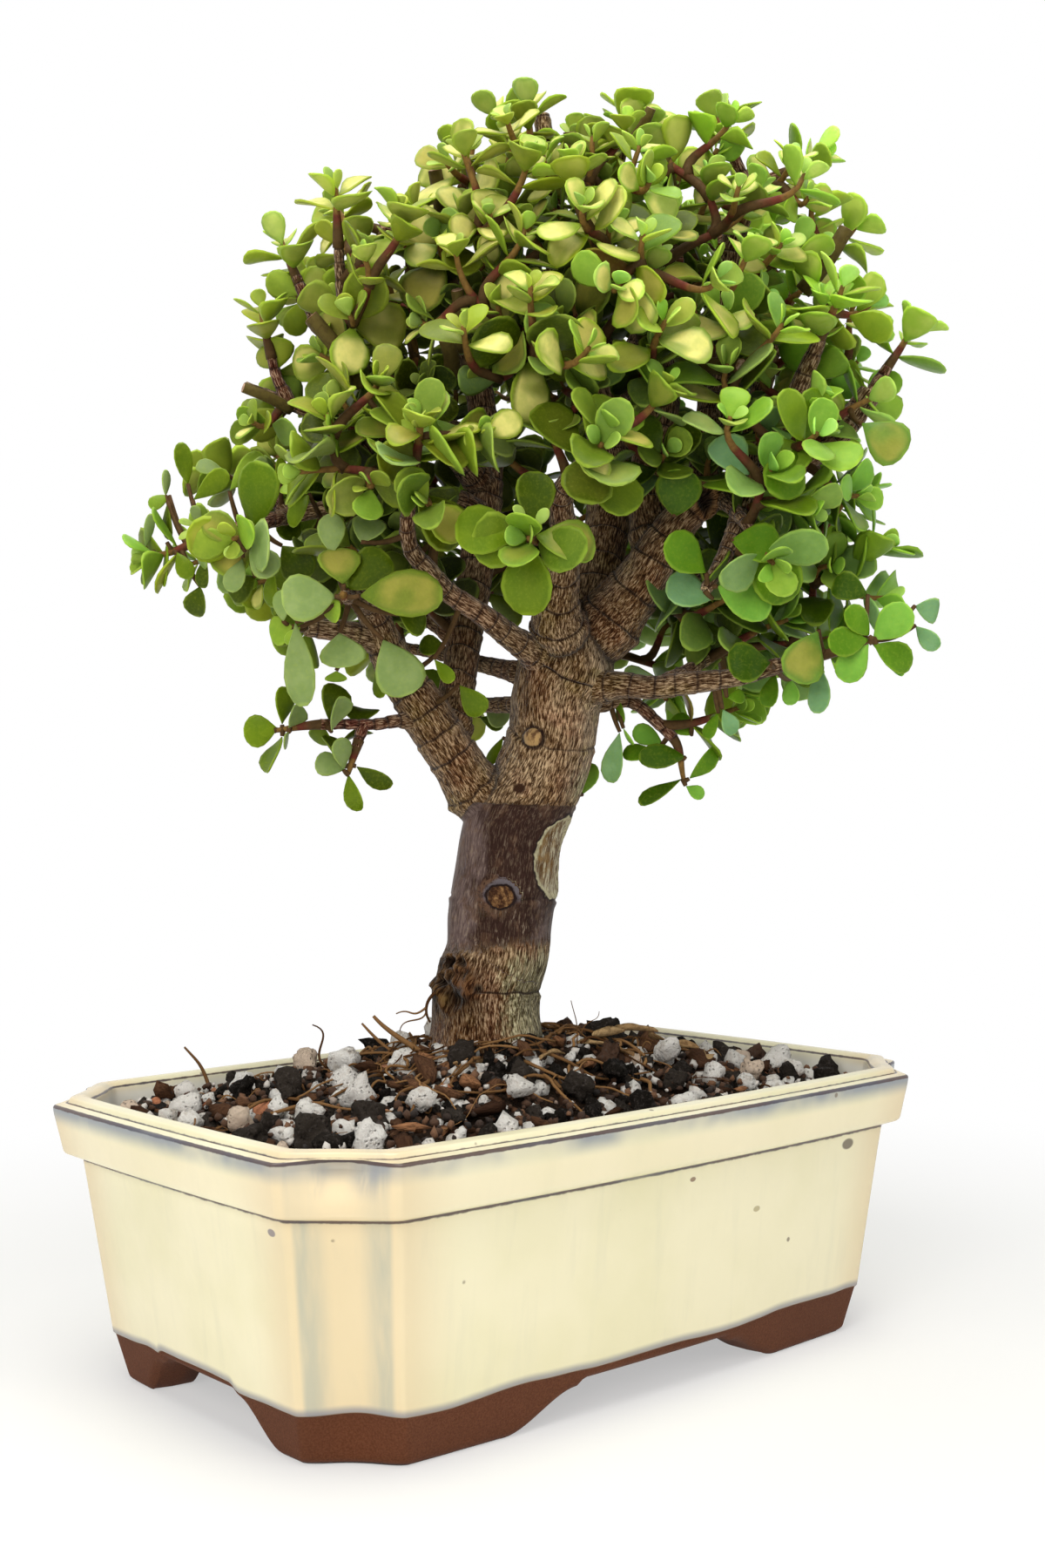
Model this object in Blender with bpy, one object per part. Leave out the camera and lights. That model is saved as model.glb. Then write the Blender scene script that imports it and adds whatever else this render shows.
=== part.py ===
"""A dwarf jade bonsai in a glazed rectangular pot.

Units are metres, +Z up. The origin is under the middle of the pot, on the surface that it
stands on, and the pot's long side runs along X. The tree has axes of its own, (across, back,
up), turned about Z so that its front looks out over the pot's corner at -X, -Y.
"""

import math
import random

import bmesh
import bpy
from mathutils import Matrix, Quaternion, Vector

MM = 0.001
GAP = 0.3  # mm left between pieces that touch

# Pot, in mm. A ring is (inset from the rim, height, corner cut).
RIM_LENGTH = 210.0
RIM_WIDTH = 140.0
RIM_HEIGHT = 72.5
SIDE_BOW = {"long": 3.5, "short": 1.6}  # how far the middle of a side stands out
FOOT_RECESS = 12.0  # height of the hollow under the floor
FLOOR_TOP = 18.0
WALL_INSET = {"mouth": 8.6, "floor": 18.5}
POT_RINGS = (
    (26.0, FOOT_RECESS, 9.0),
    (25.5, 0.0, 9.5),
    (16.0, 0.0, 14.2),
    (14.4, 1.4, 14.6),
    (11.7, 12.6, 15.0),
    (6.0, 56.8, 16.4),
    (2.2, 58.2, 17.2),
    (0.2, 68.4, 17.5),
    (0.0, 69.6, 17.5),
    (0.9, 71.0, 17.2),
    (3.3, 70.9, 16.0),
    (4.0, 72.3, 15.6),
    (7.6, RIM_HEIGHT, 13.8),
    (WALL_INSET["mouth"], 71.4, 13.2),
    (9.2, 66.0, 13.0),
    (WALL_INSET["floor"], 22.0, 10.5),
    (22.0, FLOOR_TOP, 9.5),
)
ARCHES = (  # foot to foot, flat top, height and turn of each tunnel under the pot
    {"foot": 47.0, "flat": 24.0, "height": 9.5, "turn": 0.0},
    {"foot": 31.0, "flat": 15.0, "height": 11.6, "turn": 90.0},
)
DRAIN = {"x": 46.0, "radius": 5.5}
SCREEN = {"side": 24.0, "thick": 1.2, "bar": 1.6, "cells": 4}

# Soil, in mm
SOIL_EDGE = 66.5
SOIL_CROWN = 82.0
CROWN_POWER = 1.25

# The tree's turn about Z, and where each stretch of wood runs: (across, back, up, radius) in mm
TREE_TURN = math.radians(-40.5)
LIMBS = {
    "trunk": ((-5, 0, 46, 10.5), (-4, 0, 62, 14.2), (-3, 0, 79, 14.4), (-3, 0, 96, 14.2),
              (0, 0, 106, 14.2), (1, 0, 115, 14.3), (3, 0, 127, 14.1), (5, 0, 139, 14.0),
              (11, 0, 151, 12.5), (15, 0, 162, 11.6), (17, 0, 175, 12.3), (20, 0, 184, 13.0),
              (21, 0, 191, 11.0)),
    "left_limb": ((6, 0, 134, 8.5), (-5, -4, 148, 7.3), (-11, -7, 158, 6.8), (-19, -10, 171, 6.3),
                  (-24, -12, 179, 5.5), (-29, -16, 189, 4.8), (-32, -22, 197, 3.8),
                  (-35, -38, 198, 2.4), (-36, -50, 197, 1.5)),
    "left_stub": ((-28, -15, 188, 3.4), (-39, -21, 191, 2.9), (-48, -26, 192, 2.5)),
    "left_back": ((-13, -4, 164, 5.4), (-10, 6, 180, 4.8), (-8, 12, 195, 4.9), (-5, 18, 213, 5.0),
                  (-2, 22, 236, 4.7), (-3, 26, 259, 4.2), (-7, 26, 282, 3.8), (-11, 24, 301, 3.2),
                  (-14, 20, 313, 2.7), (-15, 18, 324, 2.5)),
    "left_rise": ((-2, 22, 236, 4.0), (-15, 4, 247, 3.4), (-31, -12, 256, 3.0), (-38, -16, 265, 2.7),
                  (-47, -18, 274, 2.1)),
    "right_fork": ((22, 0, 184, 9.0), (33, -4, 197, 7.8), (39, -8, 204, 6.8), (46, -12, 215, 5.8),
                   (54, -15, 224, 4.8), (66, -14, 230, 4.1), (83, -10, 237, 3.9), (93, -8, 244, 3.7),
                   (102, -6, 255, 3.3)),
    "centre_right": ((43, -9, 209, 5.2), (42, -3, 231, 5.0), (46, 0, 255, 5.0), (43, 0, 274, 4.0),
                     (41, -2, 282, 3.3), (32, -6, 288, 2.6), (26, -10, 294, 1.9)),
    "centre_fork": ((24, 4, 186, 7.0), (29, 14, 210, 6.8), (33, 20, 230, 6.2), (31, 24, 256, 5.2),
                    (24, 25, 281, 4.5), (19, 23, 303, 3.8), (17, 20, 325, 3.0), (15, 18, 341, 2.3)),
    "back_up": ((31, 24, 254, 4.3), (42, 34, 277, 4.0), (51, 34, 303, 3.5), (52, 32, 318, 3.4),
                (52, 30, 331, 3.0)),
    "mid_up": ((24, 25, 280, 3.3), (32, 22, 302, 3.0), (34, 18, 318, 2.7), (37, 14, 330, 2.2)),
    "top_right": ((55, -14, 224, 3.9), (60, 6, 251, 3.8), (64, 12, 277, 3.6), (67, 14, 297, 3.4),
                  (71, 14, 311, 2.9), (75, 14, 323, 2.4)),
    "right_high": ((68, -13, 231, 3.4), (76, 8, 264, 2.8), (83, 12, 286, 2.4), (90, 13, 294, 2.1),
                   (96, 14, 300, 1.6)),
    "right_mid": ((71, -12, 232, 3.2), (80, -22, 252, 2.6), (85, -28, 264, 1.8)),
    "front_fork": ((20, -4, 186, 7.2), (17, -14, 196, 6.0), (18, -20, 204, 4.8), (19, -28, 213, 3.8),
                   (18, -40, 223, 3.0), (23, -50, 229, 2.0)),
    "front_low": ((19, -26, 211, 2.8), (15, -40, 211, 1.9), (12, -51, 210, 1.4)),
    "trunk_left": ((15, -4, 184, 4.6), (4, -18, 190, 3.6), (-3, -24, 195, 3.2), (-11, -28, 200, 2.9),
                   (-16, -34, 205, 2.6), (-20, -38, 210, 2.2), (-20, -46, 220, 1.8),
                   (-18, -54, 228, 1.4)),
    "left_level": ((-3, 20, 226, 3.6), (-9, 10, 230, 2.9), (-23, 0, 229, 2.6), (-38, -8, 226, 2.3),
                   (-54, -12, 223, 1.9), (-66, -14, 220, 1.5), (-76, -14, 217, 1.2)),
    "left_high": ((-29, -4, 228, 2.2), (-36, -8, 243, 2.1), (-43, -10, 249, 2.0), (-54, -12, 253, 1.8),
                  (-65, -14, 257, 1.5)),
    "far_left": ((-54, -12, 223, 1.7), (-61, -4, 230, 1.5), (-68, 2, 234, 1.3)),
    "short_upper": ((9, 4, 181, 3.0), (-2, 22, 185, 2.4), (-16, 42, 190, 1.9), (-30, 58, 194, 1.5)),
    "short_lower": ((10, 6, 173, 2.8), (-2, 26, 174, 2.1), (-10, 42, 175, 1.5)),
    "right_level": ((24, -2, 176, 4.7), (34, -10, 177, 3.3), (42, -14, 176, 3.0), (53, -18, 177, 2.9),
                    (63, -20, 178, 2.5), (75, -24, 181, 1.8), (85, -27, 183, 1.4)),
    "right_fold": ((45, -15, 177, 2.0), (54, -4, 182, 1.7), (62, 6, 187, 1.4)),
    "hanging": ((26, 2, 172, 2.0), (38, 4, 173, 1.8), (44, 4, 168, 1.7), (49, 4, 163, 1.5)),
    "dark_stub": ((68, -14, 229, 2.8), (61, -26, 211, 2.2), (54, -35, 199, 1.6)),
    "low_left": ((-16, -8, 165, 2.6), (-24, -14, 168, 1.8), (-31, -18, 167, 1.6), (-39, -20, 167, 1.4),
                 (-45, -22, 167, 1.3)),
    "low_left_drop": ((-34, -19, 167, 1.4), (-36, -20, 161, 1.2)),
    "rear_low": ((20, 6, 174, 4.2), (25, 24, 182, 3.4), (31, 42, 189, 2.6), (37, 58, 197, 1.7)),
    "rear_right": ((38, -4, 204, 4.6), (54, 12, 210, 3.5), (70, 23, 216, 2.6), (82, 30, 221, 1.7)),
    "rear_high": ((33, 20, 236, 4.2), (33, 40, 250, 3.2), (29, 56, 264, 2.4), (27, 66, 276, 1.7)),
    "rear_top": ((51, 34, 303, 3.0), (60, 46, 310, 2.3), (69, 54, 317, 1.6)),
    "rear_left": ((-3, 25, 250, 3.6), (-18, 44, 258, 2.8), (-36, 62, 266, 1.9)),
    "rear_left_top": ((-10, 25, 296, 2.6), (-13, 38, 306, 2.0), (-14, 48, 314, 1.5)),
    "rear_centre": ((29, 14, 208, 4.2), (20, 34, 216, 3.0), (8, 54, 226, 2.1), (-2, 66, 234, 1.5)),
    "front_twig": ((44, 0, 258, 2.2), (34, -24, 262, 1.8), (25, -38, 264, 1.5)),
    "high_front_twig": ((43, 0, 270, 2.2), (44, -16, 281, 1.6), (44, -24, 287, 1.3)),
    "right_front_twig": ((61, 8, 256, 2.4), (61, -16, 262, 1.7), (60, -28, 265, 1.4)),
    "right_low_twig": ((66, -14, 230, 2.4), (73, -30, 233, 1.7), (76, -38, 234, 1.4)),
    "upper_left_twig": ((-37, -15, 263, 2.0), (-38, -28, 282, 1.5), (-38, -32, 290, 1.3)),
    "upper_front_twig": ((19, 23, 303, 2.2), (4, 2, 308, 1.7), (-4, -10, 311, 1.4)),
    "top_left": ((-11, 24, 301, 2.5), (-23, 14, 304, 2.0), (-31, 10, 306, 1.6)),
    "top_left_twig": ((-14, 20, 309, 1.9), (-8, 14, 317, 1.5), (-7, 13, 320, 1.3)),
    "crown_twig": ((17, 20, 324, 1.9), (9, 17, 330, 1.4), (7, 17, 333, 1.2)),
    "top_right_twig": ((74, 14, 318, 1.7), (83, 14, 322, 1.3)),
    "top_right_crown": ((73, 14, 316, 1.8), (69, 11, 324, 1.5), (67, 10, 328, 1.3)),
    "far_upper_twig": ((-44, -17, 271, 1.9), (-49, -14, 281, 1.5), (-51, -13, 286, 1.3)),
    "mid_front_twig": ((-6, 26, 277, 2.6), (-9, -2, 283, 1.8), (-11, -18, 287, 1.4)),
    "right_under_twig": ((60, -14, 227, 2.2), (65, -32, 216, 1.6), (67, -38, 211, 1.4)),
    "left_front_twig": ((-53, -12, 223, 1.8), (-59, -23, 219, 1.5), (-61, -28, 217, 1.3)),
    "rear_mid": ((43, 34, 279, 3.0), (52, 50, 283, 2.2), (57, 60, 286, 1.5)),
    "rear_left_low": ((-9, 11, 192, 3.0), (-26, 24, 203, 2.2), (-38, 33, 209, 1.5)),
    "right_tip_twig": ((100, -6, 251, 1.9), (107, -5, 262, 1.4)),
    "left_high_twig": ((-53, -12, 252, 1.8), (-57, -14, 261, 1.4), (-58, -15, 266, 1.2)),
}
LIMB_SIDES = ((9.0, 14), (5.0, 10), (3.0, 8), (0.0, 6))  # a limb at least this thick has this many sides

# Shoots: the limb that each grows on, with its length, leaf pairs and longest leaf in mm
SHOOTS = {
    "left_limb": (14, 3, 18),
    "front_fork": (16, 4, 17),
    "front_low": (11, 3, 18),
    "trunk_left": (15, 4, 16),
    "left_level": (18, 4, 13),
    "far_left": (17, 4, 13),
    "low_left": (15, 3, 13),
    "low_left_drop": (11, 3, 13),
    "hanging": (16, 3, 14),
    "right_level": (19, 4, 15),
    "right_fold": (16, 3, 14),
    "right_mid": (16, 4, 16),
    "right_high": (12, 4, 13),
    "centre_right": (15, 4, 15),
    "mid_up": (12, 4, 14),
    "top_left": (14, 4, 14),
    "short_upper": (17, 4, 15),
    "short_lower": (16, 3, 14),
    "rear_low": (19, 4, 16),
    "rear_right": (19, 4, 15),
    "rear_high": (17, 4, 16),
    "rear_top": (16, 4, 14),
    "rear_left": (19, 4, 15),
    "rear_left_top": (15, 4, 14),
    "rear_centre": (17, 4, 16),
    "rear_mid": (17, 4, 15),
    "rear_left_low": (17, 4, 15),
    "front_twig": (15, 4, 15),
    "mid_front_twig": (15, 4, 15),
    "high_front_twig": (13, 4, 14),
    "right_front_twig": (15, 4, 15),
    "right_low_twig": (14, 3, 16),
    "right_under_twig": (12, 3, 16),
    "left_front_twig": (12, 3, 16),
    "upper_left_twig": (14, 4, 15),
    "upper_front_twig": (14, 4, 15),
    "far_upper_twig": (13, 3, 14),
    "top_left_twig": (10, 3, 12),
    "crown_twig": (11, 3, 13),
    "top_right_twig": (13, 3, 13),
    "top_right_crown": (11, 3, 13),
    "right_tip_twig": (15, 3, 14),
    "left_high_twig": (13, 3, 13),
}
STEM_RADIUS = 1.1
STEM_SIDES = 5
LEAF_THICK = 1.9
LEAF_OUTLINE = ((0.3, 0.2), (0.68, 0.42), (0.94, 0.24))  # share of length, half width as a share of it
LEAF_LEAN = (72.0, 38.0)  # degrees from the stem, at its foot and at its tip
PAIR_STEP = 0.4  # one leaf of a pair stands this much further along the stem
PAIR_SKEW = math.radians(7)
SHOOT_TURN = 1.07  # radians that each shoot is turned on its limb, past the one before

# Loose grains that lie on the soil: x, y, radius in mm, squash in height, material
GRAIN_GAP = 0.6  # mm, as the mound's flat facets stand a little above its rule
GRAINS = {
    "pumice_1": (-52, -34, 4.4, 0.8, "pumice"),
    "pumice_2": (-26, -38, 4.0, 0.8, "pumice"),
    "pumice_3": (34, -30, 4.2, 0.75, "pumice"),
    "pumice_4": (58, 26, 4.3, 0.8, "pumice"),
    "pumice_5": (-40, 34, 4.0, 0.8, "pumice"),
    "lava_1": (-62, 8, 4.0, 0.85, "lava"),
    "lava_2": (6, -38, 4.2, 0.8, "lava"),
    "lava_3": (44, 2, 4.4, 0.85, "lava"),
    "bark_chip_1": (-36, -14, 5.0, 0.4, "bark_chip"),
    "bark_chip_2": (26, 30, 5.2, 0.4, "bark_chip"),
}

# Tops of the packed grains, that stand out of the soil: one to each cell of a shaken grid
GRIT = {
    "cell": (16.0, 14.0),  # mm along the pot and across it; every second row is shifted by half a cell
    "rows": 4,  # on each side of the middle
    "columns": 6,
    "shake": 1.8,
    "radius": (3.6, 4.8),
    "squash": (0.75, 1.0),
    "lift": 0.3,  # share of the radius that the middle stands above the soil
    "wall_gap": 1.6,
    "trunk_gap": 3.5,
    "grain_gap": 11.0,  # mm from the middle of a loose grain
    "seed": 7,
}

MATERIALS = {  # colour, roughness
    "glaze": ((0.83, 0.78, 0.63), 0.15),
    "screen": ((0.04, 0.05, 0.04), 0.5),
    "soil": ((0.07, 0.045, 0.03), 0.95),
    "bark": ((0.23, 0.14, 0.085), 0.8),
    "leaf": ((0.19, 0.36, 0.05), 0.4),
    "pumice": ((0.72, 0.70, 0.66), 0.9),
    "lava": ((0.03, 0.028, 0.028), 0.9),
    "bark_chip": ((0.20, 0.10, 0.05), 0.85),
}


def clear_scene():
    """Empties the scene of objects."""
    for thing in list(bpy.data.objects):
        bpy.data.objects.remove(thing, do_unlink=True)


def make_material(name):
    """A Principled material of the named colour and roughness."""
    colour, roughness = MATERIALS[name]
    material = bpy.data.materials.new(name)
    material.use_nodes = True
    shader = material.node_tree.nodes["Principled BSDF"]
    shader.inputs["Base Color"].default_value = (*colour, 1.0)
    shader.inputs["Roughness"].default_value = roughness
    shader.inputs["Metallic"].default_value = 0.0
    material.diffuse_color = (*colour, 1.0)
    return material


def add_object(name, mesh):
    """A new object in the scene that shows the mesh."""
    thing = bpy.data.objects.new(name, mesh)
    bpy.context.scene.collection.objects.link(thing)
    return thing


def mesh_from(name, points, faces):
    """A mesh from points in mm, with its faces turned outwards."""
    form = bmesh.new()
    corners = [form.verts.new(Vector(point) * MM) for point in points]
    for face in faces:
        form.faces.new([corners[i] for i in face])
    bmesh.ops.recalc_face_normals(form, faces=form.faces)
    mesh = bpy.data.meshes.new(name)
    form.to_mesh(mesh)
    form.free()
    return mesh


def stacked(name, rings):
    """A closed body through a stack of rings with equal counts, capped at both ends."""
    count = len(rings[0])
    points = [point for ring in rings for point in ring]
    faces = []
    for level in range(len(rings) - 1):
        low = level * count
        for i in range(count):
            j = (i + 1) % count
            faces.append((low + i, low + j, low + count + j, low + count + i))
    faces.append(tuple(range(count)))
    faces.append(tuple(range(len(points) - count, len(points))))
    return add_object(name, mesh_from(name, points, faces))


def combine(base, others, operation):
    """Joins the other bodies to the base, or cuts them from it, and removes them."""
    for other in others:
        step = base.modifiers.new(operation.lower(), "BOOLEAN")
        step.operation = operation
        step.solver = "EXACT"
        step.object = other
    graph = bpy.context.evaluated_depsgraph_get()
    mesh = bpy.data.meshes.new_from_object(base.evaluated_get(graph))
    base.modifiers.clear()
    base.data = mesh
    for other in others:
        bpy.data.objects.remove(other, do_unlink=True)
    return base


def finish(thing, name, material, sharp=None):
    """Names the object, gives it its material, and shades it smooth if a sharp angle is given."""
    thing.name = name
    thing.data.name = name
    thing.data.materials.clear()
    thing.data.materials.append(material)
    if sharp is not None:
        thing.data.shade_smooth()
        thing.data.set_sharp_from_angle(angle=math.radians(sharp))
    return thing


# ---- Pot and what lies in it ----


def corner_curve(cut, steps=3):
    """The indented corner, as distances in from both sides: three quadratic B-spline spans."""
    control = [Vector(p) * cut for p in ((1.45, 0), (0.95, 0), (0.6, 0.6), (0, 0.95), (0, 1.45))]
    curve = []
    for first, middle, last in zip(control, control[1:], control[2:]):
        for step in range(steps):
            t = step / steps
            start = (first + middle) / 2
            end = (middle + last) / 2
            curve.append(start * (1 - t) ** 2 + middle * (2 * t * (1 - t)) + end * t * t)
    curve.append((control[-2] + control[-1]) / 2)
    return curve


def pot_outline(inset, height, cut, grow=0.0):
    """The pot's outline at one level: bowed sides and four indented corners, anticlockwise."""
    half_x = RIM_LENGTH / 2 - inset + grow
    half_y = RIM_WIDTH / 2 - inset + grow
    corner = corner_curve(cut)
    reverse = corner[::-1]
    quarter = [(half_x - p.x, half_y - p.y) for p in reverse]  # from the +X side round to the +Y side
    flat = [(x, -y) for x, y in quarter[::-1]]
    loop = flat + [(half_x, 0.0)] + quarter + [(0.0, half_y)]
    loop += [(-x, y) for x, y in quarter[::-1]] + [(-half_x, 0.0)]
    loop += [(-x, -y) for x, y in quarter] + [(0.0, -half_y)]
    bowed = []
    for x, y in loop:
        out_x = SIDE_BOW["short"] * (1 - (y / half_y) ** 2) * x / half_x
        out_y = SIDE_BOW["long"] * (1 - (x / half_x) ** 2) * y / half_y
        bowed.append((x + out_x, y + out_y, height))
    return bowed


def arch_cutter(arch):
    """A tunnel right under the pot, whose sides sweep up from foot to flat top in an ogee."""
    steps = 5
    side = []
    for i in range(steps + 1):
        t = i / steps
        x = arch["foot"] + (arch["flat"] + 2.0 - arch["foot"]) * t
        side.append((x, (arch["height"] - 1.6) * (3 * t * t - 2 * t * t * t)))
    side.append((arch["flat"], arch["height"]))
    section = [(arch["foot"], -2.0)] + side
    section += [(-x, z) for x, z in section[::-1]]
    ends = [[(x, y, z) for x, z in section] for y in (-RIM_LENGTH, RIM_LENGTH)]
    cutter = stacked("arch", ends)
    cutter.data.transform(Matrix.Rotation(math.radians(arch["turn"]), 4, "Z"))
    return cutter


def cylinder(centre, radius, low, high, sides=12):
    """An upright cylinder."""
    rings = []
    for height in (low, high):
        turns = [math.tau * i / sides for i in range(sides)]
        rings.append([(centre[0] + radius * math.cos(a), centre[1] + radius * math.sin(a), height)
                      for a in turns])
    return stacked("cylinder", rings)


def block(centre, side_x, side_y, low, high):
    """A rectangular block."""
    half = ((-1, -1), (1, -1), (1, 1), (-1, 1))
    rings = [[(centre[0] + x * side_x / 2, centre[1] + y * side_y / 2, z) for x, y in half]
             for z in (low, high)]
    return stacked("block", rings)


def build_pot(material):
    """The fired pot: feet, walls, belt, lip and drained floor in one piece."""
    body = stacked("pot", [pot_outline(*ring) for ring in POT_RINGS])
    cuts = [arch_cutter(arch) for arch in ARCHES]
    for side in (-1, 1):
        centre = (side * DRAIN["x"], 0.0)
        cuts.append(cylinder(centre, DRAIN["radius"], FOOT_RECESS - 2, FLOOR_TOP + 2))
    return finish(combine(body, cuts, "DIFFERENCE"), "pot", material, sharp=30)


def build_screen(name, side, material):
    """A square of plastic mesh over a drain hole: a plate less a grid of square cells."""
    low = FLOOR_TOP + GAP
    centre = (side * DRAIN["x"], 0.0)
    plate = block(centre, SCREEN["side"], SCREEN["side"], low, low + SCREEN["thick"])
    pitch = (SCREEN["side"] - SCREEN["bar"]) / SCREEN["cells"]
    cell = pitch - SCREEN["bar"]
    first = -pitch * (SCREEN["cells"] - 1) / 2
    cells = []
    for row in range(SCREEN["cells"]):
        for column in range(SCREEN["cells"]):
            place = (centre[0] + first + pitch * row, first + pitch * column)
            cells.append(block(place, cell, cell, low - 1, low + SCREEN["thick"] + 1))
    return finish(combine(plate, cells, "DIFFERENCE"), name, material)


def tree_point(across, back, up):
    """A point of the tree's own frame, in the pot's frame."""
    return Matrix.Rotation(TREE_TURN, 3, "Z") @ Vector((across, back, up))


def trunk_ring(station, grow, count):
    """A level ring round a station of the trunk, that much larger than the wood."""
    centre = tree_point(*LIMBS["trunk"][station][:3])
    radius = LIMBS["trunk"][station][3] + grow
    turns = [math.tau * i / count for i in range(count)]
    return [(centre.x + radius * math.cos(a), centre.y + radius * math.sin(a), centre.z) for a in turns]


def by_angle(ring, count):
    """The ring's points resampled at even angles round the pot's middle."""
    spread = []
    for i in range(count):
        turn = math.tau * i / count
        way = Vector((math.cos(turn), math.sin(turn)))
        spread.append(ray_on_ring(ring, way))
    return spread


def ray_on_ring(ring, way):
    """Where a ray from the pot's middle meets the ring."""
    for a, b in zip(ring, ring[1:] + ring[:1]):
        edge = Vector((b[0] - a[0], b[1] - a[1]))
        across = way.x * edge.y - way.y * edge.x
        if abs(across) < 1e-9:
            continue
        reach = (a[0] * edge.y - a[1] * edge.x) / across
        share = (a[0] * way.y - a[1] * way.x) / across
        if reach > 0 and -1e-9 <= share <= 1 + 1e-9:
            return (way.x * reach, way.y * reach, a[2])
    raise ValueError("the ray misses the ring")


def soil_height(share):
    """Height of the mound, from 0 beside the trunk to 1 at the pot's wall."""
    return SOIL_EDGE + (SOIL_CROWN - SOIL_EDGE) * (1 - share) ** CROWN_POWER


def soil_rings(count=36):
    """From the middle of the floor, up the pot's wall, over the mound and down to the trunk's foot."""
    wall = [
        (WALL_INSET["floor"] + 5.5, FLOOR_TOP + GAP, 9.0),
        (WALL_INSET["floor"] + 0.5, 22.5, 10.3),
        (9.7, SOIL_EDGE - 1.5, 12.9),
        (10.2, SOIL_EDGE, 12.7),
    ]
    rings = [by_angle(pot_outline(*ring), count) for ring in wall]
    edge = rings[-1]
    collar = trunk_ring(2, 2.5, count)
    for share in (0.8, 0.55, 0.3, 0.0):
        rings.append([(c[0] + (e[0] - c[0]) * share, c[1] + (e[1] - c[1]) * share, soil_height(share))
                      for c, e in zip(collar, edge)])
    rings.append([(x, y, SOIL_CROWN - 2.0) for x, y, _ in trunk_ring(2, 0.9, count)])
    rings.append(trunk_ring(1, 0.9, count))
    rings.append([(x, y, z - 1.2) for x, y, z in trunk_ring(0, 0.9, count)])
    return rings


def soil_share(x, y):
    """0 beside the trunk and 1 at the pot's wall, along a line from the middle."""
    way = Vector((x, y))
    edge = ray_on_ring(pot_outline(10.2, SOIL_EDGE, 12.7), way.normalized())
    collar = LIMBS["trunk"][2][3] + 2.5
    return (way.length - collar) / (math.hypot(edge[0], edge[1]) - collar)


def mound_height(x, y):
    """Height of the soil at a point, read from the mound's own rule."""
    return soil_height(min(max(soil_share(x, y), 0.0), 1.0))


def grit_places():
    """Every cell's grain that finds room between wall, trunk and loose grains: x, y, radius, squash."""
    luck = random.Random(GRIT["seed"])
    places = []
    for row in range(-GRIT["rows"], GRIT["rows"] + 1):
        for column in range(-GRIT["columns"], GRIT["columns"] + 1):
            x = (column + row % 2 / 2) * GRIT["cell"][0] + luck.uniform(-1, 1) * GRIT["shake"]
            y = row * GRIT["cell"][1] + luck.uniform(-1, 1) * GRIT["shake"]
            radius = luck.uniform(*GRIT["radius"])
            squash = luck.uniform(*GRIT["squash"])
            room = radius + GRIT["wall_gap"]
            corners = [(x + side, y + end) for side in (-room, room) for end in (-room, room)]
            trunk = LIMBS["trunk"][2][3] + GRIT["trunk_gap"] + radius
            loose = min(math.dist((x, y), grain[:2]) for grain in GRAINS.values())
            if math.hypot(x, y) < trunk or loose < GRIT["grain_gap"]:
                continue
            if max(soil_share(*corner) for corner in corners) < 1:
                places.append((x, y, radius, squash))
    return places


def build_grit():
    """The tops of the packed grains: balls of twelve shaken corners, sunk in the soil."""
    luck = random.Random(GRIT["seed"] + 1)
    form = bmesh.new()
    for x, y, radius, squash in grit_places():
        lump = bmesh.ops.create_icosphere(form, subdivisions=1, radius=radius * MM)["verts"]
        for corner in lump:
            corner.co *= luck.uniform(0.85, 1.0)
        middle = Vector((x, y, mound_height(x, y) + GRIT["lift"] * radius)) * MM
        spin = Matrix.Rotation(luck.uniform(0, math.tau), 4, "Z")
        shape = Matrix.Translation(middle) @ spin @ Matrix.Diagonal((1.0, 0.9, squash, 1.0))
        bmesh.ops.transform(form, matrix=shape, verts=lump)
    mesh = bpy.data.meshes.new("grit")
    form.to_mesh(mesh)
    form.free()
    return add_object("grit", mesh)


def build_soil(material):
    """The gritty soil, mounded up to the trunk, with a socket for the trunk's foot."""
    soil = stacked("soil", soil_rings())
    beds = []
    for side in (-1, 1):
        bed = SCREEN["side"] + 2 * GAP
        top = FLOOR_TOP + GAP + SCREEN["thick"] + GAP
        beds.append(block((side * DRAIN["x"], 0.0), bed, bed, FLOOR_TOP - 1, top))
    soil = combine(soil, beds, "DIFFERENCE")
    return finish(combine(soil, [build_grit()], "UNION"), "soil", material, sharp=30)


def build_grain(name, grain, material, luck):
    """One loose lump: a twenty-sided ball, dented at random and pressed down."""
    x, y, radius, squash, _ = grain
    form = bmesh.new()
    bmesh.ops.create_icosphere(form, subdivisions=1, radius=radius * MM)
    for corner in form.verts:
        corner.co *= luck.uniform(0.82, 1.12)
    spin = Matrix.Rotation(luck.uniform(0, math.tau), 4, "Z")
    form.transform(spin @ Matrix.Diagonal((1.15, 0.9, squash, 1.0)))
    mesh = bpy.data.meshes.new(name)
    form.to_mesh(mesh)
    form.free()
    rise = max(mound_height(x + corner.co.x / MM, y + corner.co.y / MM) - corner.co.z / MM
               for corner in mesh.vertices)
    mesh.transform(Matrix.Translation(Vector((x, y, rise + GRAIN_GAP)) * MM))
    return finish(add_object(name, mesh), name, material)


# ---- Tree ----


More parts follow.
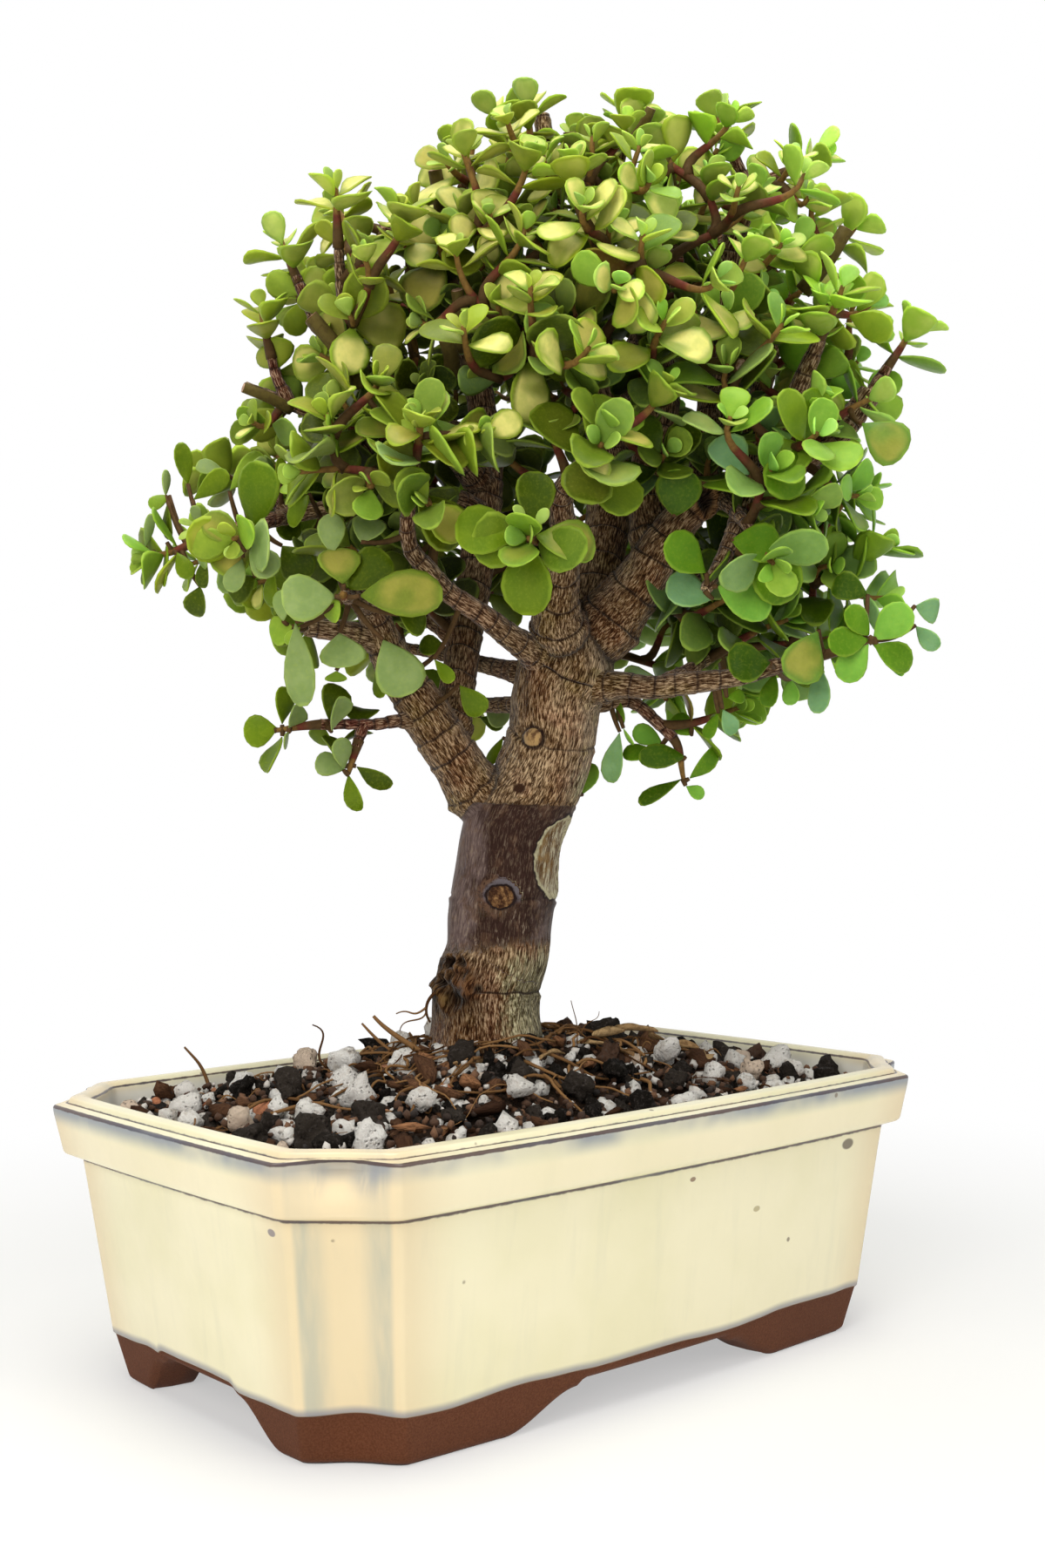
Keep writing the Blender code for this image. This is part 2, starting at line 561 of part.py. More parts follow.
def rings_along(stations, sides, turn=0.0):
    """A ring square to the path at each (point, radius) station, carried along without twisting."""
    points = [Vector(point) for point, _ in stations]
    ways = []
    for i in range(len(points)):
        ahead = points[min(i + 1, len(points) - 1)]
        behind = points[max(i - 1, 0)]
        ways.append((ahead - behind).normalized())
    sideways = ways[0].orthogonal().normalized()
    sideways = Quaternion(ways[0], turn) @ sideways
    rings = []
    for i, (point, radius) in enumerate(stations):
        if i:
            sideways = ways[i - 1].rotation_difference(ways[i]) @ sideways
        across = ways[i].cross(sideways)
        ring = []
        for k in range(sides):
            angle = math.tau * k / sides
            ring.append(Vector(point) + radius * (math.cos(angle) * sideways + math.sin(angle) * across))
        rings.append(ring)
    return rings


def tube(name, stations, sides, turn=0.0):
    """A closed tube of wood or stem."""
    return stacked(name, rings_along(stations, sides, turn))


def limb_sides(stations):
    """How many sides suit the limb's thickest station."""
    thickest = max(radius for _, radius in stations)
    return next(sides for least, sides in LIMB_SIDES if thickest >= least)


def build_trunk(material):
    """The trunk with all its limbs and cut stubs, which grew as one."""
    tubes = []
    for turn, (name, route) in enumerate(LIMBS.items()):
        stations = [(tree_point(*place[:3]), place[3]) for place in route]
        tubes.append(tube(name, stations, limb_sides(stations), turn=0.37 * turn))
    trunk = tubes[0]
    for branch in tubes[1:]:
        combine(trunk, [branch], "UNION")
    return finish(trunk, "trunk", material, sharp=40)


def leaf(name, root, way, face, length):
    """One fleshy leaf: an obovate lens that starts just behind its root."""
    side = way.cross(face).normalized()
    start = root - way * 0.35
    rim = [start]
    rim += [start + way * (length * t) + side * (length * w) for t, w in LEAF_OUTLINE]
    rim += [start + way * (length * t) - side * (length * w) for t, w in LEAF_OUTLINE[::-1]]
    middle = start + way * (length * 0.6)
    points = rim + [middle + face * (LEAF_THICK * 0.3), middle - face * (LEAF_THICK * 0.7)]
    count = len(rim)
    faces = []
    for i in range(count):
        j = (i + 1) % count
        faces += [(i, j, count), (j, i, count + 1)]
    return add_object(name, mesh_from(name, points, faces))


def build_shoot(name, limb, recipe, turn, material):
    """A young stem with crossed pairs of leaves, set on the end of its limb."""
    length, pairs, longest = recipe
    end = tree_point(*LIMBS[limb][-1][:3])
    before = tree_point(*LIMBS[limb][-2][:3])
    way = (end - before).normalized()
    foot = end + way * GAP
    tip = foot + way * length
    thin = STEM_RADIUS * 0.7
    stem = tube(name, [(foot, STEM_RADIUS), (tip - way * 2, thin), (tip, thin * 0.5)], STEM_SIDES, turn)
    sideways = Quaternion(way, turn) @ way.orthogonal().normalized()
    leaves = []
    for pair in range(pairs):
        share = (pair + 0.9) / (pairs + 0.2)
        lean = math.radians(LEAF_LEAN[0] + (LEAF_LEAN[1] - LEAF_LEAN[0]) * share)
        size = longest * (1 - 0.42 * share)
        for half in (0, 1):
            node = foot + way * (length * share + PAIR_STEP * half)
            out = Quaternion(way, (math.pi + PAIR_SKEW) * half + math.pi / 2 * pair) @ sideways
            along = way * math.cos(lean) + out * math.sin(lean)
            up = way * math.sin(lean) - out * math.cos(lean)
            leaves.append(leaf("leaf", node, along, up, size))
    for blade in leaves:
        combine(stem, [blade], "UNION")
    return finish(stem, name, material, sharp=35)


def main():
    clear_scene()
    materials = {name: make_material(name) for name in MATERIALS}
    build_pot(materials["glaze"])
    for name, side in (("drain_screen_left", -1), ("drain_screen_right", 1)):
        build_screen(name, side, materials["screen"])
    build_soil(materials["soil"])
    luck = random.Random(7)
    for name, grain in GRAINS.items():
        build_grain(name, grain, materials[grain[4]], luck)
    build_trunk(materials["bark"])
    for number, (limb, recipe) in enumerate(SHOOTS.items()):
        build_shoot("shoot_" + limb, limb, recipe, SHOOT_TURN * number, materials["leaf"])


main()
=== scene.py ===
import math
import random
from types import SimpleNamespace

import bmesh
import bpy
import numpy as np
from mathutils import Matrix, Vector


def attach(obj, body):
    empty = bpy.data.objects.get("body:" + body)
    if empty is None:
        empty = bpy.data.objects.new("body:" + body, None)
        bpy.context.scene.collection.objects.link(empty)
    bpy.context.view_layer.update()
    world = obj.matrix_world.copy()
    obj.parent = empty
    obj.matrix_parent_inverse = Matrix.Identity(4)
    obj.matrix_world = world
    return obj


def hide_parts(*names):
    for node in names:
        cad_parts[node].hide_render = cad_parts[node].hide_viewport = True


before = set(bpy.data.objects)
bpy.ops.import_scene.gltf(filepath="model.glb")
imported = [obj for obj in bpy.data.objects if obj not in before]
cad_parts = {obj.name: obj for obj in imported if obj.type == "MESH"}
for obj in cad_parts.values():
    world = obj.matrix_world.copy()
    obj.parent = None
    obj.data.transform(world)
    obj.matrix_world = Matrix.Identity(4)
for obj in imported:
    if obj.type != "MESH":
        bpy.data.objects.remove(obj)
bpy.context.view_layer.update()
mm = 0.001  # every length below is in mm until it goes into a mesh
print("frame loaded")


# Numbers and noise

def smoothStep(low, high, value):
    # 0 below low, 1 above high, and 3t^2 - 2t^3 between them
    t = np.clip((value - low) / (high - low), 0, 1)
    return t * t * (3 - 2 * t)


def bump(value, width):
    # a bell of height 1 and that half width, exp(-(value / width)^2)
    return np.exp(-(value / width) ** 2)


def noise(points, size, seed=0):
    # smooth noise in -1..1: a hashed value at each corner of a cubic lattice, blended by smoothstep
    place = np.asarray(points, float) / size
    cell = np.floor(place).astype(np.int64)
    part = place - cell
    part = part * part * (3 - 2 * part)
    total = np.zeros(place.shape[:-1])
    for corner in range(8):
        step = np.array([corner & 1, corner >> 1 & 1, corner >> 2 & 1])
        key = (cell + step) @ np.array([73856093, 19349663, 83492791]) + seed * 668265263
        key = ((key & 0xffffffff) ^ ((key & 0xffffffff) >> 13)) * 1274126177 & 0xffffffff
        key = (key ^ (key >> 16)) * 2246822519 & 0xffffffff
        value = ((key >> 8) & 0xffff) / 32767.5 - 1
        total += value * np.where(step, part, 1 - part).prod(axis=-1)
    return total


def layeredNoise(points, size, seed=0, layers=3):
    # noise plus the same at half the size and half the height, and so on
    total = 0
    for layer in range(layers):
        total = total + noise(points, size / 2 ** layer, seed + 17 * layer) / 2 ** layer
    return total


def unit(vectors):
    return vectors / np.maximum(np.linalg.norm(vectors, axis=-1, keepdims=True), 1e-9)


def squareTo(way):
    # a direction square to that one, from the axis that it lies along least
    return unit(np.cross(way, np.eye(3)[np.argmin(np.abs(way))]))


def lengthsAlong(points):
    # how far along its path each point is
    return np.concatenate([[0], np.cumsum(np.linalg.norm(np.diff(points, axis=0), axis=1))])


# Meshes from arrays

def gridFaces(rows, columns):
    # quads between each row and the next, on rows that close on themselves
    row, column = np.meshgrid(np.arange(rows - 1), np.arange(columns), indexing="ij")
    here = row * columns + column
    beside = row * columns + (column + 1) % columns
    return np.stack([here, beside, beside + columns, here + columns], -1).reshape(-1, 4)


def podFaces(rows, columns):
    # a closed pod: gridFaces, with a fan from the first row to one pole and from the last to another
    column = np.arange(columns)
    beside = (column + 1) % columns
    foot = rows * columns
    top = (rows - 1) * columns
    fans = [np.stack([beside, column, np.full(columns, foot)], -1),
        np.stack([top + column, top + beside, np.full(columns, foot + 1)], -1)]
    return [gridFaces(rows, columns), np.concatenate(fans)]


def podPoints(rings):
    # ring points (..., rows, columns, 3) with the two poles added: the middles of the end rings
    shape = rings.shape[:-3] + (-1, 3)
    poles = np.stack([rings[..., 0, :, :].mean(-2), rings[..., -1, :, :].mean(-2)], -2)
    return np.concatenate([rings.reshape(shape), poles], -2)


def copies(faceSets, count, stride):
    # the same faces for each of several pods whose points follow one another
    shift = np.arange(count)[:, None, None] * stride
    return [(faces[None] + shift).reshape(-1, faces.shape[1]) for faces in faceSets]


def makePiece(name, points, faceSets, material, slot, attributes=None, stands=()):
    # a smooth mesh object from points in mm, with one value or vector a point for each attribute
    mesh = bpy.data.meshes.new(name)
    points = points.reshape(-1, 3)
    mesh.vertices.add(len(points))
    mesh.vertices.foreach_set("co", (points * mm).astype(np.float32).ravel())
    corners = np.concatenate([faces.ravel() for faces in faceSets])
    sizes = np.concatenate([np.full(len(faces), faces.shape[1]) for faces in faceSets])
    mesh.loops.add(len(corners))
    mesh.loops.foreach_set("vertex_index", corners.astype(np.int32))
    mesh.polygons.add(len(sizes))
    mesh.polygons.foreach_set("loop_start", np.concatenate([[0], np.cumsum(sizes)[:-1]]).astype(np.int32))
    mesh.update(calc_edges=True)
    mesh.shade_smooth()
    for label, values in (attributes or {}).items():
        setAttribute(mesh, label, np.asarray(values, np.float32))
    mesh.materials.append(material)
    return addToScene(name, mesh, slot, stands)


def addToScene(name, data, slot=None, stands=()):
    # puts an object into the scene, under the root body when a slot is given, in place of the solids it
    # stands for
    thing = bpy.data.objects.new(name, data)
    bpy.context.scene.collection.objects.link(thing)
    if slot:
        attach(thing, "root")
    if stands:
        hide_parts(*stands)
    return thing


def setAttribute(mesh, label, values):
    kind = "FLOAT" if values.ndim == 1 else "FLOAT_VECTOR"
    layer = mesh.attributes.new(label, kind, "POINT")
    layer.data.foreach_set("value" if values.ndim == 1 else "vector", values.ravel())


# Materials

def addNode(tree, kind, *values, **settings):
    # a new node with these settings, and with these values in its first sockets
    node = tree.nodes.new("ShaderNode" + kind)
    for key, value in settings.items():
        setattr(node, key, value)
    for socket, value in zip(node.inputs, values):
        put(socket, value)
    return node


def put(socket, value):
    # links another node's value to the socket, or gives it a number, a vector or a colour
    if isinstance(value, Value):
        socket.id_data.links.new(value.socket, socket)
    elif isinstance(value, tuple) and socket.type == "RGBA":
        socket.default_value = (*value, 1.0)
    elif value is not None:
        socket.default_value = value


def mixed(tree, share, first, second, blend="MIX"):
    # the first colour where the share is 0 and the second where it is 1, in the node's sockets 6 and 7
    node = addNode(tree, "Mix", share, *[None] * 5, first, second, data_type="RGBA", blend_type=blend)
    return Value(node.outputs[2])


class Value:
    # a node's output, with which sums are written as with numbers
    def __init__(self, socket):
        self.socket = socket
        self.tree = socket.id_data

    def math(self, operation, *values):
        return Value(addNode(self.tree, "Math", *values, operation=operation).outputs[0])

    def __add__(self, other):
        return self.math("ADD", self, other)

    def __sub__(self, other):
        return self.math("SUBTRACT", self, other)

    def __rsub__(self, number):
        return self.math("SUBTRACT", number, self)

    def __mul__(self, other):
        return self.math("MULTIPLY", self, other)

    def __abs__(self):
        return self.math("ABSOLUTE", self)

    def root(self):
        return self.math("SQRT", self)

    def most(self, other):
        return self.math("MAXIMUM", self, other)

    def isNear(self, number, within):
        return self.math("COMPARE", self, number, within)

    def scaleAdd(self, factor, other):
        # this times the factor, plus the other
        return self.math("MULTIPLY_ADD", self, factor, other)

    def ramp(self, low, high, toLow=0.0, toHigh=1.0):
        # a smooth step between two values
        node = addNode(self.tree, "MapRange", self, low, high, toLow, toHigh,
            interpolation_type="SMOOTHSTEP")
        return Value(node.outputs[0])

    def mix(self, share, other):
        return mixed(self.tree, share, self, other)

    def dyed(self, colour, share=None, blend="MULTIPLY"):
        # times the colour, all over or where the share says so
        changed = mixed(self.tree, 1.0, self, colour, blend)
        return changed if share is None else self.mix(share, changed)

    def lit(self, colour, share=None):
        # the colour added to it
        return self.dyed(colour, share, "ADD")


class Paint:
    # a Principled material and the nodes that its patterns start from
    def __init__(self, name, **fixed):
        self.material = bpy.data.materials.new(name)
        self.material.use_nodes = True
        self.tree = self.material.node_tree
        self.shader = self.tree.nodes["Principled BSDF"]
        for label, value in fixed.items():
            self.shader.inputs[label.replace("_", " ")].default_value = value
        self.place = Value(addNode(self.tree, "TexCoord").outputs["Object"])

    def mix(self, share, first, second):
        return mixed(self.tree, share, first, second)

    def scaled(self, vector, *scale):
        node = addNode(self.tree, "Mapping", vector)
        node.inputs["Scale"].default_value = scale
        return Value(node.outputs[0])

    def pattern(self, kind, perMm, vector=None, **fixed):
        # a texture on Object coordinates, or on a vector that is already in mm
        node = addNode(self.tree, kind)
        fixed = {"Vector": vector or self.place, "Scale": perMm if vector else perMm / mm, **fixed}
        for label, value in fixed.items():
            put(node.inputs[label], value)
        return node.outputs

    def noise(self, perMm, detail=3.0, rough=0.5, vector=None, warp=0.0):
        return Value(self.pattern("TexNoise", perMm, vector, Detail=detail, Roughness=rough,
            Distortion=warp)[0])

    def cells(self, perMm):
        # how far the nearest of many scattered points is, and that point's own random colour
        found = self.pattern("TexVoronoi", perMm)
        return Value(found["Distance"]), Value(found["Color"])

    def attribute(self, label, output="Fac"):
        return Value(addNode(self.tree, "Attribute", attribute_name=label).outputs[output])

    def parts(self, vector):
        return [Value(output) for output in addNode(self.tree, "SeparateXYZ", vector).outputs]

    def measure(self, operation, *vectors):
        return Value(addNode(self.tree, "VectorMath", *vectors, operation=operation).outputs["Value"])

    def relief(self, height, depth, strength=1.0, under=None):
        node = addNode(self.tree, "Bump")
        for label, value in (("Strength", strength), ("Distance", depth * mm), ("Height", height),
                             ("Normal", under)):
            put(node.inputs[label], value)
        bumped = Value(node.outputs[0])
        put(self.shader.inputs["Normal"], bumped)
        return bumped

    def finish(self, colour, roughness=None):
        put(self.shader.inputs["Base Color"], colour)
        put(self.shader.inputs["Roughness"], roughness)
        return self.material


# Pot

potForm = {
    "length": 210.0,
    "width": 140.0,
    "bowLong": 3.5,
    "bowShort": 1.6,
    "recess": (26.0, 12.0, 9.0),  # inset from the rim, height, corner cut
    "soleInner": (25.5, 9.5),  # inset, corner cut
    "soleOuter": (16.2, 14.2),
    "footLine": (15.0, 0.0, 14.6),  # the outline that the arches are cut from
    "wall": ((0.0, 14.7, 14.6), (12.6, 11.7, 15.0), (56.8, 6.0, 16.4)),  # height, inset, corner cut
    "soleRound": (1.3, 1.6),  # inset and height of the rounded edge of the sole
    "glazeLine": 12.0,
    "glazeStep": 0.4,
    # rows of points below the glaze line, as shares of its height, and above it, in mm
    "clayRows": (0.0, 0.012, 0.03, 0.06, 0.1, 0.15, 0.25, 0.4, 0.55, 0.7, 0.84, 0.94, 1.0),
    "glazeRows": (0.25, 0.5, 0.8, 1.3, 2.2, 3.5, 5.5, 8.0),
    "blendHeight": 20.0,  # the arches and the wavy glaze line no longer move the rows above this
    # how deep each corner is indented, by height: 0.5 is a straight chamfer
    "hollow": ((0.0, 0.60), (9.0, 0.70), (14.0, 0.72), (50.0, 0.62), (56.8, 0.52), (60.0, 0.52),
               (66.5, 0.74), (68.4, 0.84)),
    "lipHollow": ((0.0, 0.86), (1.6, 0.70), (3.0, 0.56), (9.0, 0.54)),  # over the lip, by inset
    "drainX": 46.0,
    "drainRadius": 5.5,
    "floorTop": 18.0,
    # the belt, lip and inside: inset, height, corner cut, how far each bend is rounded
    "rim": ((6.0, 56.8, 16.4, 0.5), (2.2, 58.2, 17.2, 0.9), (0.2, 68.4, 17.5, 0.4),
            (0.0, 70.4, 17.5, 0.8), (2.6, 71.0, 16.2, 0.7), (3.3, 70.5, 16.0, 0.5),
            (4.0, 72.1, 15.6, 0.5), (7.0, 72.5, 14.0, 0.9), (8.7, 71.2, 13.2, 0.8),
            (9.2, 66.0, 13.0, 1.5), (18.5, 22.0, 10.5, 2.0), (22.0, 18.0, 9.5, 1.0)),
    "rimStart": 55.5,
    "beltHeight": 56.8,
    "lipHeight": 70.4,
    "lipFrom": 68.5,
    # where the glaze burns thin and dark: inset, height, strength, half width
    "burntEdges": ((0.1, 70.4, 1.0, 0.7), (3.3, 70.5, 0.9, 0.5), (6.0, 56.8, 0.95, 0.7),
                   (8.7, 71.4, 0.85, 0.5)),
}
# shader colours of the glaze and the bare clay
potTones = {
    "cream": (0.81, 0.76, 0.5),
    "creamLight": (0.87, 0.81, 0.57),
    "belt": (0.9, 0.78, 0.54),
    "corner": (0.75, 0.59, 0.36),
    "pooled": (0.42, 0.44, 0.36),
    "haze": (0.26, 0.29, 0.325),
    "drip": (0.27, 0.29, 0.315),
    "inside": (0.86, 0.85, 0.8),
    "burnt": (0.04, 0.034, 0.06),
    "burntBrown": (0.075, 0.04, 0.035),
    "pinhole": (0.16, 0.11, 0.07),
    "edge": (0.24, 0.24, 0.28),
    "clay": (0.083, 0.022, 0.004),
    "clayLight": (0.138, 0.043, 0.016),
    "clayDark": (0.058, 0.015, 0.003),
}
# small marks in the glaze: x, y, z, half height, colour
glazeChips = (
    (66.6, -65.8, 53.6, 1.7, (0.10, 0.07, 0.045)), (-99.5, -41.6, 53.2, 1.0, (0.20, 0.17, 0.20)),
    (5.6, -67.0, 53.3, 0.7, (0.22, 0.12, 0.07)), (30.5, -65.4, 41.9, 0.9, (0.45, 0.38, 0.20)),
)
arches = (  # the tunnels under the long and the short sides
    {"foot": 47.0, "flat": 24.0, "height": 9.5, "axis": 0},
    {"foot": 31.0, "flat": 15.0, "height": 11.6, "axis": 1},
)


def quadratic(start, middle, end, t):
    # a quadratic Bezier curve
    return start * (1 - t) ** 2 + middle * 2 * t * (1 - t) + end * t * t


def cornerShape(steps):
    # an indented corner for a cut of 1: three quadratic B-spline spans whose middle control points are
    # (1, 0), (hollow, hollow) and (0, 1), given as shares of 1 for both sides and a share of the hollow
    control = np.array([(1.22, 0, 0), (1.0, 0, 0), (0, 0, 1), (0, 1.0, 0), (0, 1.22, 0)])
    t = np.arange(steps)[:, None] / steps
    spans = [quadratic((first + middle) / 2, middle, (middle + last) / 2, t)
        for first, middle, last in zip(control, control[1:], control[2:])]
    return np.concatenate(spans + [(control[-2:].sum(0) / 2)[None]])


def sideColumns(steps, way, reach, alongX, sign):
    # a straight side between two corners, in the weights of potColumns
    s = np.linspace(-way, way, steps + 2)[1:-1]
    moving = np.stack([s, -reach * s, 0 * s], -1)
    fixed = np.stack([sign + 0 * s, 0 * s, 0 * s], -1)
    return np.concatenate([moving, fixed] if alongX else [fixed, moving], -1)


def potColumns(longSteps=98, shortSteps=62, cornerSteps=9):
    # for each column, x = a halfLength + (b + c hollow) cut and y = d halfWidth + (e + f hollow) cut,
    # anticlockwise from (+X, -Y)
    corner = cornerShape(cornerSteps)[::-1]
    reach = corner[0, 1]
    ones = np.ones(len(corner))
    quarter = np.stack([ones, -corner[:, 0], -corner[:, 2], ones, -corner[:, 1], -corner[:, 2]], -1)
    across = (quarter * (1, 1, 1, -1, -1, -1))[::-1]
    return np.concatenate([across, sideColumns(shortSteps, 1, reach, False, 1), quarter,
        sideColumns(longSteps, -1, reach, True, 1), -across,
        sideColumns(shortSteps, -1, reach, False, -1), -quarter,
        sideColumns(longSteps, 1, reach, True, -1)])


def potPoints(inset, height, cut, columns, hollow=0.6):
    # the outline at each row, bowed outwards by 1 - (share of the half side) squared
    halfX = potForm["length"] / 2 - inset
    halfY = potForm["width"] / 2 - inset
    x = columns[:, 0] * halfX + (columns[:, 1] + columns[:, 2] * hollow) * cut
    y = columns[:, 3] * halfY + (columns[:, 4] + columns[:, 5] * hollow) * cut
    bowedX = x + potForm["bowShort"] * (1 - (y / halfY) ** 2) * x / halfX
    bowedY = y + potForm["bowLong"] * (1 - (x / halfX) ** 2) * y / halfY
    return np.stack([bowedX, bowedY, height + 0 * x], -1)


def archHeight(x, y):
    # 0 at the feet, up an ogee side 3t^2 - 2t^3, and a short step up to the flat top
    total = np.zeros_like(x)
    for arch, along in zip(arches, (x, y)):
        lip = arch["flat"] + 2.0
        side = (arch["height"] - 1.6) * smoothStep(-arch["foot"], -lip, -np.abs(along))
        step = 1.6 * np.clip((lip - np.abs(along)) / 2.0, 0, 1)
        reach = (np.abs(y) > 31.5) if arch["axis"] == 0 else (np.abs(x) > 47.5)
        total = np.maximum(total, (side + step) * reach)
    return total


def roundedPath(path, bend=5, gap=7.0):
    # the path's bends as quadratic arcs, and its straight runs cut into steps no longer than the gap
    points = [path[0][:3]]
    for before, here, after in zip(path, path[1:], path[2:]):
        middle = np.array(here[:3])
        back = np.array(before[:3]) - middle
        ahead = np.array(after[:3]) - middle
        start = middle + back * min(0.45, here[3] / np.linalg.norm(back[:2]))
        end = middle + ahead * min(0.45, here[3] / np.linalg.norm(ahead[:2]))
        steps = int(np.linalg.norm(start[:2] - np.array(points[-1])[:2]) // gap)
        points += list(np.linspace(points[-1], start, steps + 2)[1:-1])
        points += [quadratic(start, middle, end, t) for t in np.linspace(0, 1, bend)]
    return np.array(points + [path[-1][:3]])


def potPaint():
    # cream glaze that thins to dark lines on its edges and pools blue-grey, over red-brown clay
    paint = Paint("creamGlaze", IOR=1.5)
    around, up, glazed = paint.parts(paint.attribute("potPlace", "Vector"))
    edge = paint.attribute("thinGlaze")
    broad = paint.noise(0.02, 3, 0.6)
    fine = paint.noise(0.35, 4, 0.6)
    streaky = paint.noise(0.22, 3, 0.55, paint.scaled(paint.place, 1 / mm, 1 / mm, 0.05 / mm))
    cream = paint.mix(broad.ramp(0.35, 0.65), potTones["cream"], potTones["creamLight"])
    belt = up.ramp(-12.5, -10.5) * up.ramp(-3.0, -6.0)
    cream = cream.mix(belt * 0.4, potTones["belt"])
    aside = abs(around)
    # near each corner the glaze is warmer and darker: partly its own tint there, partly painted shade of
    # the indented corner
    nearCorner = aside.ramp(14.0, 40.0, 1.0, 0.0)
    cream = cream.mix(nearCorner * 0.75, potTones["corner"])
    # smooth greenish-grey runs down the inside of both ridges of each corner, and faint ones further along
    run = aside.ramp(3.5, 13.5) * aside.ramp(17.5, 15.0)
    run = run * streaky.ramp(0.25, 0.6, 0.45, 1.0)
    faint = streaky.ramp(0.5, 0.8) * 0.13
    below = up.ramp(-11.5, -17.0, 0.35, 1.0)
    pooled = run.most(faint) * below
    cream = cream.mix(pooled * 0.72, potTones["pooled"])
    # a blue haze hangs under the lip's edge, and the edges themselves burn dark
    haze = up.ramp(-5.5, -0.6) * up.ramp(0.8, -0.1)
    haze = haze * paint.noise(0.035, 3, 0.6).ramp(0.33, 0.6, 0.25, 1.0)
    cream = cream.mix(haze * 0.95, potTones["haze"])
    # drips hang from it beside each corner's ridges, and the inside is whiter
    drip = aside.ramp(1.0, 9.0) * aside.ramp(18.0, 12.0)
    drip = drip * (up.ramp(-9.5, -2.0) * up.ramp(0.8, -0.1))
    drip = drip * streaky.ramp(0.38, 0.6, 0.15, 1.0)
    cream = cream.mix(drip * 0.75, potTones["drip"])
    cream = cream.mix(up.ramp(9.0, 13.0, 0.0, 0.75), potTones["inside"])
    wobble = fine.scaleAdd(0.5, edge - 0.25)
    burnt = wobble.ramp(0.38, 0.72) * broad.ramp(0.3, 0.5, 0.75, 1.0)
    burntColour = paint.mix(broad.ramp(0.42, 0.6), potTones["burnt"], potTones["burntBrown"])
    cream = cream.mix(burnt * 0.94, burntColour)
    # pinholes and specks
    distance, pick = paint.cells(0.11)
    rare = paint.parts(pick)[0].ramp(0.8, 0.83)
    hole = distance.ramp(0.045, 0.085, 1.0, 0.0) * rare
    cream = cream.mix(hole * 0.75, potTones["pinhole"])
    for x, y, z, size, tone in glazeChips:
        place = paint.scaled(paint.place, 0.6 / mm, 0.6 / mm, 1 / mm)
        away = paint.measure("DISTANCE", place, (0.6 * x, 0.6 * y, z))
        cream = cream.mix(away.ramp(size, size * 0.7, 0.0, 0.85), tone)
    grain = paint.noise(2.2, 4, 0.65)
    clay = paint.mix(grain.ramp(0.3, 0.7), potTones["clay"], potTones["clayLight"])
    clay = clay.mix(broad.ramp(0.3, 0.7, 0.0, 0.35), potTones["clayDark"])
    line = glazed.ramp(0.05, 0.6)
    rim = glazed.ramp(0.1, 0.5) * glazed.ramp(2.6, 0.7)
    cream = cream.mix(rim * 0.8, potTones["edge"])
    colour = clay.mix(line, cream)
    roughness = line.ramp(0.0, 1.0, 0.9, 0.27)
    wavy = paint.noise(0.12, 2, 0.5) * line
    first = paint.relief(wavy, 0.35, 0.5)
    sandy = grain * (1.0 - line)
    rough = sandy - hole * 1.6
    paint.relief(rough, 0.22, 0.6, first)
    return paint.finish(colour, roughness)


def potFloor(ring, height, drainLevels):
    # each half of a floor: rows down the drain hole's wall, then straight lines from its circle out to the
    # ring and the middle line
    halves = []
    columns = len(ring)
    for side in (1, -1):
        half = [i for i in range(columns) if ring[i, 0] * side > 0.5]
        start = next(i for i in half if (i - 1) % columns not in half)
        chain = ring[[(start + k) % columns for k in range(len(half))]]
        middle = np.linspace(chain[-1, 1], chain[0, 1], 22)[1:-1]
        loop = np.concatenate([chain, np.stack([0 * middle, middle, 0 * middle + height], -1)])
        centre = np.array([side * potForm["drainX"], 0.0, height])
        inner = centre + unit((loop - centre) * (1, 1, 0)) * potForm["drainRadius"]
        drain = [inner * (1, 1, 0) + (0, 0, level) for level in drainLevels]
        halves.append(np.array(drain + [inner + (loop - inner) * t for t in (0.0, 0.12, 0.4, 1.0)]))
    return halves


def hollowAt(height):
    return np.interp(height, *np.array(potForm["hollow"]).T)


def wallRows(heights, columns):
    # plain rows of the wall
    level, inset, cut = np.array(potForm["wall"]).T
    heights = np.asarray(heights)[:, None]
    return potPoints(np.interp(heights, level, inset), heights, np.interp(heights, level, cut), columns,
        hollowAt(heights))


def footRows(columns):
    # the wall's foot: rows follow the arches and the wavy glaze line, and are level at the blend height
    line = potForm["glazeLine"]
    top = potForm["blendHeight"]
    base = np.concatenate([np.array(potForm["clayRows"]) * line,
        line + np.array(potForm["glazeRows"])])[:, None]
    flat = potPoints(*potForm["footLine"], columns)
    arch = archHeight(flat[:, 0], flat[:, 1])
    wave = noise(flat * (1, 1, 0), 21.0, 3) * 0.9 + noise(flat * (1, 1, 0), 7.0, 5) * 0.35
    waveLine = np.maximum(line + wave, arch + 1.9 + 0.3 * wave)
    below = arch + base / line * (waveLine - arch)
    above = waveLine + (base - line) / (top - line) * (top - waveLine)
    height = np.where(base <= line, below, above)
    level, inset, cut = np.array(potForm["wall"]).T
    roundIn, roundUp = potForm["soleRound"]
    rounded = roundIn * np.clip(1 - (height - arch) / roundUp, 0, 1) ** 2
    inset = np.interp(height, level, inset) + rounded
    inset = inset + potForm["glazeStep"] * (1 - smoothStep(-0.1, 0.5, base - line))
    rows = potPoints(inset, height, np.interp(height, level, cut), columns, hollowAt(height))
    return rows, arch, base[:, 0], height - waveLine


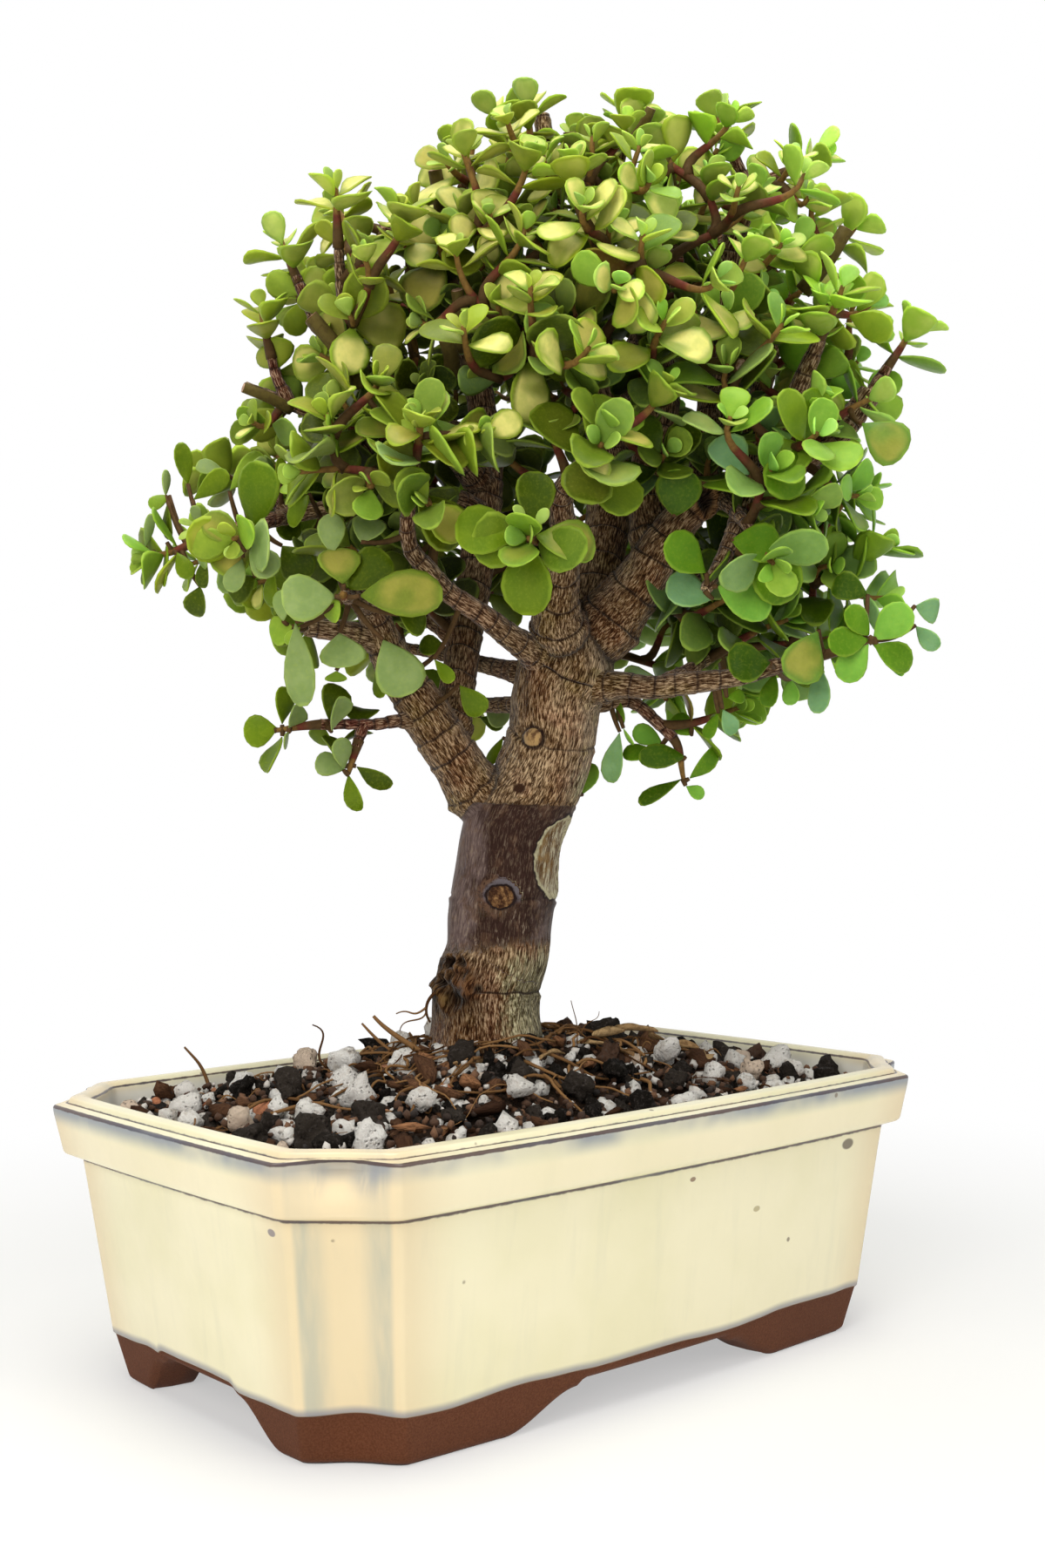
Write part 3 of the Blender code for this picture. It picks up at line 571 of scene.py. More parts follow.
def soleRows(arch, columns):
    # the sole's underside, from its eased inner edge outwards
    share = np.array([0.0, 0.5, 0.92, 1.0])[:, None]
    ends = zip(potForm["soleInner"], potForm["soleOuter"])
    inset, cut = (inner + (outer - inner) * share for inner, outer in ends)
    return potPoints(inset, arch + 0.35 * (share < 0.05), cut, columns, hollowAt(0.0))


def rimRows(columns):
    # the belt, lip and inside, with how far each row is past the lip's outer edge and how thin its glaze is
    level, insets, cuts = np.array(potForm["wall"]).T
    start = potForm["rimStart"]
    first = (np.interp(start, level, insets), start, np.interp(start, level, cuts))
    path = roundedPath((first,) + potForm["rim"])
    inset, height, cut = path.T
    overLip = np.arange(len(path)) >= np.argmax(height > potForm["lipFrom"])
    hollow = np.where(overLip, np.interp(inset, *np.array(potForm["lipHollow"]).T), hollowAt(height))
    rows = potPoints(inset[:, None], height[:, None], cut[:, None], columns, hollow[:, None])
    along = lengthsAlong(path[:, :2])
    edges = potForm["burntEdges"]
    past = [along - along[np.argmin(np.hypot(inset - edge[0], height - edge[1]))] for edge in edges]
    thin = [strength * bump(away, width) for (_, _, strength, width), away in zip(edges, past)]
    return rows, past[0], np.max(thin, axis=0)


def fromCorners(columns):
    # how far each column is from its nearest corner, along the sides: above 0 on the long ones
    signs = np.array([(1, -1), (1, 1), (-1, 1), (-1, -1)])
    outline = potPoints(0.2, 66.0, 17.5, columns)[:, :2]
    offset = outline[:, None] - (signs * (potForm["length"] / 2 - 8.0, potForm["width"] / 2 - 8.0))[None]
    nearest = np.argmin(np.linalg.norm(offset, axis=-1), axis=1)
    return np.sum(offset[np.arange(len(columns)), nearest] * signs[nearest] * (1, -1), -1)


def makePot():
    # rows of the outline from the recess under the floor, round the sole, up the wall, over the lip and
    # down inside
    columns = potColumns()
    foot, arch, base, overLine = footRows(columns)
    under = np.concatenate([potPoints(*potForm["recess"], columns)[None], soleRows(arch, columns)])
    levels = np.linspace(potForm["blendHeight"], potForm["beltHeight"], 7)[1:-1]
    rim, pastLip, thinRim = rimRows(columns)
    rows = np.concatenate([under, foot, wallRows(levels, columns), rim])
    # the paint reads how far each point is from a corner, past the lip and above the glaze line
    lip = potForm["lipHeight"]
    up = np.concatenate([np.full(len(under), -75.0), base - lip, levels - lip, pastLip])
    glazed = np.full(rows.shape[:2], 40.0)
    glazed[:len(under)] = -5.0
    glazed[len(under):len(under) + len(foot)] = overLine
    place = np.stack(np.broadcast_arrays(fromCorners(columns), up[:, None], glazed), -1)
    thin = np.concatenate([np.zeros(len(rows) - len(rim)), thinRim])
    shells = [(rows, place, np.broadcast_to(thin[:, None], glazed.shape))]
    low, high = potForm["recess"][1], potForm["floorTop"]
    middle = (low + high) / 2
    for ring, height, drainLevels in ((rows[0], low, (middle,)), (rows[-1], high, (low, middle))):
        for half in potFloor(ring, height, drainLevels):
            shells.append((half, np.full(half.shape, (60.0, -75.0, -5.0)), np.zeros(half.shape[:2])))
    faces = []
    used = 0
    for shell, _, _ in shells:
        quads = gridFaces(*shell.shape[:2]) + used
        faces.append(quads[:, ::-1] if used else quads)
        used += shell[..., 0].size
    points, place = (np.concatenate([shell[k].reshape(-1, 3) for shell in shells]) for k in (0, 1))
    thin = np.concatenate([shell[2].ravel() for shell in shells])
    pot = makePiece("potBody", points, faces, potPaint(), "glaze", {"potPlace": place, "thinGlaze": thin},
        ("pot",))
    closeSeams(pot)


def closeSeams(piece, gap=0.02):
    # joins points that lie on each other, and turns every face outwards
    form = bmesh.new()
    form.from_mesh(piece.data)
    bmesh.ops.remove_doubles(form, verts=form.verts, dist=gap * mm)
    bmesh.ops.recalc_face_normals(form, faces=form.faces)
    form.to_mesh(piece.data)
    form.free()
    piece.data.shade_smooth()


makePot()
print("pot made")


# Soil

soilForm = {
    "edge": 66.5,
    "crown": 82.0,
    "crownPower": 1.25,
    "inset": 10.2,
    "cut": 12.7,
    "collar": 16.9,
    "sunk": 1.7,  # the fine bed lies this far below the tops of the grains' layer
    "bottom": 20.6,
    "columns": 180,
}
treeTurn = math.radians(-40.5)
treeAxes = np.array([(math.cos(treeTurn), math.sin(treeTurn), 0),
                     (-math.sin(treeTurn), math.cos(treeTurn), 0),
                     (0, 0, 1)])  # across, back and up of the tree, in the pot's axes
# radius from and to, half sides of the box each is cut from, further cuts, how deep the dents are
grainKinds = {
    "pumice": {"piece": "pumiceGrains", "slot": "pumice", "count": 360, "radius": (1.4, 3.3),
               "box": (1.0, 0.85, 0.8), "cuts": 8, "sharp": 6, "dent": 0.26, "lean": 3.0, "seed": 11,
               "stands": ("pumice_1", "pumice_2", "pumice_3", "pumice_4", "pumice_5")},
    "lava": {"piece": "lavaGrains", "slot": "lava", "count": 390, "radius": (1.3, 3.2),
             "box": (1.0, 0.9, 0.85), "cuts": 8, "sharp": 6, "dent": 0.46, "lean": 3.0, "seed": 12,
             "stands": ("lava_1", "lava_2", "lava_3")},
    "bark_chip": {"piece": "barkChips", "slot": "bark_chip", "count": 330, "radius": (1.8, 4.0),
                  "box": (1.5, 0.58, 0.30), "cuts": 3, "sharp": 12, "dent": 0.14, "lean": 0.7, "seed": 13,
                  "stands": ("bark_chip_1", "bark_chip_2")},
    "clay": {"piece": "clayBits", "slot": "bark_chip", "count": 44, "radius": (1.5, 2.7),
             "box": (1.0, 0.8, 0.55), "cuts": 4, "sharp": 10, "dent": 0.08, "lean": 3.0, "seed": 14,
             "stands": ()},
}
# shader colours, two between which each kind's grains lie and those of its stains and fibres; the pumice's
# shade and pore colours are painted shade in its hollows and pores
grainTones = {
    "pumice": (0.88, 0.84, 0.78),
    "pumiceWhite": (0.98, 0.95, 0.89),
    "pumiceTan": (0.78, 0.62, 0.48),
    "pumiceStain": (0.4, 0.3, 0.2),
    "pumiceShade": (0.62, 0.51, 0.42),
    "pumicePoreShade": (0.27, 0.23, 0.2),
    "lava": (0.011, 0.009, 0.007),
    "lavaBrown": (0.05, 0.04, 0.032),
    "lavaRed": (0.1, 0.055, 0.035),
    "lavaDust": (0.12, 0.1, 0.09),
    "clay": (0.42, 0.15, 0.07),
    "clayLight": (0.60, 0.30, 0.17),
    "clayDark": (0.25, 0.09, 0.05),
    "bark": (0.045, 0.022, 0.013),
    "barkLight": (0.16, 0.078, 0.04),
    "barkFresh": (0.38, 0.18, 0.085),
    "barkFibre": (0.03, 0.014, 0.009),
}
grit = {  # the larger grains, one to each cell of a shaken grid, as the soil's solid has them
    "cell": (16.0, 14.0),
    "rows": 4,
    "columns": 6,
    "shake": 1.8,
    "radius": (3.6, 4.8),
    "squash": (0.75, 1.0),
    "lift": 0.3,
    "kindShares": (0.44, 0.36, 0.20),  # of pumice, lava and bark
    "wallGap": 1.6,
    "trunkGap": 3.5,
    "grainGap": 11.0,
    "seed": 7,
}
looseGrains = {  # the grains with solids of their own: x, y, radius, squash
    "pumice": ((-52, -34, 4.4, 0.8), (-26, -38, 4.0, 0.8), (34, -30, 4.2, 0.75), (58, 26, 4.3, 0.8),
               (-40, 34, 4.0, 0.8)),
    "lava": ((-62, 8, 4.0, 0.85), (6, -38, 4.2, 0.8), (44, 2, 4.4, 0.85)),
    "bark_chip": ((-36, -14, 5.0, 0.4), (26, 30, 5.2, 0.4)),
}
fineGrains = {"count": 2100, "radius": (0.5, 1.5), "within": (100, 66), "box": (1.0, 0.8, 0.6),
              "cuts": 3, "sharp": 8, "dent": 0.15, "seed": 15}
# rows and columns of the few large grains, of the many smaller ones and of the crumbs
grainMesh = {"large": (11, 18), "small": (5, 9), "fine": (2, 6)}


def intoPot(points):
    # a point (across, back, up) of the tree's frame, in the pot's frame
    return np.asarray(points, float) @ treeAxes


trunkFoot = intoPot((-3.0, 0.0, 0.0))[:2]  # where the trunk stands in the soil
soilEdge = potPoints(soilForm["inset"], soilForm["edge"], soilForm["cut"], potColumns())
soilEdge = soilEdge[np.argsort(np.arctan2(soilEdge[:, 1], soilEdge[:, 0]))]


def soilReach(turn):
    # how far the soil's edge is from the middle at that angle
    return np.interp(turn, np.arctan2(soilEdge[:, 1], soilEdge[:, 0]),
        np.hypot(soilEdge[:, 0], soilEdge[:, 1]), period=math.tau)


def soilShare(x, y):
    # 0 beside the trunk and 1 at the pot's wall, along a ray from the middle
    collar = soilForm["collar"]
    return (np.hypot(x, y) - collar) / (soilReach(np.arctan2(y, x)) - collar)


def moundHeight(x, y):
    # edge + (crown - edge) (1 - share)^power
    share = np.clip(soilShare(x, y), 0, 1)
    return (soilForm["edge"]
        + (soilForm["crown"] - soilForm["edge"]) * (1 - share) ** soilForm["crownPower"])


def soilPaint():
    paint = Paint("fineSoil", Roughness=0.95, Specular_IOR_Level=0.05)
    speck = paint.noise(1.6, 4, 0.7)
    colour = paint.mix(speck.ramp(0.35, 0.7), (0.012, 0.009, 0.007), (0.055, 0.032, 0.02))
    paint.relief(speck, 0.8)
    return paint.finish(colour)


def makeSoil():
    # rings scaled in from the pot's outline over the mound, closed by a flat bottom below
    columns = soilForm["columns"]
    turn = np.linspace(-math.pi, math.pi, columns, endpoint=False)
    edge = np.stack([np.cos(turn), np.sin(turn)], -1)
    reach = soilReach(turn)
    low = np.full((columns, 1), soilForm["bottom"])
    rings = [np.concatenate([edge * (reach * share)[:, None], low], -1) for share in (0.3, 0.84)]
    for share in np.concatenate([[1.0], np.linspace(0.995, 0.04, 44)]):
        flat = edge * (reach * share)[:, None]
        height = moundHeight(flat[:, 0], flat[:, 1]) - soilForm["sunk"]
        place = np.concatenate([flat, height[:, None]], -1)
        place[:, 2] += layeredNoise(place * (1, 1, 0), 5.0, 4) * 0.7 * (share < 0.99)
        rings.append(place)
    faces = podFaces(len(rings), columns)
    makePiece("soilBed", podPoints(np.array(rings)), faces, soilPaint(), "soil", None, ("soil",))


def gritPlaces():
    # every cell's grain that finds room between wall, trunk and loose grains: x, y, radius, squash
    luck = random.Random(grit["seed"])
    trunkRadius = soilForm["collar"] - 2.5
    loose = [grain[:2] for grains in looseGrains.values() for grain in grains]
    places = []
    for row in range(-grit["rows"], grit["rows"] + 1):
        for column in range(-grit["columns"], grit["columns"] + 1):
            x = (column + row % 2 / 2) * grit["cell"][0] + luck.uniform(-1, 1) * grit["shake"]
            y = row * grit["cell"][1] + luck.uniform(-1, 1) * grit["shake"]
            radius = luck.uniform(*grit["radius"])
            squash = luck.uniform(*grit["squash"])
            room = radius + grit["wallGap"]
            nearest = min(math.dist((x, y), place) for place in loose)
            if math.hypot(x, y) < trunkRadius + grit["trunkGap"] + radius or nearest < grit["grainGap"]:
                continue
            if max(soilShare(x + side, y + end) for side in (-room, room) for end in (-room, room)) < 1:
                places.append((x, y, radius, squash))
    return np.array(places)


def spreadOut(radius, luck, share, fixed, fixedRadius, rounds=70):
    # random places inside the pot, pushed apart and off the fixed grains and the trunk until few overlap
    half = np.array([potForm["length"], potForm["width"]]) / 2
    start = luck.uniform(-1, 1, (len(radius) * 3, 2)) * half
    start = start[soilShare(start[:, 0], start[:, 1]) < 0.98][:len(radius)]
    place = np.concatenate([fixed, start])
    every = np.concatenate([fixedRadius, radius])
    for _ in range(rounds):
        apart = place[:, None] - place[None]
        distance = np.linalg.norm(apart, axis=-1) + np.eye(len(place)) * 1e3 + 1e-6
        overlap = np.maximum((every[:, None] + every[None]) * share - distance, 0)
        place = place + (apart / distance[..., None] * overlap[..., None] * 0.35).sum(1)
        fromTrunk = place - trunkFoot
        gap = np.linalg.norm(fromTrunk, axis=-1) - every * 0.5 - 14.2
        place -= fromTrunk / np.linalg.norm(fromTrunk, axis=-1)[:, None] * np.minimum(gap, 0)[:, None]
        wall = soilShare(place[:, 0], place[:, 1]) + every * 0.9 / 60
        place *= np.where(wall > 1, 1 - (wall - 1) * 0.5, 1)[:, None]
        place[:len(fixed)] = fixed
    return place[len(fixed):]


def grainShapes(count, kind, rings, columns, luck):
    # a ball's rings, cut by a leaning box and random planes:
    # r = (sum of (direction . plane / depth)^sharp)^(-1 / sharp), then dented by noise
    tilt = np.linspace(0, math.pi, rings + 2)[1:-1]
    turn = np.linspace(0, math.tau, columns, endpoint=False)
    tilt, turn = np.meshgrid(tilt, turn, indexing="ij")
    ball = np.stack([np.sin(tilt) * np.cos(turn), np.sin(tilt) * np.sin(turn), -np.cos(tilt)], -1)
    ball = np.concatenate([ball.reshape(-1, 3), [(0, 0, -1), (0, 0, 1)]])
    box = np.concatenate([np.eye(3), -np.eye(3)])
    sides = unit(box[None] + luck.normal(0, 0.22, (count, 6, 3)))
    sideDepth = np.tile(kind["box"], 2)[None, :, None] * luck.uniform(0.72, 1.1, (count, 6, 1))
    cuts = unit(luck.normal(size=(count, kind["cuts"], 3)))
    reach = np.abs(cuts) @ np.array(kind["box"])
    cutDepth = reach[..., None] * luck.uniform(0.62, 0.95, (count, kind["cuts"], 1))
    planes = np.concatenate([sides / sideDepth, cuts / cutDepth], 1)
    facing = np.maximum(ball[None] @ np.swapaxes(planes, 1, 2), 0)
    radius = (facing ** kind["sharp"]).sum(-1) ** (-1 / kind["sharp"])
    form = ball[None] * np.clip(radius, 0.2, 1.7)[..., None]
    shift = luck.uniform(-500, 500, (count, 1, 3))
    dent = layeredNoise(form + shift, 0.75, 2, 2) + 0.6 * noise(form + shift, 0.34, 5)
    return form * (1 + kind["dent"] * dent)[..., None]


def turnsAbout(angle, first, second):
    # one turning matrix for each angle, in the plane of those two axes
    turn = np.tile(np.eye(3), (len(angle), 1, 1))
    turn[:, first, first] = turn[:, second, second] = np.cos(angle)
    turn[:, first, second] = -np.sin(angle)
    turn[:, second, first] = np.sin(angle)
    return turn


def turned(form, luck, lean):
    # each shape leant by a random angle up to the lean and spun about the upright
    count = len(form)
    spin = luck.uniform(0, math.tau, count)
    tip = luck.uniform(-1, 1, count) * lean
    axis = luck.uniform(0, math.tau, count)
    whole = turnsAbout(spin, 0, 1) @ turnsAbout(tip, 1, 2) @ turnsAbout(axis, 0, 1)
    return form @ np.swapaxes(whole, 1, 2)


def grainPaint(name):
    paint = Paint(name, Roughness=0.92, Specular_IOR_Level=0.05)
    luck = paint.attribute("grainLuck")
    if name == "pumice":
        pores, _ = paint.cells(0.8)
        speck = paint.noise(0.9, 5, 0.75)
        base = paint.mix(luck.ramp(0.1, 0.6), grainTones["pumice"], grainTones["pumiceWhite"])
        base = base.mix(luck.ramp(0.9, 0.94), grainTones["pumiceTan"])
        stain = paint.noise(0.3, 3, 0.6).ramp(0.52, 0.72, 0.0, 0.55)
        base = base.mix(stain, grainTones["pumiceStain"])
        # painted shade: the pumice is darker in its pores and in the low parts of its speckled surface
        dark = pores.ramp(0.06, 0.28, 1.0, 0.0) * speck.ramp(0.6, 0.4, 0.2, 0.8)
        base = base.mix(speck.ramp(0.46, 0.32, 0.0, 0.4), grainTones["pumiceShade"])
        colour = base.mix(dark, grainTones["pumicePoreShade"])
        paint.relief(speck * 1.4 + pores.ramp(0.0, 0.35), 0.9)
    elif name == "lava":
        pores, _ = paint.cells(0.7)
        speck = paint.noise(0.8, 5, 0.8)
        base = paint.mix(luck.ramp(0.2, 0.95), grainTones["lava"], grainTones["lavaBrown"])
        base = base.mix(luck.ramp(0.92, 0.95), grainTones["lavaRed"])
        colour = base.mix(speck.ramp(0.5, 0.7, 0.0, 0.7), grainTones["lavaDust"])
        paint.relief(speck * 1.5 + pores.ramp(0.0, 0.4), 1.0)
        paint.shader.inputs["Roughness"].default_value = 0.75
    elif name == "clay":
        speck = paint.noise(1.5, 3, 0.6)
        base = paint.mix(luck, grainTones["clay"], grainTones["clayLight"])
        colour = base.mix(speck.ramp(0.4, 0.7, 0.0, 0.5), grainTones["clayDark"])
        paint.relief(speck, 0.3)
    else:
        fibre = paint.noise(1.0, 4, 0.6,
            paint.scaled(paint.attribute("grainPlace", "Vector"), 0.35, 2.2, 3.0))
        base = paint.mix(luck.ramp(0.1, 0.75), grainTones["bark"], grainTones["barkLight"])
        base = base.mix(luck.ramp(0.78, 0.9), grainTones["barkFresh"])
        colour = base.mix(fibre.ramp(0.35, 0.7, 0.0, 0.75), grainTones["barkFibre"])
        paint.relief(fibre, 0.5)
    return paint.finish(colour)


def largeGrains(luck):
    # the grains that the solids have too, loose or in the soil: x, y, radius, height over the mound, kind
    names = list(grainKinds)
    loose = np.array([(x, y, radius, radius * squash * 0.85 + 0.6, names.index(kind))
        for kind, grains in looseGrains.items() for x, y, radius, squash in grains])
    packed = gritPlaces()
    kinds = luck.choice(3, len(packed), p=grit["kindShares"])
    return np.concatenate([loose, np.stack([*packed[:, :3].T, packed[:, 2] * grit["lift"], kinds], -1)])


def smallGrains(luck, fixed):
    # the ones spread among them, some on top of the first layer, in the same five columns
    kinds = np.repeat(np.arange(len(grainKinds)), [kind["count"] for kind in grainKinds.values()])
    luck.shuffle(kinds)
    count = len(kinds)
    least, most = np.array([kind["radius"] for kind in grainKinds.values()])[kinds].T
    radius = least + (most - least) * luck.uniform(0, 1, count) ** 1.3
    upper = luck.uniform(0, 1, count) < 0.17
    place = np.zeros((count, 2))
    for layer, share in ((~upper, 0.80), (upper, 1.3)):
        place[layer] = spreadOut(radius[layer], luck, share, fixed[:, :2], fixed[:, 2])
    lift = (np.where(upper, 0.85, 0.05) * radius + np.where(upper, 0.3, 0.0)
        + luck.uniform(-0.5, 0.4, count))
    return np.stack([*place.T, radius, lift - soilForm["sunk"], kinds], -1)


def makeGrains():
    # one piece for each kind, of large grains and of smaller ones with fewer faces
    luck = np.random.default_rng(7)
    fixed = largeGrains(luck)
    every = np.concatenate([fixed, smallGrains(luck, fixed)])
    large = np.arange(len(every)) < len(fixed)
    radius = every[:, 2] * np.where(large, 0.90, 1)
    x, y = every[:, :2].T
    centre = np.stack([x, y, moundHeight(x, y) + every[:, 3]], -1)
    for number, (name, kind) in enumerate(grainKinds.items()):
        chance = np.random.default_rng(kind["seed"])
        faces, grains, places, shades = [], [], [], []
        used = 0
        for group, (rings, columns) in ((large, grainMesh["large"]), (~large, grainMesh["small"])):
            mine = (every[:, 4] == number) & group
            count = mine.sum()
            if count == 0:
                continue
            stride = rings * columns + 2
            local = grainShapes(count, kind, rings, columns, chance) * radius[mine][:, None, None]
            grains.append((turned(local, chance, kind["lean"]) + centre[mine][:, None]).reshape(-1, 3))
            places.append(local.reshape(-1, 3))
            shades.append(np.repeat(chance.uniform(0, 1, count), stride))
            faces += [one + used for one in copies(podFaces(rings, columns), count, stride)]
            used += len(grains[-1])
        values = {"grainLuck": np.concatenate(shades), "grainPlace": np.concatenate(places)}
        points = np.concatenate(grains)
        makePiece(kind["piece"], points, faces, grainPaint(name), kind["slot"], values, kind["stands"])


def makeFines():
    # crumbs of the same kinds that fill the gaps between the grains
    count = fineGrains["count"]
    luck = np.random.default_rng(fineGrains["seed"])
    place = luck.uniform(-1, 1, (count * 3, 2)) * fineGrains["within"]
    share = soilShare(place[:, 0], place[:, 1])
    place = place[(share < 0.97) & (share > -0.1)][:count]
    count = len(place)
    radius = luck.uniform(*fineGrains["radius"], count)
    height = moundHeight(place[:, 0], place[:, 1]) + luck.uniform(-1.4, 1.6, count)
    rings, columns = grainMesh["fine"]
    form = grainShapes(count, fineGrains, rings, columns, luck) * radius[:, None, None]
    grains = turned(form, luck, 3.0) + np.concatenate([place, height[:, None]], -1)[:, None]
    shade = np.repeat(luck.uniform(0, 1, count), rings * columns + 2)
    paint = Paint("crumbs", Roughness=0.9)
    pick = paint.attribute("grainLuck")
    colour = paint.mix(pick.ramp(0.0, 0.35), (0.02, 0.016, 0.014), (0.07, 0.035, 0.02))
    colour = colour.mix(pick.ramp(0.62, 0.7), (0.17, 0.085, 0.045))
    colour = colour.mix(pick.ramp(0.84, 0.87), (0.62, 0.58, 0.53))
    paint.relief(paint.noise(2.0, 3, 0.6), 0.3)
    makePiece("soilCrumbs", grains, copies(podFaces(rings, columns), count, rings * columns + 2),
        paint.finish(colour), "soil", {"grainLuck": shade})


def tubeRings(paths, radius, columns):
    # circles square to each path (..., points, 3), in frames carried from a fixed sideways direction
    ahead = unit(np.gradient(paths, axis=-2))
    helper = np.eye(3)[np.argmin(np.abs(ahead.mean(-2)), -1)]
    side = unit(np.cross(ahead, helper[..., None, :]))
    other = np.cross(ahead, side)
    turn = np.linspace(0, math.tau, columns, endpoint=False)
    circle = np.cos(turn)[:, None] * side[..., None, :] + np.sin(turn)[:, None] * other[..., None, :]
    return paths[..., None, :] + circle * radius[..., None, None]


rootForm = {"count": 170, "points": 16, "columns": 6, "length": (12.0, 46.0), "radius": (0.16, 0.52),
            "spread": (30, 22), "trunkGap": 15, "seed": 21}
# rootlets of the burl and dry twigs that stick out of the soil, in the tree's frame: points, radius
strayTwigs = (
    (((-15, -9, 96), (-17.5, -10, 95), (-19, -11, 92), (-18, -11, 88)), 0.55),
    (((-19, -11, 92), (-22, -12, 90.5), (-24, -12, 91), (-27, -12, 90.5)), 0.3),
    (((-19, -11, 91), (-21, -12, 89), (-24, -13, 88.5), (-26, -13, 86)), 0.25),
    (((-20, -12, 80), (-26, -12, 84), (-30, -12, 87), (-33, -12, 90)), 0.8),
    (((-26, -14, 79), (-31, -13, 83), (-34, -13, 86), (-36, -12, 88)), 0.5),
    (((21, -8, 80), (21, -8, 86), (20.5, -8, 89), (19.5, -8, 93)), 0.18),
    (((22, -8, 84), (24, -8, 87), (26, -8, 88), (27, -8, 90)), 0.14),
    (((-46, -8, 76), (-48, -7, 80), (-47, -6, 84), (-50, -5, 87)), 0.35),
    (((-78, -4, 70), (-80, -3, 75), (-82, -3, 78), (-85, -2, 81)), 0.5),
)
# curled dry husks: middle in the tree's frame, length, half width
husks = ((30, 4, 82.5, 12, 2.4), (37, 8, 82.5, 14, 2.2), (44, 6, 80.5, 11, 2.5), (25, -6, 81, 10, 1.8),
         (50, 2, 78.5, 9, 2.0), (-24, 2, 81.5, 10, 1.8), (-31, -4, 79.5, 11, 2.0), (14, -22, 80, 12, 1.6),
         (-6, -25, 79.5, 13, 1.5), (33, -12, 79, 9, 1.7), (56, -4, 77, 9, 1.8), (2, 24, 81, 12, 2.0))


def makeRoots():
    # thin roots that wander over the soil, most of them near the trunk, each on a path turned by noise
    luck = np.random.default_rng(rootForm["seed"])
    count, steps, columns = rootForm["count"], rootForm["points"], rootForm["columns"]
    length = luck.uniform(*rootForm["length"], count)
    start = trunkFoot + luck.normal(size=(count, 2)) * rootForm["spread"]
    away = np.linalg.norm(start - trunkFoot, axis=-1)
    start = start[(away > rootForm["trunkGap"]) & (soilShare(start[:, 0], start[:, 1]) < 0.85)]
    count = len(start)
    heading = (luck.uniform(0, math.tau, (count, 1))
        + np.cumsum(luck.normal(0, 0.33, (count, steps)), axis=1))
    step = (length[:count] / steps)[:, None, None] * np.stack([np.cos(heading), np.sin(heading)], -1)
    flat = start[:, None] + np.cumsum(step, axis=1)
    inside = soilShare(flat[..., 0], flat[..., 1])
    flat *= np.where(inside > 0.93, 0.93 / np.maximum(inside, 0.93), 1)[..., None]
    along = np.linspace(0, 1, steps)
    arch = (np.sin(along * math.pi * luck.uniform(1.0, 3.2, (count, 1)))
        * luck.uniform(0.3, 2.2, (count, 1)))
    height = moundHeight(flat[..., 0], flat[..., 1]) + 1.3 + arch
    paths = np.concatenate([flat, height[..., None]], -1)
    radius = luck.uniform(*rootForm["radius"], (count, 1)) * (1.05 - 0.6 * along)
    # the stray ones are cubic curves through four points each
    stations = np.array([points for points, _ in strayTwigs], float)
    thick = np.array([radius for _, radius in strayTwigs])[:, None] * (1.1 - 0.5 * along)
    at = np.linspace(0, 1, 4)
    smooth = [[np.polyval(np.polyfit(at, twig[:, k], 3), along) for k in range(3)] for twig in stations]
    paths = np.concatenate([paths, intoPot(np.swapaxes(smooth, 1, 2))])
    rings = tubeRings(paths, np.concatenate([radius, thick]), columns)
    paint = Paint("drySoilRoots", Roughness=0.8, Specular_IOR_Level=0.06)
    colour = paint.mix(paint.attribute("grainLuck"), (0.075, 0.033, 0.013), (0.29, 0.155, 0.062))
    paint.relief(paint.noise(1.5, 3, 0.6), 0.2)
    stride = steps * columns + 2
    makePiece("looseRoots", podPoints(rings), copies(podFaces(steps, columns), len(paths), stride),
        paint.finish(colour), "bark_chip",
        {"grainLuck": np.repeat(luck.uniform(0, 1, len(paths)), stride)})


def makeHusks():
    # flat strips that bend along their length, curl across it and twist
    luck = np.random.default_rng(23)
    form = np.array(husks, float)
    count = len(form)
    t = np.linspace(-0.5, 0.5, 14)[None, :, None]
    across = np.concatenate([np.linspace(-1, 1, 7), np.linspace(1, -1, 7)])[None, None]
    depth = np.repeat((0.16, -0.16), 7)[None, None]
    length, half = form[:, 3][:, None, None], form[:, 4][:, None, None]
    curl = luck.uniform(0.8, 1.9, (count, 1, 1))
    bow = luck.uniform(-0.5, 0.9, (count, 1, 1))
    wide = (half * np.sqrt(np.clip(1 - (2 * np.abs(t)) ** 2.4, 0.02, 1))
        * (1 + 0.15 * np.sin(9 * t + curl * 5)))
    turn = across * curl
    x = t * length
    y = (wide / curl - depth) * np.sin(turn)
    z = (wide / curl - depth) * (1 - np.cos(turn)) + bow * (0.25 - t ** 2) * length * 0.5
    twist = luck.uniform(-1.4, 1.4, (count, 1, 1)) * t + luck.uniform(-0.9, 0.9, (count, 1, 1))
    y, z = y * np.cos(twist) - z * np.sin(twist), y * np.sin(twist) + z * np.cos(twist)
    spin = luck.uniform(0, math.tau, (count, 1, 1))
    x, y = x * np.cos(spin) - y * np.sin(spin), x * np.sin(spin) + y * np.cos(spin)
    rings = np.stack(np.broadcast_arrays(x, y, z), -1) + form[:, None, None, :3]
    points = podPoints(rings)
    paint = Paint("dryHusk", Roughness=0.8, Specular_IOR_Level=0.06)
    fibre = paint.noise(0.9, 4, 0.65)
    colour = paint.mix(paint.attribute("grainLuck"), (0.20, 0.105, 0.042), (0.52, 0.35, 0.17))
    colour = colour.mix(fibre.ramp(0.4, 0.65, 0.0, 0.6), (0.09, 0.042, 0.018))
    paint.relief(fibre, 0.4)
    stride = points.shape[1]
    makePiece("dryHusks", intoPot(points), copies(podFaces(14, 14), count, stride), paint.finish(colour),
        "bark_chip", {"grainLuck": np.repeat(luck.uniform(0, 1, count), stride)})


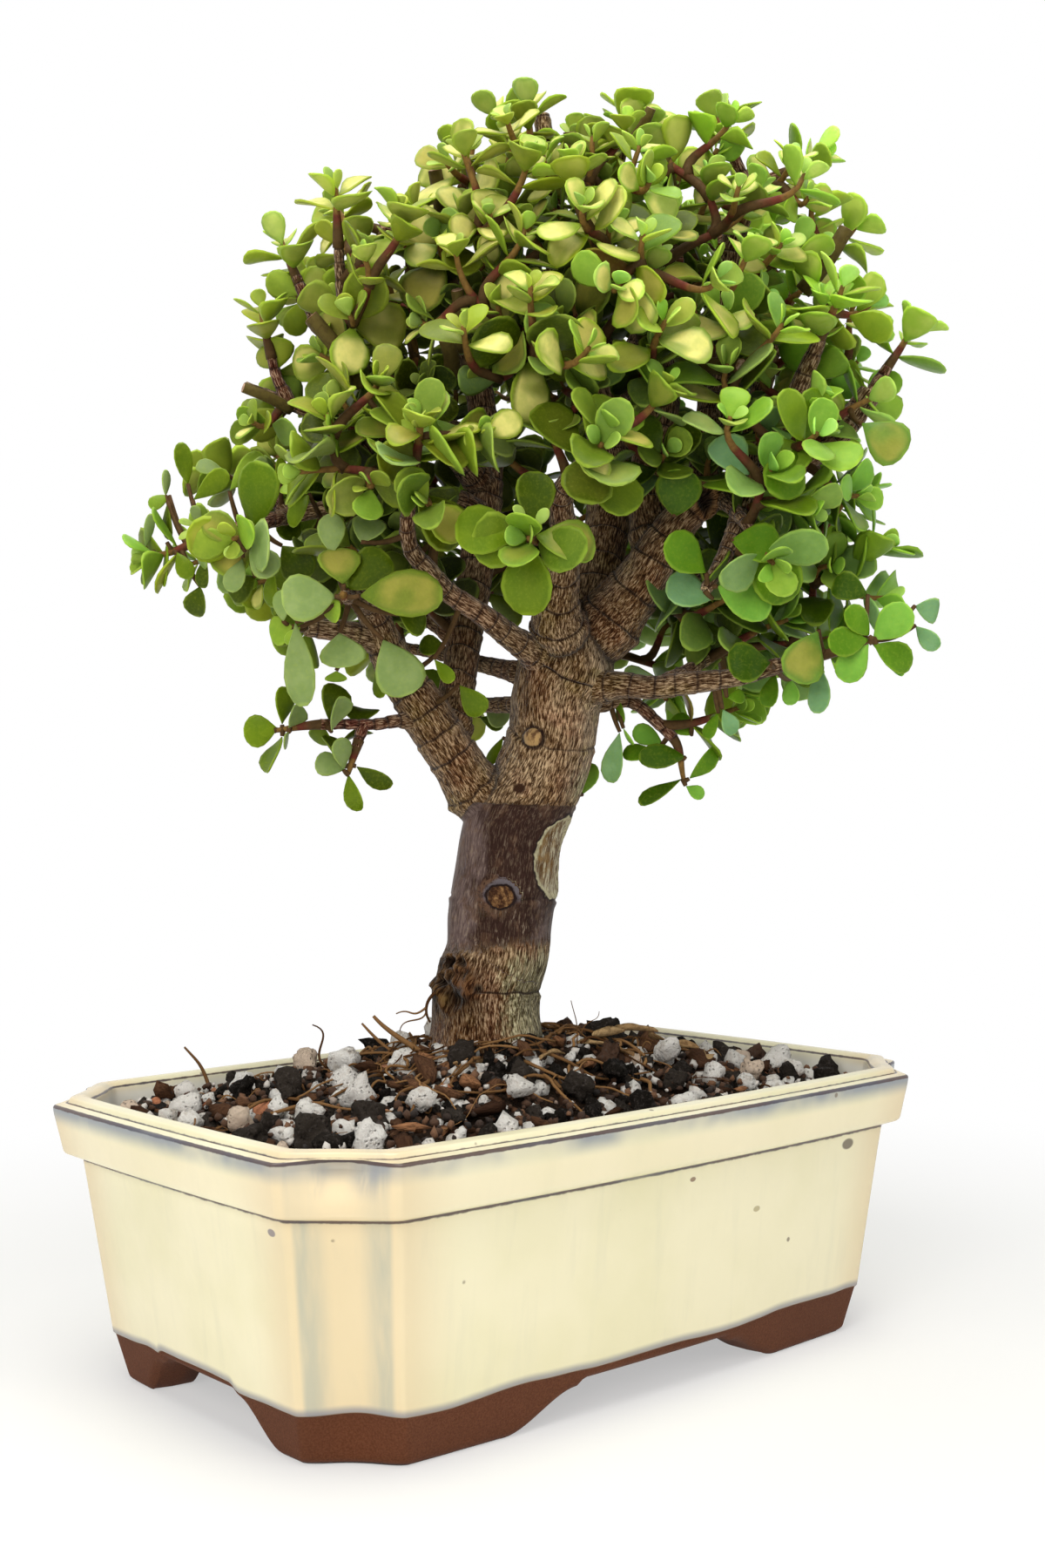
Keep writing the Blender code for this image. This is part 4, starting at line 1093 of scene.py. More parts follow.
def paintScreens():
    # the plastic mesh over the drain holes keeps its solid and gets its finish
    paint = Paint("screenPlastic", Roughness=0.45)
    paint.relief(paint.noise(1.2, 2, 0.5), 0.1)
    material = paint.finish(
        paint.mix(paint.noise(0.4, 2, 0.5), (0.018, 0.022, 0.018), (0.035, 0.04, 0.035)))
    for name in ("drain_screen_left", "drain_screen_right"):
        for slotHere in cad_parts[name].material_slots:
            slotHere.material = material


makeSoil()
makeGrains()
makeFines()
makeRoots()
makeHusks()
paintScreens()
print("soil, grains and roots made")


# Wood

# where each stretch of wood runs: (across, back, up, radius) in the tree's own frame
limbs = {
    "trunk": ((-5, 0, 46, 10.5), (-4, 0, 62, 14.2), (-3, 0, 79, 14.4), (-3, 0, 96, 14.2),
        (0, 0, 106, 14.2), (1, 0, 115, 14.3), (3, 0, 127, 14.1), (5, 0, 139, 14.0), (11, 0, 151, 12.5),
        (15, 0, 162, 11.6), (17, 0, 175, 12.3), (20, 0, 184, 13.0), (21, 0, 191, 11.0)),
    "left_limb": ((7, 3, 138, 6.8), (-5, -2, 149, 7.2), (-11, -6, 158, 6.8), (-19, -10, 171, 6.3),
        (-24, -12, 179, 5.5), (-29, -16, 189, 4.8), (-32, -22, 197, 3.8), (-35, -38, 198, 2.4),
        (-36, -50, 197, 1.5)),
    "left_stub": ((-28, -15, 188, 3.4), (-39, -21, 191, 2.9), (-48, -26, 192, 2.5)),
    "left_back": ((-13, -4, 164, 5.4), (-10, 6, 180, 4.8), (-8, 12, 195, 4.9), (-5, 18, 213, 5.0),
        (-2, 22, 236, 4.7), (-3, 26, 259, 4.2), (-7, 26, 282, 3.8), (-11, 24, 301, 3.2),
        (-14, 20, 313, 2.7), (-15, 18, 324, 2.5)),
    "left_rise": ((-2, 22, 236, 4.0), (-15, 4, 247, 3.4), (-31, -12, 256, 3.0), (-38, -16, 265, 2.7),
        (-47, -18, 274, 2.1)),
    "right_fork": ((22, 0, 184, 9.0), (33, -4, 197, 7.8), (39, -8, 204, 6.8), (46, -12, 215, 5.8),
        (54, -15, 224, 4.8), (66, -14, 230, 4.1), (83, -10, 237, 3.9), (93, -8, 244, 3.7),
        (102, -6, 255, 3.3)),
    "centre_right": ((43, -9, 209, 5.2), (42, -3, 231, 5.0), (46, 0, 255, 5.0), (43, 0, 274, 4.0),
        (41, -2, 282, 3.3), (32, -6, 288, 2.6), (26, -10, 294, 1.9)),
    "centre_fork": ((24, 4, 186, 7.0), (29, 14, 210, 6.8), (33, 20, 230, 6.2), (31, 24, 256, 5.2),
        (24, 25, 281, 4.5), (19, 23, 303, 3.8), (17, 20, 325, 3.0), (15, 18, 341, 2.3)),
    "back_up": ((31, 24, 254, 4.3), (42, 34, 277, 4.0), (51, 34, 303, 3.5), (52, 32, 318, 3.4),
        (52, 30, 331, 3.0)),
    "mid_up": ((24, 25, 280, 3.3), (32, 22, 302, 3.0), (34, 18, 318, 2.7), (37, 14, 330, 2.2)),
    "top_right": ((55, -14, 224, 3.9), (60, 6, 251, 3.8), (64, 12, 277, 3.6), (67, 14, 297, 3.4),
        (71, 14, 311, 2.9), (75, 14, 323, 2.4)),
    "right_high": ((68, -13, 231, 3.4), (76, 8, 264, 2.8), (83, 12, 286, 2.4), (90, 13, 294, 2.1),
        (96, 14, 300, 1.6)),
    "right_mid": ((71, -12, 232, 3.2), (80, -22, 252, 2.6), (85, -28, 264, 1.8)),
    "front_fork": ((20, -4, 186, 7.2), (17, -14, 196, 6.0), (18, -20, 204, 4.8), (19, -28, 213, 3.8),
        (18, -40, 223, 3.0), (23, -50, 229, 2.0)),
    "front_low": ((19, -26, 211, 2.8), (15, -40, 211, 1.9), (12, -51, 210, 1.4)),
    "trunk_left": ((15, -4, 184, 4.4), (4, -18, 190, 3.2), (-3, -24, 195, 2.8), (-11, -28, 200, 2.6),
        (-16, -34, 205, 2.6), (-20, -38, 210, 2.2), (-20, -46, 220, 1.8), (-18, -54, 228, 1.4)),
    "left_level": ((-3, 20, 226, 3.6), (-9, 10, 230, 2.9), (-23, 0, 229, 2.6), (-38, -8, 226, 2.3),
        (-54, -12, 223, 1.9), (-66, -14, 220, 1.5), (-76, -14, 217, 1.2)),
    "left_high": ((-29, -4, 228, 2.2), (-36, -8, 243, 2.1), (-43, -10, 249, 2.0), (-54, -12, 253, 1.8),
        (-65, -14, 257, 1.5)),
    "far_left": ((-54, -12, 223, 1.7), (-61, -4, 230, 1.5), (-68, 2, 234, 1.3)),
    "short_upper": ((9, 4, 181, 3.0), (-2, 22, 185, 2.4), (-16, 42, 190, 1.9), (-30, 58, 194, 1.5)),
    "short_lower": ((10, 6, 173, 2.8), (-2, 26, 174, 2.1), (-10, 42, 175, 1.5)),
    "right_level": ((24, -2, 176, 4.7), (34, -10, 177, 3.3), (42, -14, 176, 3.0), (53, -18, 177, 2.9),
        (63, -20, 178, 2.5), (75, -24, 181, 1.8), (85, -27, 183, 1.4)),
    "right_fold": ((45, -15, 177, 2.0), (54, -4, 182, 1.7), (62, 6, 187, 1.4)),
    "hanging": ((26, 2, 172, 2.0), (38, 4, 173, 1.8), (44, 4, 168, 1.7), (49, 4, 163, 1.5)),
    "dark_stub": ((68, -14, 229, 2.8), (61, -26, 211, 2.2), (54, -35, 199, 1.6)),
    "low_left": ((-16, -8, 165, 2.6), (-24, -14, 168, 1.8), (-31, -18, 167, 1.6), (-39, -20, 167, 1.4),
        (-45, -22, 167, 1.3)),
    "low_left_drop": ((-34, -19, 167, 1.4), (-36, -20, 161, 1.2)),
    "rear_low": ((20, 6, 174, 4.2), (25, 24, 182, 3.4), (31, 42, 189, 2.6), (37, 58, 197, 1.7)),
    "rear_right": ((38, -4, 204, 4.6), (54, 12, 210, 3.5), (70, 23, 216, 2.6), (82, 30, 221, 1.7)),
    "rear_high": ((33, 20, 236, 4.2), (33, 40, 250, 3.2), (29, 56, 264, 2.4), (27, 66, 276, 1.7)),
    "rear_top": ((51, 34, 303, 3.0), (60, 46, 310, 2.3), (69, 54, 317, 1.6)),
    "rear_left": ((-3, 25, 250, 3.6), (-18, 44, 258, 2.8), (-36, 62, 266, 1.9)),
    "rear_left_top": ((-10, 25, 296, 2.6), (-13, 38, 306, 2.0), (-14, 48, 314, 1.5)),
    "rear_centre": ((29, 14, 208, 4.2), (20, 34, 216, 3.0), (8, 54, 226, 2.1), (-2, 66, 234, 1.5)),
    "front_twig": ((44, 0, 258, 2.2), (34, -24, 262, 1.8), (25, -38, 264, 1.5)),
    "high_front_twig": ((43, 0, 270, 2.2), (44, -16, 281, 1.6), (44, -24, 287, 1.3)),
    "right_front_twig": ((61, 8, 256, 2.4), (61, -16, 262, 1.7), (60, -28, 265, 1.4)),
    "right_low_twig": ((66, -14, 230, 2.4), (73, -30, 233, 1.7), (76, -38, 234, 1.4)),
    "upper_left_twig": ((-37, -15, 263, 2.0), (-38, -28, 282, 1.5), (-38, -32, 290, 1.3)),
    "upper_front_twig": ((19, 23, 303, 2.2), (4, 2, 308, 1.7), (-4, -10, 311, 1.4)),
    "top_left": ((-11, 24, 301, 2.5), (-23, 14, 304, 2.0), (-31, 10, 306, 1.6)),
    "top_left_twig": ((-14, 20, 309, 1.9), (-8, 14, 317, 1.5), (-7, 13, 320, 1.3)),
    "crown_twig": ((17, 20, 324, 1.9), (9, 17, 330, 1.4), (7, 17, 333, 1.2)),
    "top_right_twig": ((74, 14, 318, 1.7), (83, 14, 322, 1.3)),
    "top_right_crown": ((73, 14, 316, 1.8), (69, 11, 324, 1.5), (67, 10, 328, 1.3)),
    "far_upper_twig": ((-44, -17, 271, 1.9), (-49, -14, 281, 1.5), (-51, -13, 286, 1.3)),
    "mid_front_twig": ((-6, 26, 277, 2.6), (-9, -2, 283, 1.8), (-11, -18, 287, 1.4)),
    "right_under_twig": ((60, -14, 227, 2.2), (65, -32, 216, 1.6), (67, -38, 211, 1.4)),
    "left_front_twig": ((-53, -12, 223, 1.8), (-59, -23, 219, 1.5), (-61, -28, 217, 1.3)),
    "rear_mid": ((43, 34, 279, 3.0), (52, 50, 283, 2.2), (57, 60, 286, 1.5)),
    "rear_left_low": ((-9, 11, 192, 3.0), (-26, 24, 203, 2.2), (-38, 33, 209, 1.5)),
    "right_tip_twig": ((100, -6, 251, 1.9), (107, -5, 262, 1.4)),
    "left_high_twig": ((-53, -12, 252, 1.8), (-57, -14, 261, 1.4), (-58, -15, 266, 1.2)),
}
thickLimbs = ("trunk", "left_limb", "left_back", "right_fork", "centre_right", "centre_fork",
              "front_fork")
stubs = ("left_back", "right_fork", "centre_fork", "left_stub", "left_rise", "back_up", "top_right",
         "left_high", "dark_stub")
woodForm = {
    "voxel": 0.74,
    "flare": 0.22,  # how much wider a limb is where it leaves its parent
    "flareLength": 3.5,
    "ringGap": (3.4, 0.62, 0.75, 1.3),  # mm, plus a share of the radius, times a luck between the last two
    "ringDepth": 0.40,
    "ridge": 0.26,
    "lump": 0.55,
    "smoothBand": (110.5, 145.8),  # dark smooth bark between these heights
}
# rings round the trunk: height at its axis, fall to the right and to the front, strength, from where across
trunkRings = ((96.0, 0.09, 0.0, 1.0, -5.5), (120.3, 0.04, 0.0, 1.0, 5.5), (145.7, 0.05, 0.0, 0.3, -99.0),
              (163.8, 0.25, 0.25, 0.7, -99.0), (181.1, 0.45, 0.15, 1.2, -99.0))
scars = {
    "prunedBranch": {"kind": 1, "across": 1.0, "up": 121.2, "wide": 3.6, "high": 3.0},
    "cutFace": {"kind": 2, "turn": 68.0, "up": 131.3, "wide": 10.2, "high": 11.2},
    "shortStub": {"kind": 3, "across": 10.3, "up": 163.3, "wide": 2.5, "high": 2.4},
    "smallKnot": {"kind": 4, "across": 6.4, "up": 149.9, "wide": 1.7, "high": 1.3},
}
burl = {
    "place": (-11.0, -7.5, 98.0),
    "reach": (9.5, 11.0, 9.0),
    "rise": 0.9,
    "folds": 1.7,
    # holes in it: across, back, up, radius
    "holes": ((-11.8, -9.0, 103.2, 1.7), (-8.6, -11.0, 103.6, 1.4), (-14.0, -8.0, 98.6, 1.6),
              (-5.2, -13.0, 97.0, 1.6), (-9.5, -11.0, 98.6, 1.3), (-13.6, -8.0, 93.6, 1.4)),
}
# an old wound on the right fork: across, back, up, half width, half depth, half height
hollowScar = (56.0, -19.3, 224.5, 2.3, 3.0, 3.7)
barkTones = {
    "fibrous": (0.185, 0.104, 0.046),
    "fibrousPale": (0.33, 0.225, 0.13),
    "rust": (0.15, 0.066, 0.026),
    "weathered": (0.36, 0.29, 0.215),
    "crease": (0.026, 0.014, 0.009),
    "cut": (0.46, 0.32, 0.17),
    "cutDark": (0.13, 0.065, 0.032),
    "decay": (0.060, 0.030, 0.014),
    "ember": (0.34, 0.18, 0.075),
    "young": (0.15, 0.045, 0.035),
    "twig": (0.16, 0.095, 0.052),
}
# shader colours: dark smooth bark and its lilac bloom, which is partly painted sheen, moss, pruned wood,
# straw, the stub's knob
bandTones = {
    "smooth": (0.040, 0.019, 0.014),
    "bloomAndSheen": (0.190, 0.135, 0.125),
    "worn": (0.125, 0.068, 0.042),
    "moss": (0.26, 0.235, 0.125),
    "straw": (0.66, 0.59, 0.38),
    "pruned": (0.20, 0.10, 0.042),
    "prunedDark": (0.045, 0.020, 0.011),
    "collar": (0.135, 0.118, 0.130),
    "knob": (0.46, 0.29, 0.12),
    "outline": (0.018, 0.010, 0.009),
}


def smoothPath(stations, gap):
    # a cubic Hermite curve through the stations, with Catmull-Rom slopes, cut into even steps
    stations = np.array(stations, float)
    span = np.linalg.norm(np.diff(stations[:, :3], axis=0), axis=1)
    knots = lengthsAlong(stations[:, :3])
    slopes = np.gradient(stations, knots, axis=0)
    at = np.linspace(0, knots[-1], max(int(knots[-1] / gap), 3) + 1)
    here = np.clip(np.searchsorted(knots, at, side="right") - 1, 0, len(span) - 1)
    width = span[here][:, None]
    t = ((at - knots[here])[:, None]) / width
    first, last = stations[here], stations[here + 1]
    curve = first * (2 * t ** 3 - 3 * t ** 2 + 1) + last * (3 * t ** 2 - 2 * t ** 3)
    curve += width * (slopes[here] * (t ** 3 - 2 * t ** 2 + t) + slopes[here + 1] * (t ** 3 - t ** 2))
    return curve[:, :3], curve[:, 3], at


def carriedFrames(points):
    # along each step of a path: the way ahead, and a sideways direction carried along without twisting
    ahead = unit(np.gradient(points, axis=0))
    side = np.zeros_like(ahead)
    current = squareTo(ahead[0])
    for i, way in enumerate(ahead):
        current = unit(current - way * np.dot(current, way))
        side[i] = current
    return ahead, side, np.cross(ahead, side)


def limbPaths(gap):
    # every limb's path, radius and frames, with the length at which it comes out of its parent
    paths = {}
    for name, stations in limbs.items():
        points, radius, along = smoothPath(stations, gap)
        ahead, side, other = carriedFrames(points)
        paths[name] = {"points": points, "radius": radius, "along": along, "ahead": ahead, "side": side,
            "other": other, "out": 0.0}
    for name, path in paths.items():
        if name == "trunk":
            continue
        parent = min((other for other in paths if other != name and paths[other]["radius"][0] >= 1.5),
            key=lambda other: depthIn(paths[other], path["points"][:1])[0])
        outside = depthIn(paths[parent], path["points"]) > 0
        path["out"] = path["along"][np.argmax(outside)] if outside.any() else 0.0
        path["radius"] = path["radius"] * (1 + woodForm["flare"]
            * np.exp(-np.abs(path["along"] - path["out"]) / woodForm["flareLength"]))
    return paths


def depthIn(path, points):
    # how far each point is from the limb's surface, below 0 inside
    distance = np.linalg.norm(points[:, None] - path["points"][None], axis=-1) - path["radius"][None]
    return distance.min(1)


def limbRings(path, columns, cut=False):
    # circles square to the limb; a cut end gets a short bevel and a flat face
    turn = np.linspace(0, math.tau, columns, endpoint=False)[:, None]
    circle = np.cos(turn) * path["side"][:, None] + np.sin(turn) * path["other"][:, None]
    rings = path["points"][:, None] + circle * path["radius"][:, None, None]
    if cut:
        end, way = path["points"][-1], path["ahead"][-1]
        rim = rings[-1] - end
        rings = np.concatenate([rings[:-1], [end + rim * 0.98 - way * 0.15, end + rim * 0.88,
            end + rim * 0.45]])
    return rings


def ringPlaces(path, luck):
    # lengths along the limb at which old leaf pairs have left a ring, further apart on thicker wood
    least, share, low, high = woodForm["ringGap"]
    places = [path["out"] + 1.8]
    while places[-1] < path["along"][-1] - 1.0:
        radius = np.interp(places[-1], path["along"], path["radius"])
        places.append(places[-1] + (least + share * radius) * luck.uniform(low, high))
    return np.array(places)


def nearestWood(points, paths, names):
    # for each point: which limb is nearest, the step along it, and how much further the next limb is
    best = np.full(len(points), 1e9)
    second = np.full(len(points), 1e9)
    limb = np.zeros(len(points), int)
    step = np.zeros(len(points), int)
    for number, name in enumerate(names):
        path = paths[name]
        centre = path["points"]
        squared = (points ** 2).sum(1)[:, None] + (centre ** 2).sum(1)[None] - 2 * points @ centre.T
        depth = np.sqrt(np.maximum(squared, 0)) - path["radius"][None]
        here = depth.argmin(1)
        depth = depth[np.arange(len(points)), here]
        closer = depth < best
        second = np.where(closer, best, np.minimum(second, depth))
        best = np.where(closer, depth, best)
        limb = np.where(closer, number, limb)
        step = np.where(closer, here, step)
    return limb, step, second - best


def barkRelief(local, radius, ringDistance, smooth):
    # ridges that run along the limb, broad lumps, and at each ring a step with a narrow crease
    fibre = local * (1, 1, 0.2)
    ridges = 1 - 2 * np.abs(noise(fibre, 1.4, 31)) + 0.6 * noise(fibre, 0.9, 32)
    scale = np.clip(radius / 8.0, 0.25, 1.0)
    height = woodForm["ridge"] * ridges * scale * (1 - 0.8 * smooth)
    height += woodForm["lump"] * noise(local * (1, 1, 0.6), 7.0, 33) * scale
    depth = woodForm["ringDepth"] * np.clip(radius / 7.0, 0.4, 1.0)
    wave = ringDistance + 0.7 * noise(local * (1, 1, 0), 4.0, 34)
    height += depth * (0.9 * bump(wave + 0.9, 1.0) - 1.1 * bump(wave, 0.45))
    return height, wave


def ringWay(wave, strength):
    # what the paint needs to draw a ring's line and the painted shade beside it: signed distance near it,
    # plain distance, strength
    return np.stack([np.clip(wave, -2, 2), np.clip(np.abs(wave), 0, 4), strength], -1)


def tinted(tone, tones, **shares):
    # the tone moved towards each named one by its share, one after the other
    for name, share in shares.items():
        tone = tone + (np.array(tones[name]) - tone) * share[:, None]
    return tone


def barkTone(local, radius, youth):
    # fibrous brown with paler and rusty patches, darker on twigs, red on young wood
    patch = smoothStep(-0.3, 0.8, layeredNoise(local * (1, 1, 0.5), 6.0, 41))
    rusty = smoothStep(0.0, 0.8, layeredNoise(local * (1, 1, 0.4), 9.0, 42))
    tone = np.tile(barkTones["fibrous"], (len(local), 1))
    return tinted(tone, barkTones, fibrousPale=0.7 * patch, rust=0.5 * rusty,
        twig=smoothStep(6.0, 3.0, radius) * 0.6, young=youth)


def scarSpots(points, radius, facing, onTrunk):
    # each trunk point's place in its nearest scar, in half widths and half heights, with the scar's kind
    spots = np.zeros((len(points), 3))
    least = np.full(len(points), 3.0)
    for scar in scars.values():
        if "turn" in scar:
            across = radius * (facing - math.radians(scar["turn"]))
        else:
            across = points[:, 0] - scar["across"]
        u = across / scar["wide"]
        v = (points[:, 2] - scar["up"]) / scar["high"]
        share = np.where(onTrunk & (np.abs(facing) < 2.6), np.hypot(u, v), 9.0)
        near = share < least
        least = np.where(near, share, least)
        spots = np.where(near[:, None], np.stack([u, v, np.full(len(u), float(scar["kind"]))], -1), spots)
    return np.where(least[:, None] < 3.0, spots, (3.0, 3.0, 0.0)), least


def barkPaint(name, scarred=False):
    # dark and pale dashes along the wood, over brown, smooth dark or mossy bark with a lilac bloom that is
    # partly painted sheen, and a thin line of painted shade at rings
    paint = Paint(name, Specular_IOR_Level=0.06, Sheen_Weight=0.22, Sheen_Roughness=0.35)
    tone = paint.attribute("barkTone", "Color")
    place = paint.attribute("barkPlace", "Vector")
    band, bloomAndSheen, moss = paint.parts(paint.attribute("barkMood", "Vector"))
    fibre = paint.noise(1.0, 3, 0.6, paint.scaled(place, 2.7, 2.7, 0.50), 0.25)
    coarse = paint.noise(1.0, 3, 0.6, paint.scaled(place, 0.85, 0.85, 0.26))
    patch = paint.noise(0.13, 3, 0.6)
    ragged = fibre.scaleAdd(0.9, coarse.scaleAdd(0.9, band))
    smooth = ragged.ramp(1.25, 1.5)
    broad = paint.noise(0.06, 3, 0.6)
    # the lilac bloom on the smooth bark: partly its own tint, partly painted sheen towards the trunk's
    # sides
    lilacAndSheen = coarse.scaleAdd(0.5, bloomAndSheen.scaleAdd(0.75, patch))
    lilacAndSheen = lilacAndSheen.ramp(0.95, 1.45, 0.0, 0.75)
    # rosy and olive areas on the fibrous bark, brown ones on the smooth
    earth = tone.dyed((1.04, 0.86, 0.86), broad.ramp(0.5, 0.62, 0.0, 0.8))
    earth = earth.mix(broad.ramp(0.46, 0.36, 0.0, 0.8), tone.dyed((0.95, 1.02, 0.72)))
    skin = paint.mix(lilacAndSheen, bandTones["smooth"], bandTones["bloomAndSheen"])
    skin = skin.mix(paint.noise(0.2, 4, 0.65).ramp(0.52, 0.66, 0.0, 0.6), bandTones["worn"])
    base = earth.mix(smooth, skin)
    mossy = coarse.scaleAdd(1.5, moss).ramp(0.95, 1.6)
    base = base.mix(mossy * 0.9, bandTones["moss"])
    rough = smooth.scaleAdd(-0.88, 1.0)
    dark = fibre.ramp(0.49, 0.42) * rough.scaleAdd(0.72, 0.2)
    pale = fibre.ramp(0.53, 0.6) * rough.scaleAdd(0.82, 0.08)
    pale = pale * moss.ramp(-0.9, -0.1, 0.15, 1.0)
    colour = base.dyed((0.15, 0.1, 0.065), dark)
    lit = base.dyed((1.3, 1.3, 1.3)).lit((0.28, 0.23, 0.15))
    colour = colour.mix(pale, lit.mix(mossy, bandTones["straw"]))
    colour = colour.dyed((0.5, 0.44, 0.4), coarse.ramp(0.35, 0.6, 0.45, 0.0))
    # flecks on the smooth bark
    fleck = coarse.ramp(0.56, 0.66) * fibre.ramp(0.47, 0.55)
    fleck = fleck * paint.parts(paint.place)[2].ramp(0.126, 0.117, 0.2, 0.6)
    colour = colour.mix(fleck * smooth, (0.3, 0.23, 0.17))
    # painted shade at each ring: a dark line in its crease and a darker strip on one side of it
    signed, plain, strength = paint.parts(paint.attribute("ringWay", "Vector"))
    line = abs(signed).ramp(0.4, 0.1)
    line = line * plain.ramp(1.2, 0.8)
    broken = paint.noise(0.35, 3, 0.6).ramp(0.3, 0.55, 0.45, 1.0)
    line = line * strength * broken
    under = signed.ramp(1.6, 0.0) * strength
    under = under * signed.ramp(-0.35, 0.0)
    colour = colour.dyed((0.48, 0.4, 0.34), under * 0.6)
    colour = colour.mix(line * 0.8, barkTones["crease"])
    height = (fibre + coarse * 0.8) * rough
    height = height - line * 0.7
    if scarred:
        colour = scarPaint(paint, colour, fibre, coarse)
    paint.relief(height, 0.6, 0.8)
    return paint.finish(colour, smooth.ramp(0.0, 1.0, 0.9, 0.5))


def scarPaint(paint, colour, fibre, coarse):
    # pruned wood ringed by a lilac collar, a streaked cut face with a straw rim, a tan knob, a dark knot
    across, up, kind = paint.parts(paint.attribute("scarSpot", "Vector"))
    far = across.scaleAdd(across, up * up).root()
    far = paint.noise(0.3, 2, 0.5).scaleAdd(0.3, far - 0.15)
    shaken = coarse.scaleAdd(0.3, far - 0.15)
    isPruned, isCut, isKnob, isKnot = (kind.isNear(float(number), 0.3) for number in (1, 2, 3, 4))
    crumbly = paint.noise(0.9, 4, 0.7)
    pruned = paint.mix(crumbly.ramp(0.4, 0.6), bandTones["prunedDark"], bandTones["pruned"])
    pruned = pruned.mix(crumbly.ramp(0.55, 0.68, 0.0, 0.6), bandTones["knob"])
    # painted shade: the pruned face is darker towards its upper left, below the raised collar
    sunk = (up - across).ramp(0.5, 1.2, 0.0, 0.6)
    pruned = pruned.mix(sunk, bandTones["prunedDark"])
    torn = shaken.ramp(2.1, 1.6) * across.ramp(0.2, -0.8, 0.25, 1.0)
    torn = torn * crumbly.ramp(0.42, 0.55)
    colour = colour.mix(torn * isPruned, bandTones["worn"])
    sideways = across.scaleAdd(0.28, crumbly * 0.5)
    collar = far - sideways
    collar = collar.ramp(1.5, 1.2) * up.ramp(-0.7, 0.1)
    collar = collar * crumbly.ramp(0.3, 0.5, 0.4, 0.95)
    colour = colour.mix(collar * isPruned, bandTones["collar"])
    ring = shaken.ramp(1.24, 1.1) * isPruned
    colour = colour.mix(ring, bandTones["outline"])
    colour = colour.mix(shaken.ramp(1.02, 0.94) * isPruned, pruned)
    grooves = paint.noise(1.0, 4, 0.7,
        paint.scaled(paint.attribute("barkPlace", "Vector"), 1.1, 1.1, 0.12))
    streak = (grooves * 0.75 + fibre * 0.35).ramp(0.5, 0.62)
    streak = streak * across.ramp(-0.9, 0.3, 0.45, 1.0)
    face = paint.mix(streak, (0.12, 0.062, 0.022), (0.72, 0.66, 0.47))
    stain = paint.noise(0.25, 3, 0.6).ramp(0.42, 0.56, 0.0, 0.85) * across.ramp(0.2, -0.6, 0.25, 1.0)
    face = face.mix(stain, (0.24, 0.14, 0.05))
    edge = shaken.ramp(0.8, 0.92) * fibre.ramp(0.4, 0.52, 0.35, 1.0)
    face = face.mix(edge, (0.62, 0.57, 0.36))
    colour = colour.mix(far.ramp(1.075, 1.03) * isCut, bandTones["outline"])
    colour = colour.mix(far.ramp(1.015, 0.985) * isCut, face)
    knob = paint.mix(coarse.ramp(0.4, 0.6), bandTones["knob"], barkTones["cutDark"])
    colour = colour.mix(shaken.ramp(1.5, 1.15, 0.0, 0.85) * isKnob, bandTones["outline"])
    colour = colour.mix(shaken.ramp(1.05, 0.9) * isKnob, knob)
    return colour.mix(shaken.ramp(1.3, 0.7) * isKnot, bandTones["prunedDark"])


def thickWoodMesh(paths):
    # the thick limbs' tubes melted into one skin on a fine lattice, and smoothed
    points, faces = [], [[], []]
    used = 0
    for name in thickLimbs:
        columns = 40 if name == "trunk" else 24
        rings = limbRings(paths[name], columns, name in stubs)
        points.append(podPoints(rings))
        for group, into in zip(podFaces(len(rings), columns), faces):
            into.append(group + used)
        used += len(points[-1])
    faces = [np.concatenate(group) for group in faces]
    shell = makePiece("trunkShell", intoPot(np.concatenate(points)), faces, None, None)
    melt = shell.modifiers.new("melt", "REMESH")
    melt.mode = "VOXEL"
    melt.voxel_size = woodForm["voxel"] * mm
    ease = shell.modifiers.new("ease", "SMOOTH")
    ease.factor = 0.5
    ease.iterations = 4
    graph = bpy.context.evaluated_depsgraph_get()
    mesh = bpy.data.meshes.new_from_object(shell.evaluated_get(graph))
    bpy.data.objects.remove(shell, do_unlink=True)
    return mesh


def readVectors(data, label):
    # one vector a point, as floats
    raw = np.zeros(len(data) * 3, np.float32)
    data.foreach_get(label, raw)
    return raw.reshape(-1, 3).astype(float)


def onThickLimbs(points, paths, luck):
    # where each point of the skin lies on its nearest limb; local is sideways, sideways and along
    limb, step, apart = nearestWood(points, paths, thickLimbs)
    local, centre = np.zeros_like(points), np.zeros_like(points)
    radius, ringGap, toEnd = (np.full(len(points), value) for value in (0.0, 9.0, 99.0))
    for number, name in enumerate(thickLimbs):
        mine = limb == number
        path, at = paths[name], step[mine]
        centre[mine] = path["points"][at]
        away = points[mine] - centre[mine]
        side, other, ahead = ((away * path[way][at]).sum(1) for way in ("side", "other", "ahead"))
        along = path["along"][at] + ahead
        local[mine] = np.stack([side + 37.0 * number, other, along], -1)
        radius[mine] = path["radius"][at]
        if name != "trunk":
            ringGap[mine] = signedNearest(along, ringPlaces(path, luck))
        if name in stubs:
            toEnd[mine] = path["along"][-1] - along
    return SimpleNamespace(points=points, across=points[:, 0], up=points[:, 2], limb=limb, apart=apart,
        local=local, centre=centre, axis=points - centre, radius=radius, ringGap=ringGap, toEnd=toEnd,
        onTrunk=limb == 0)


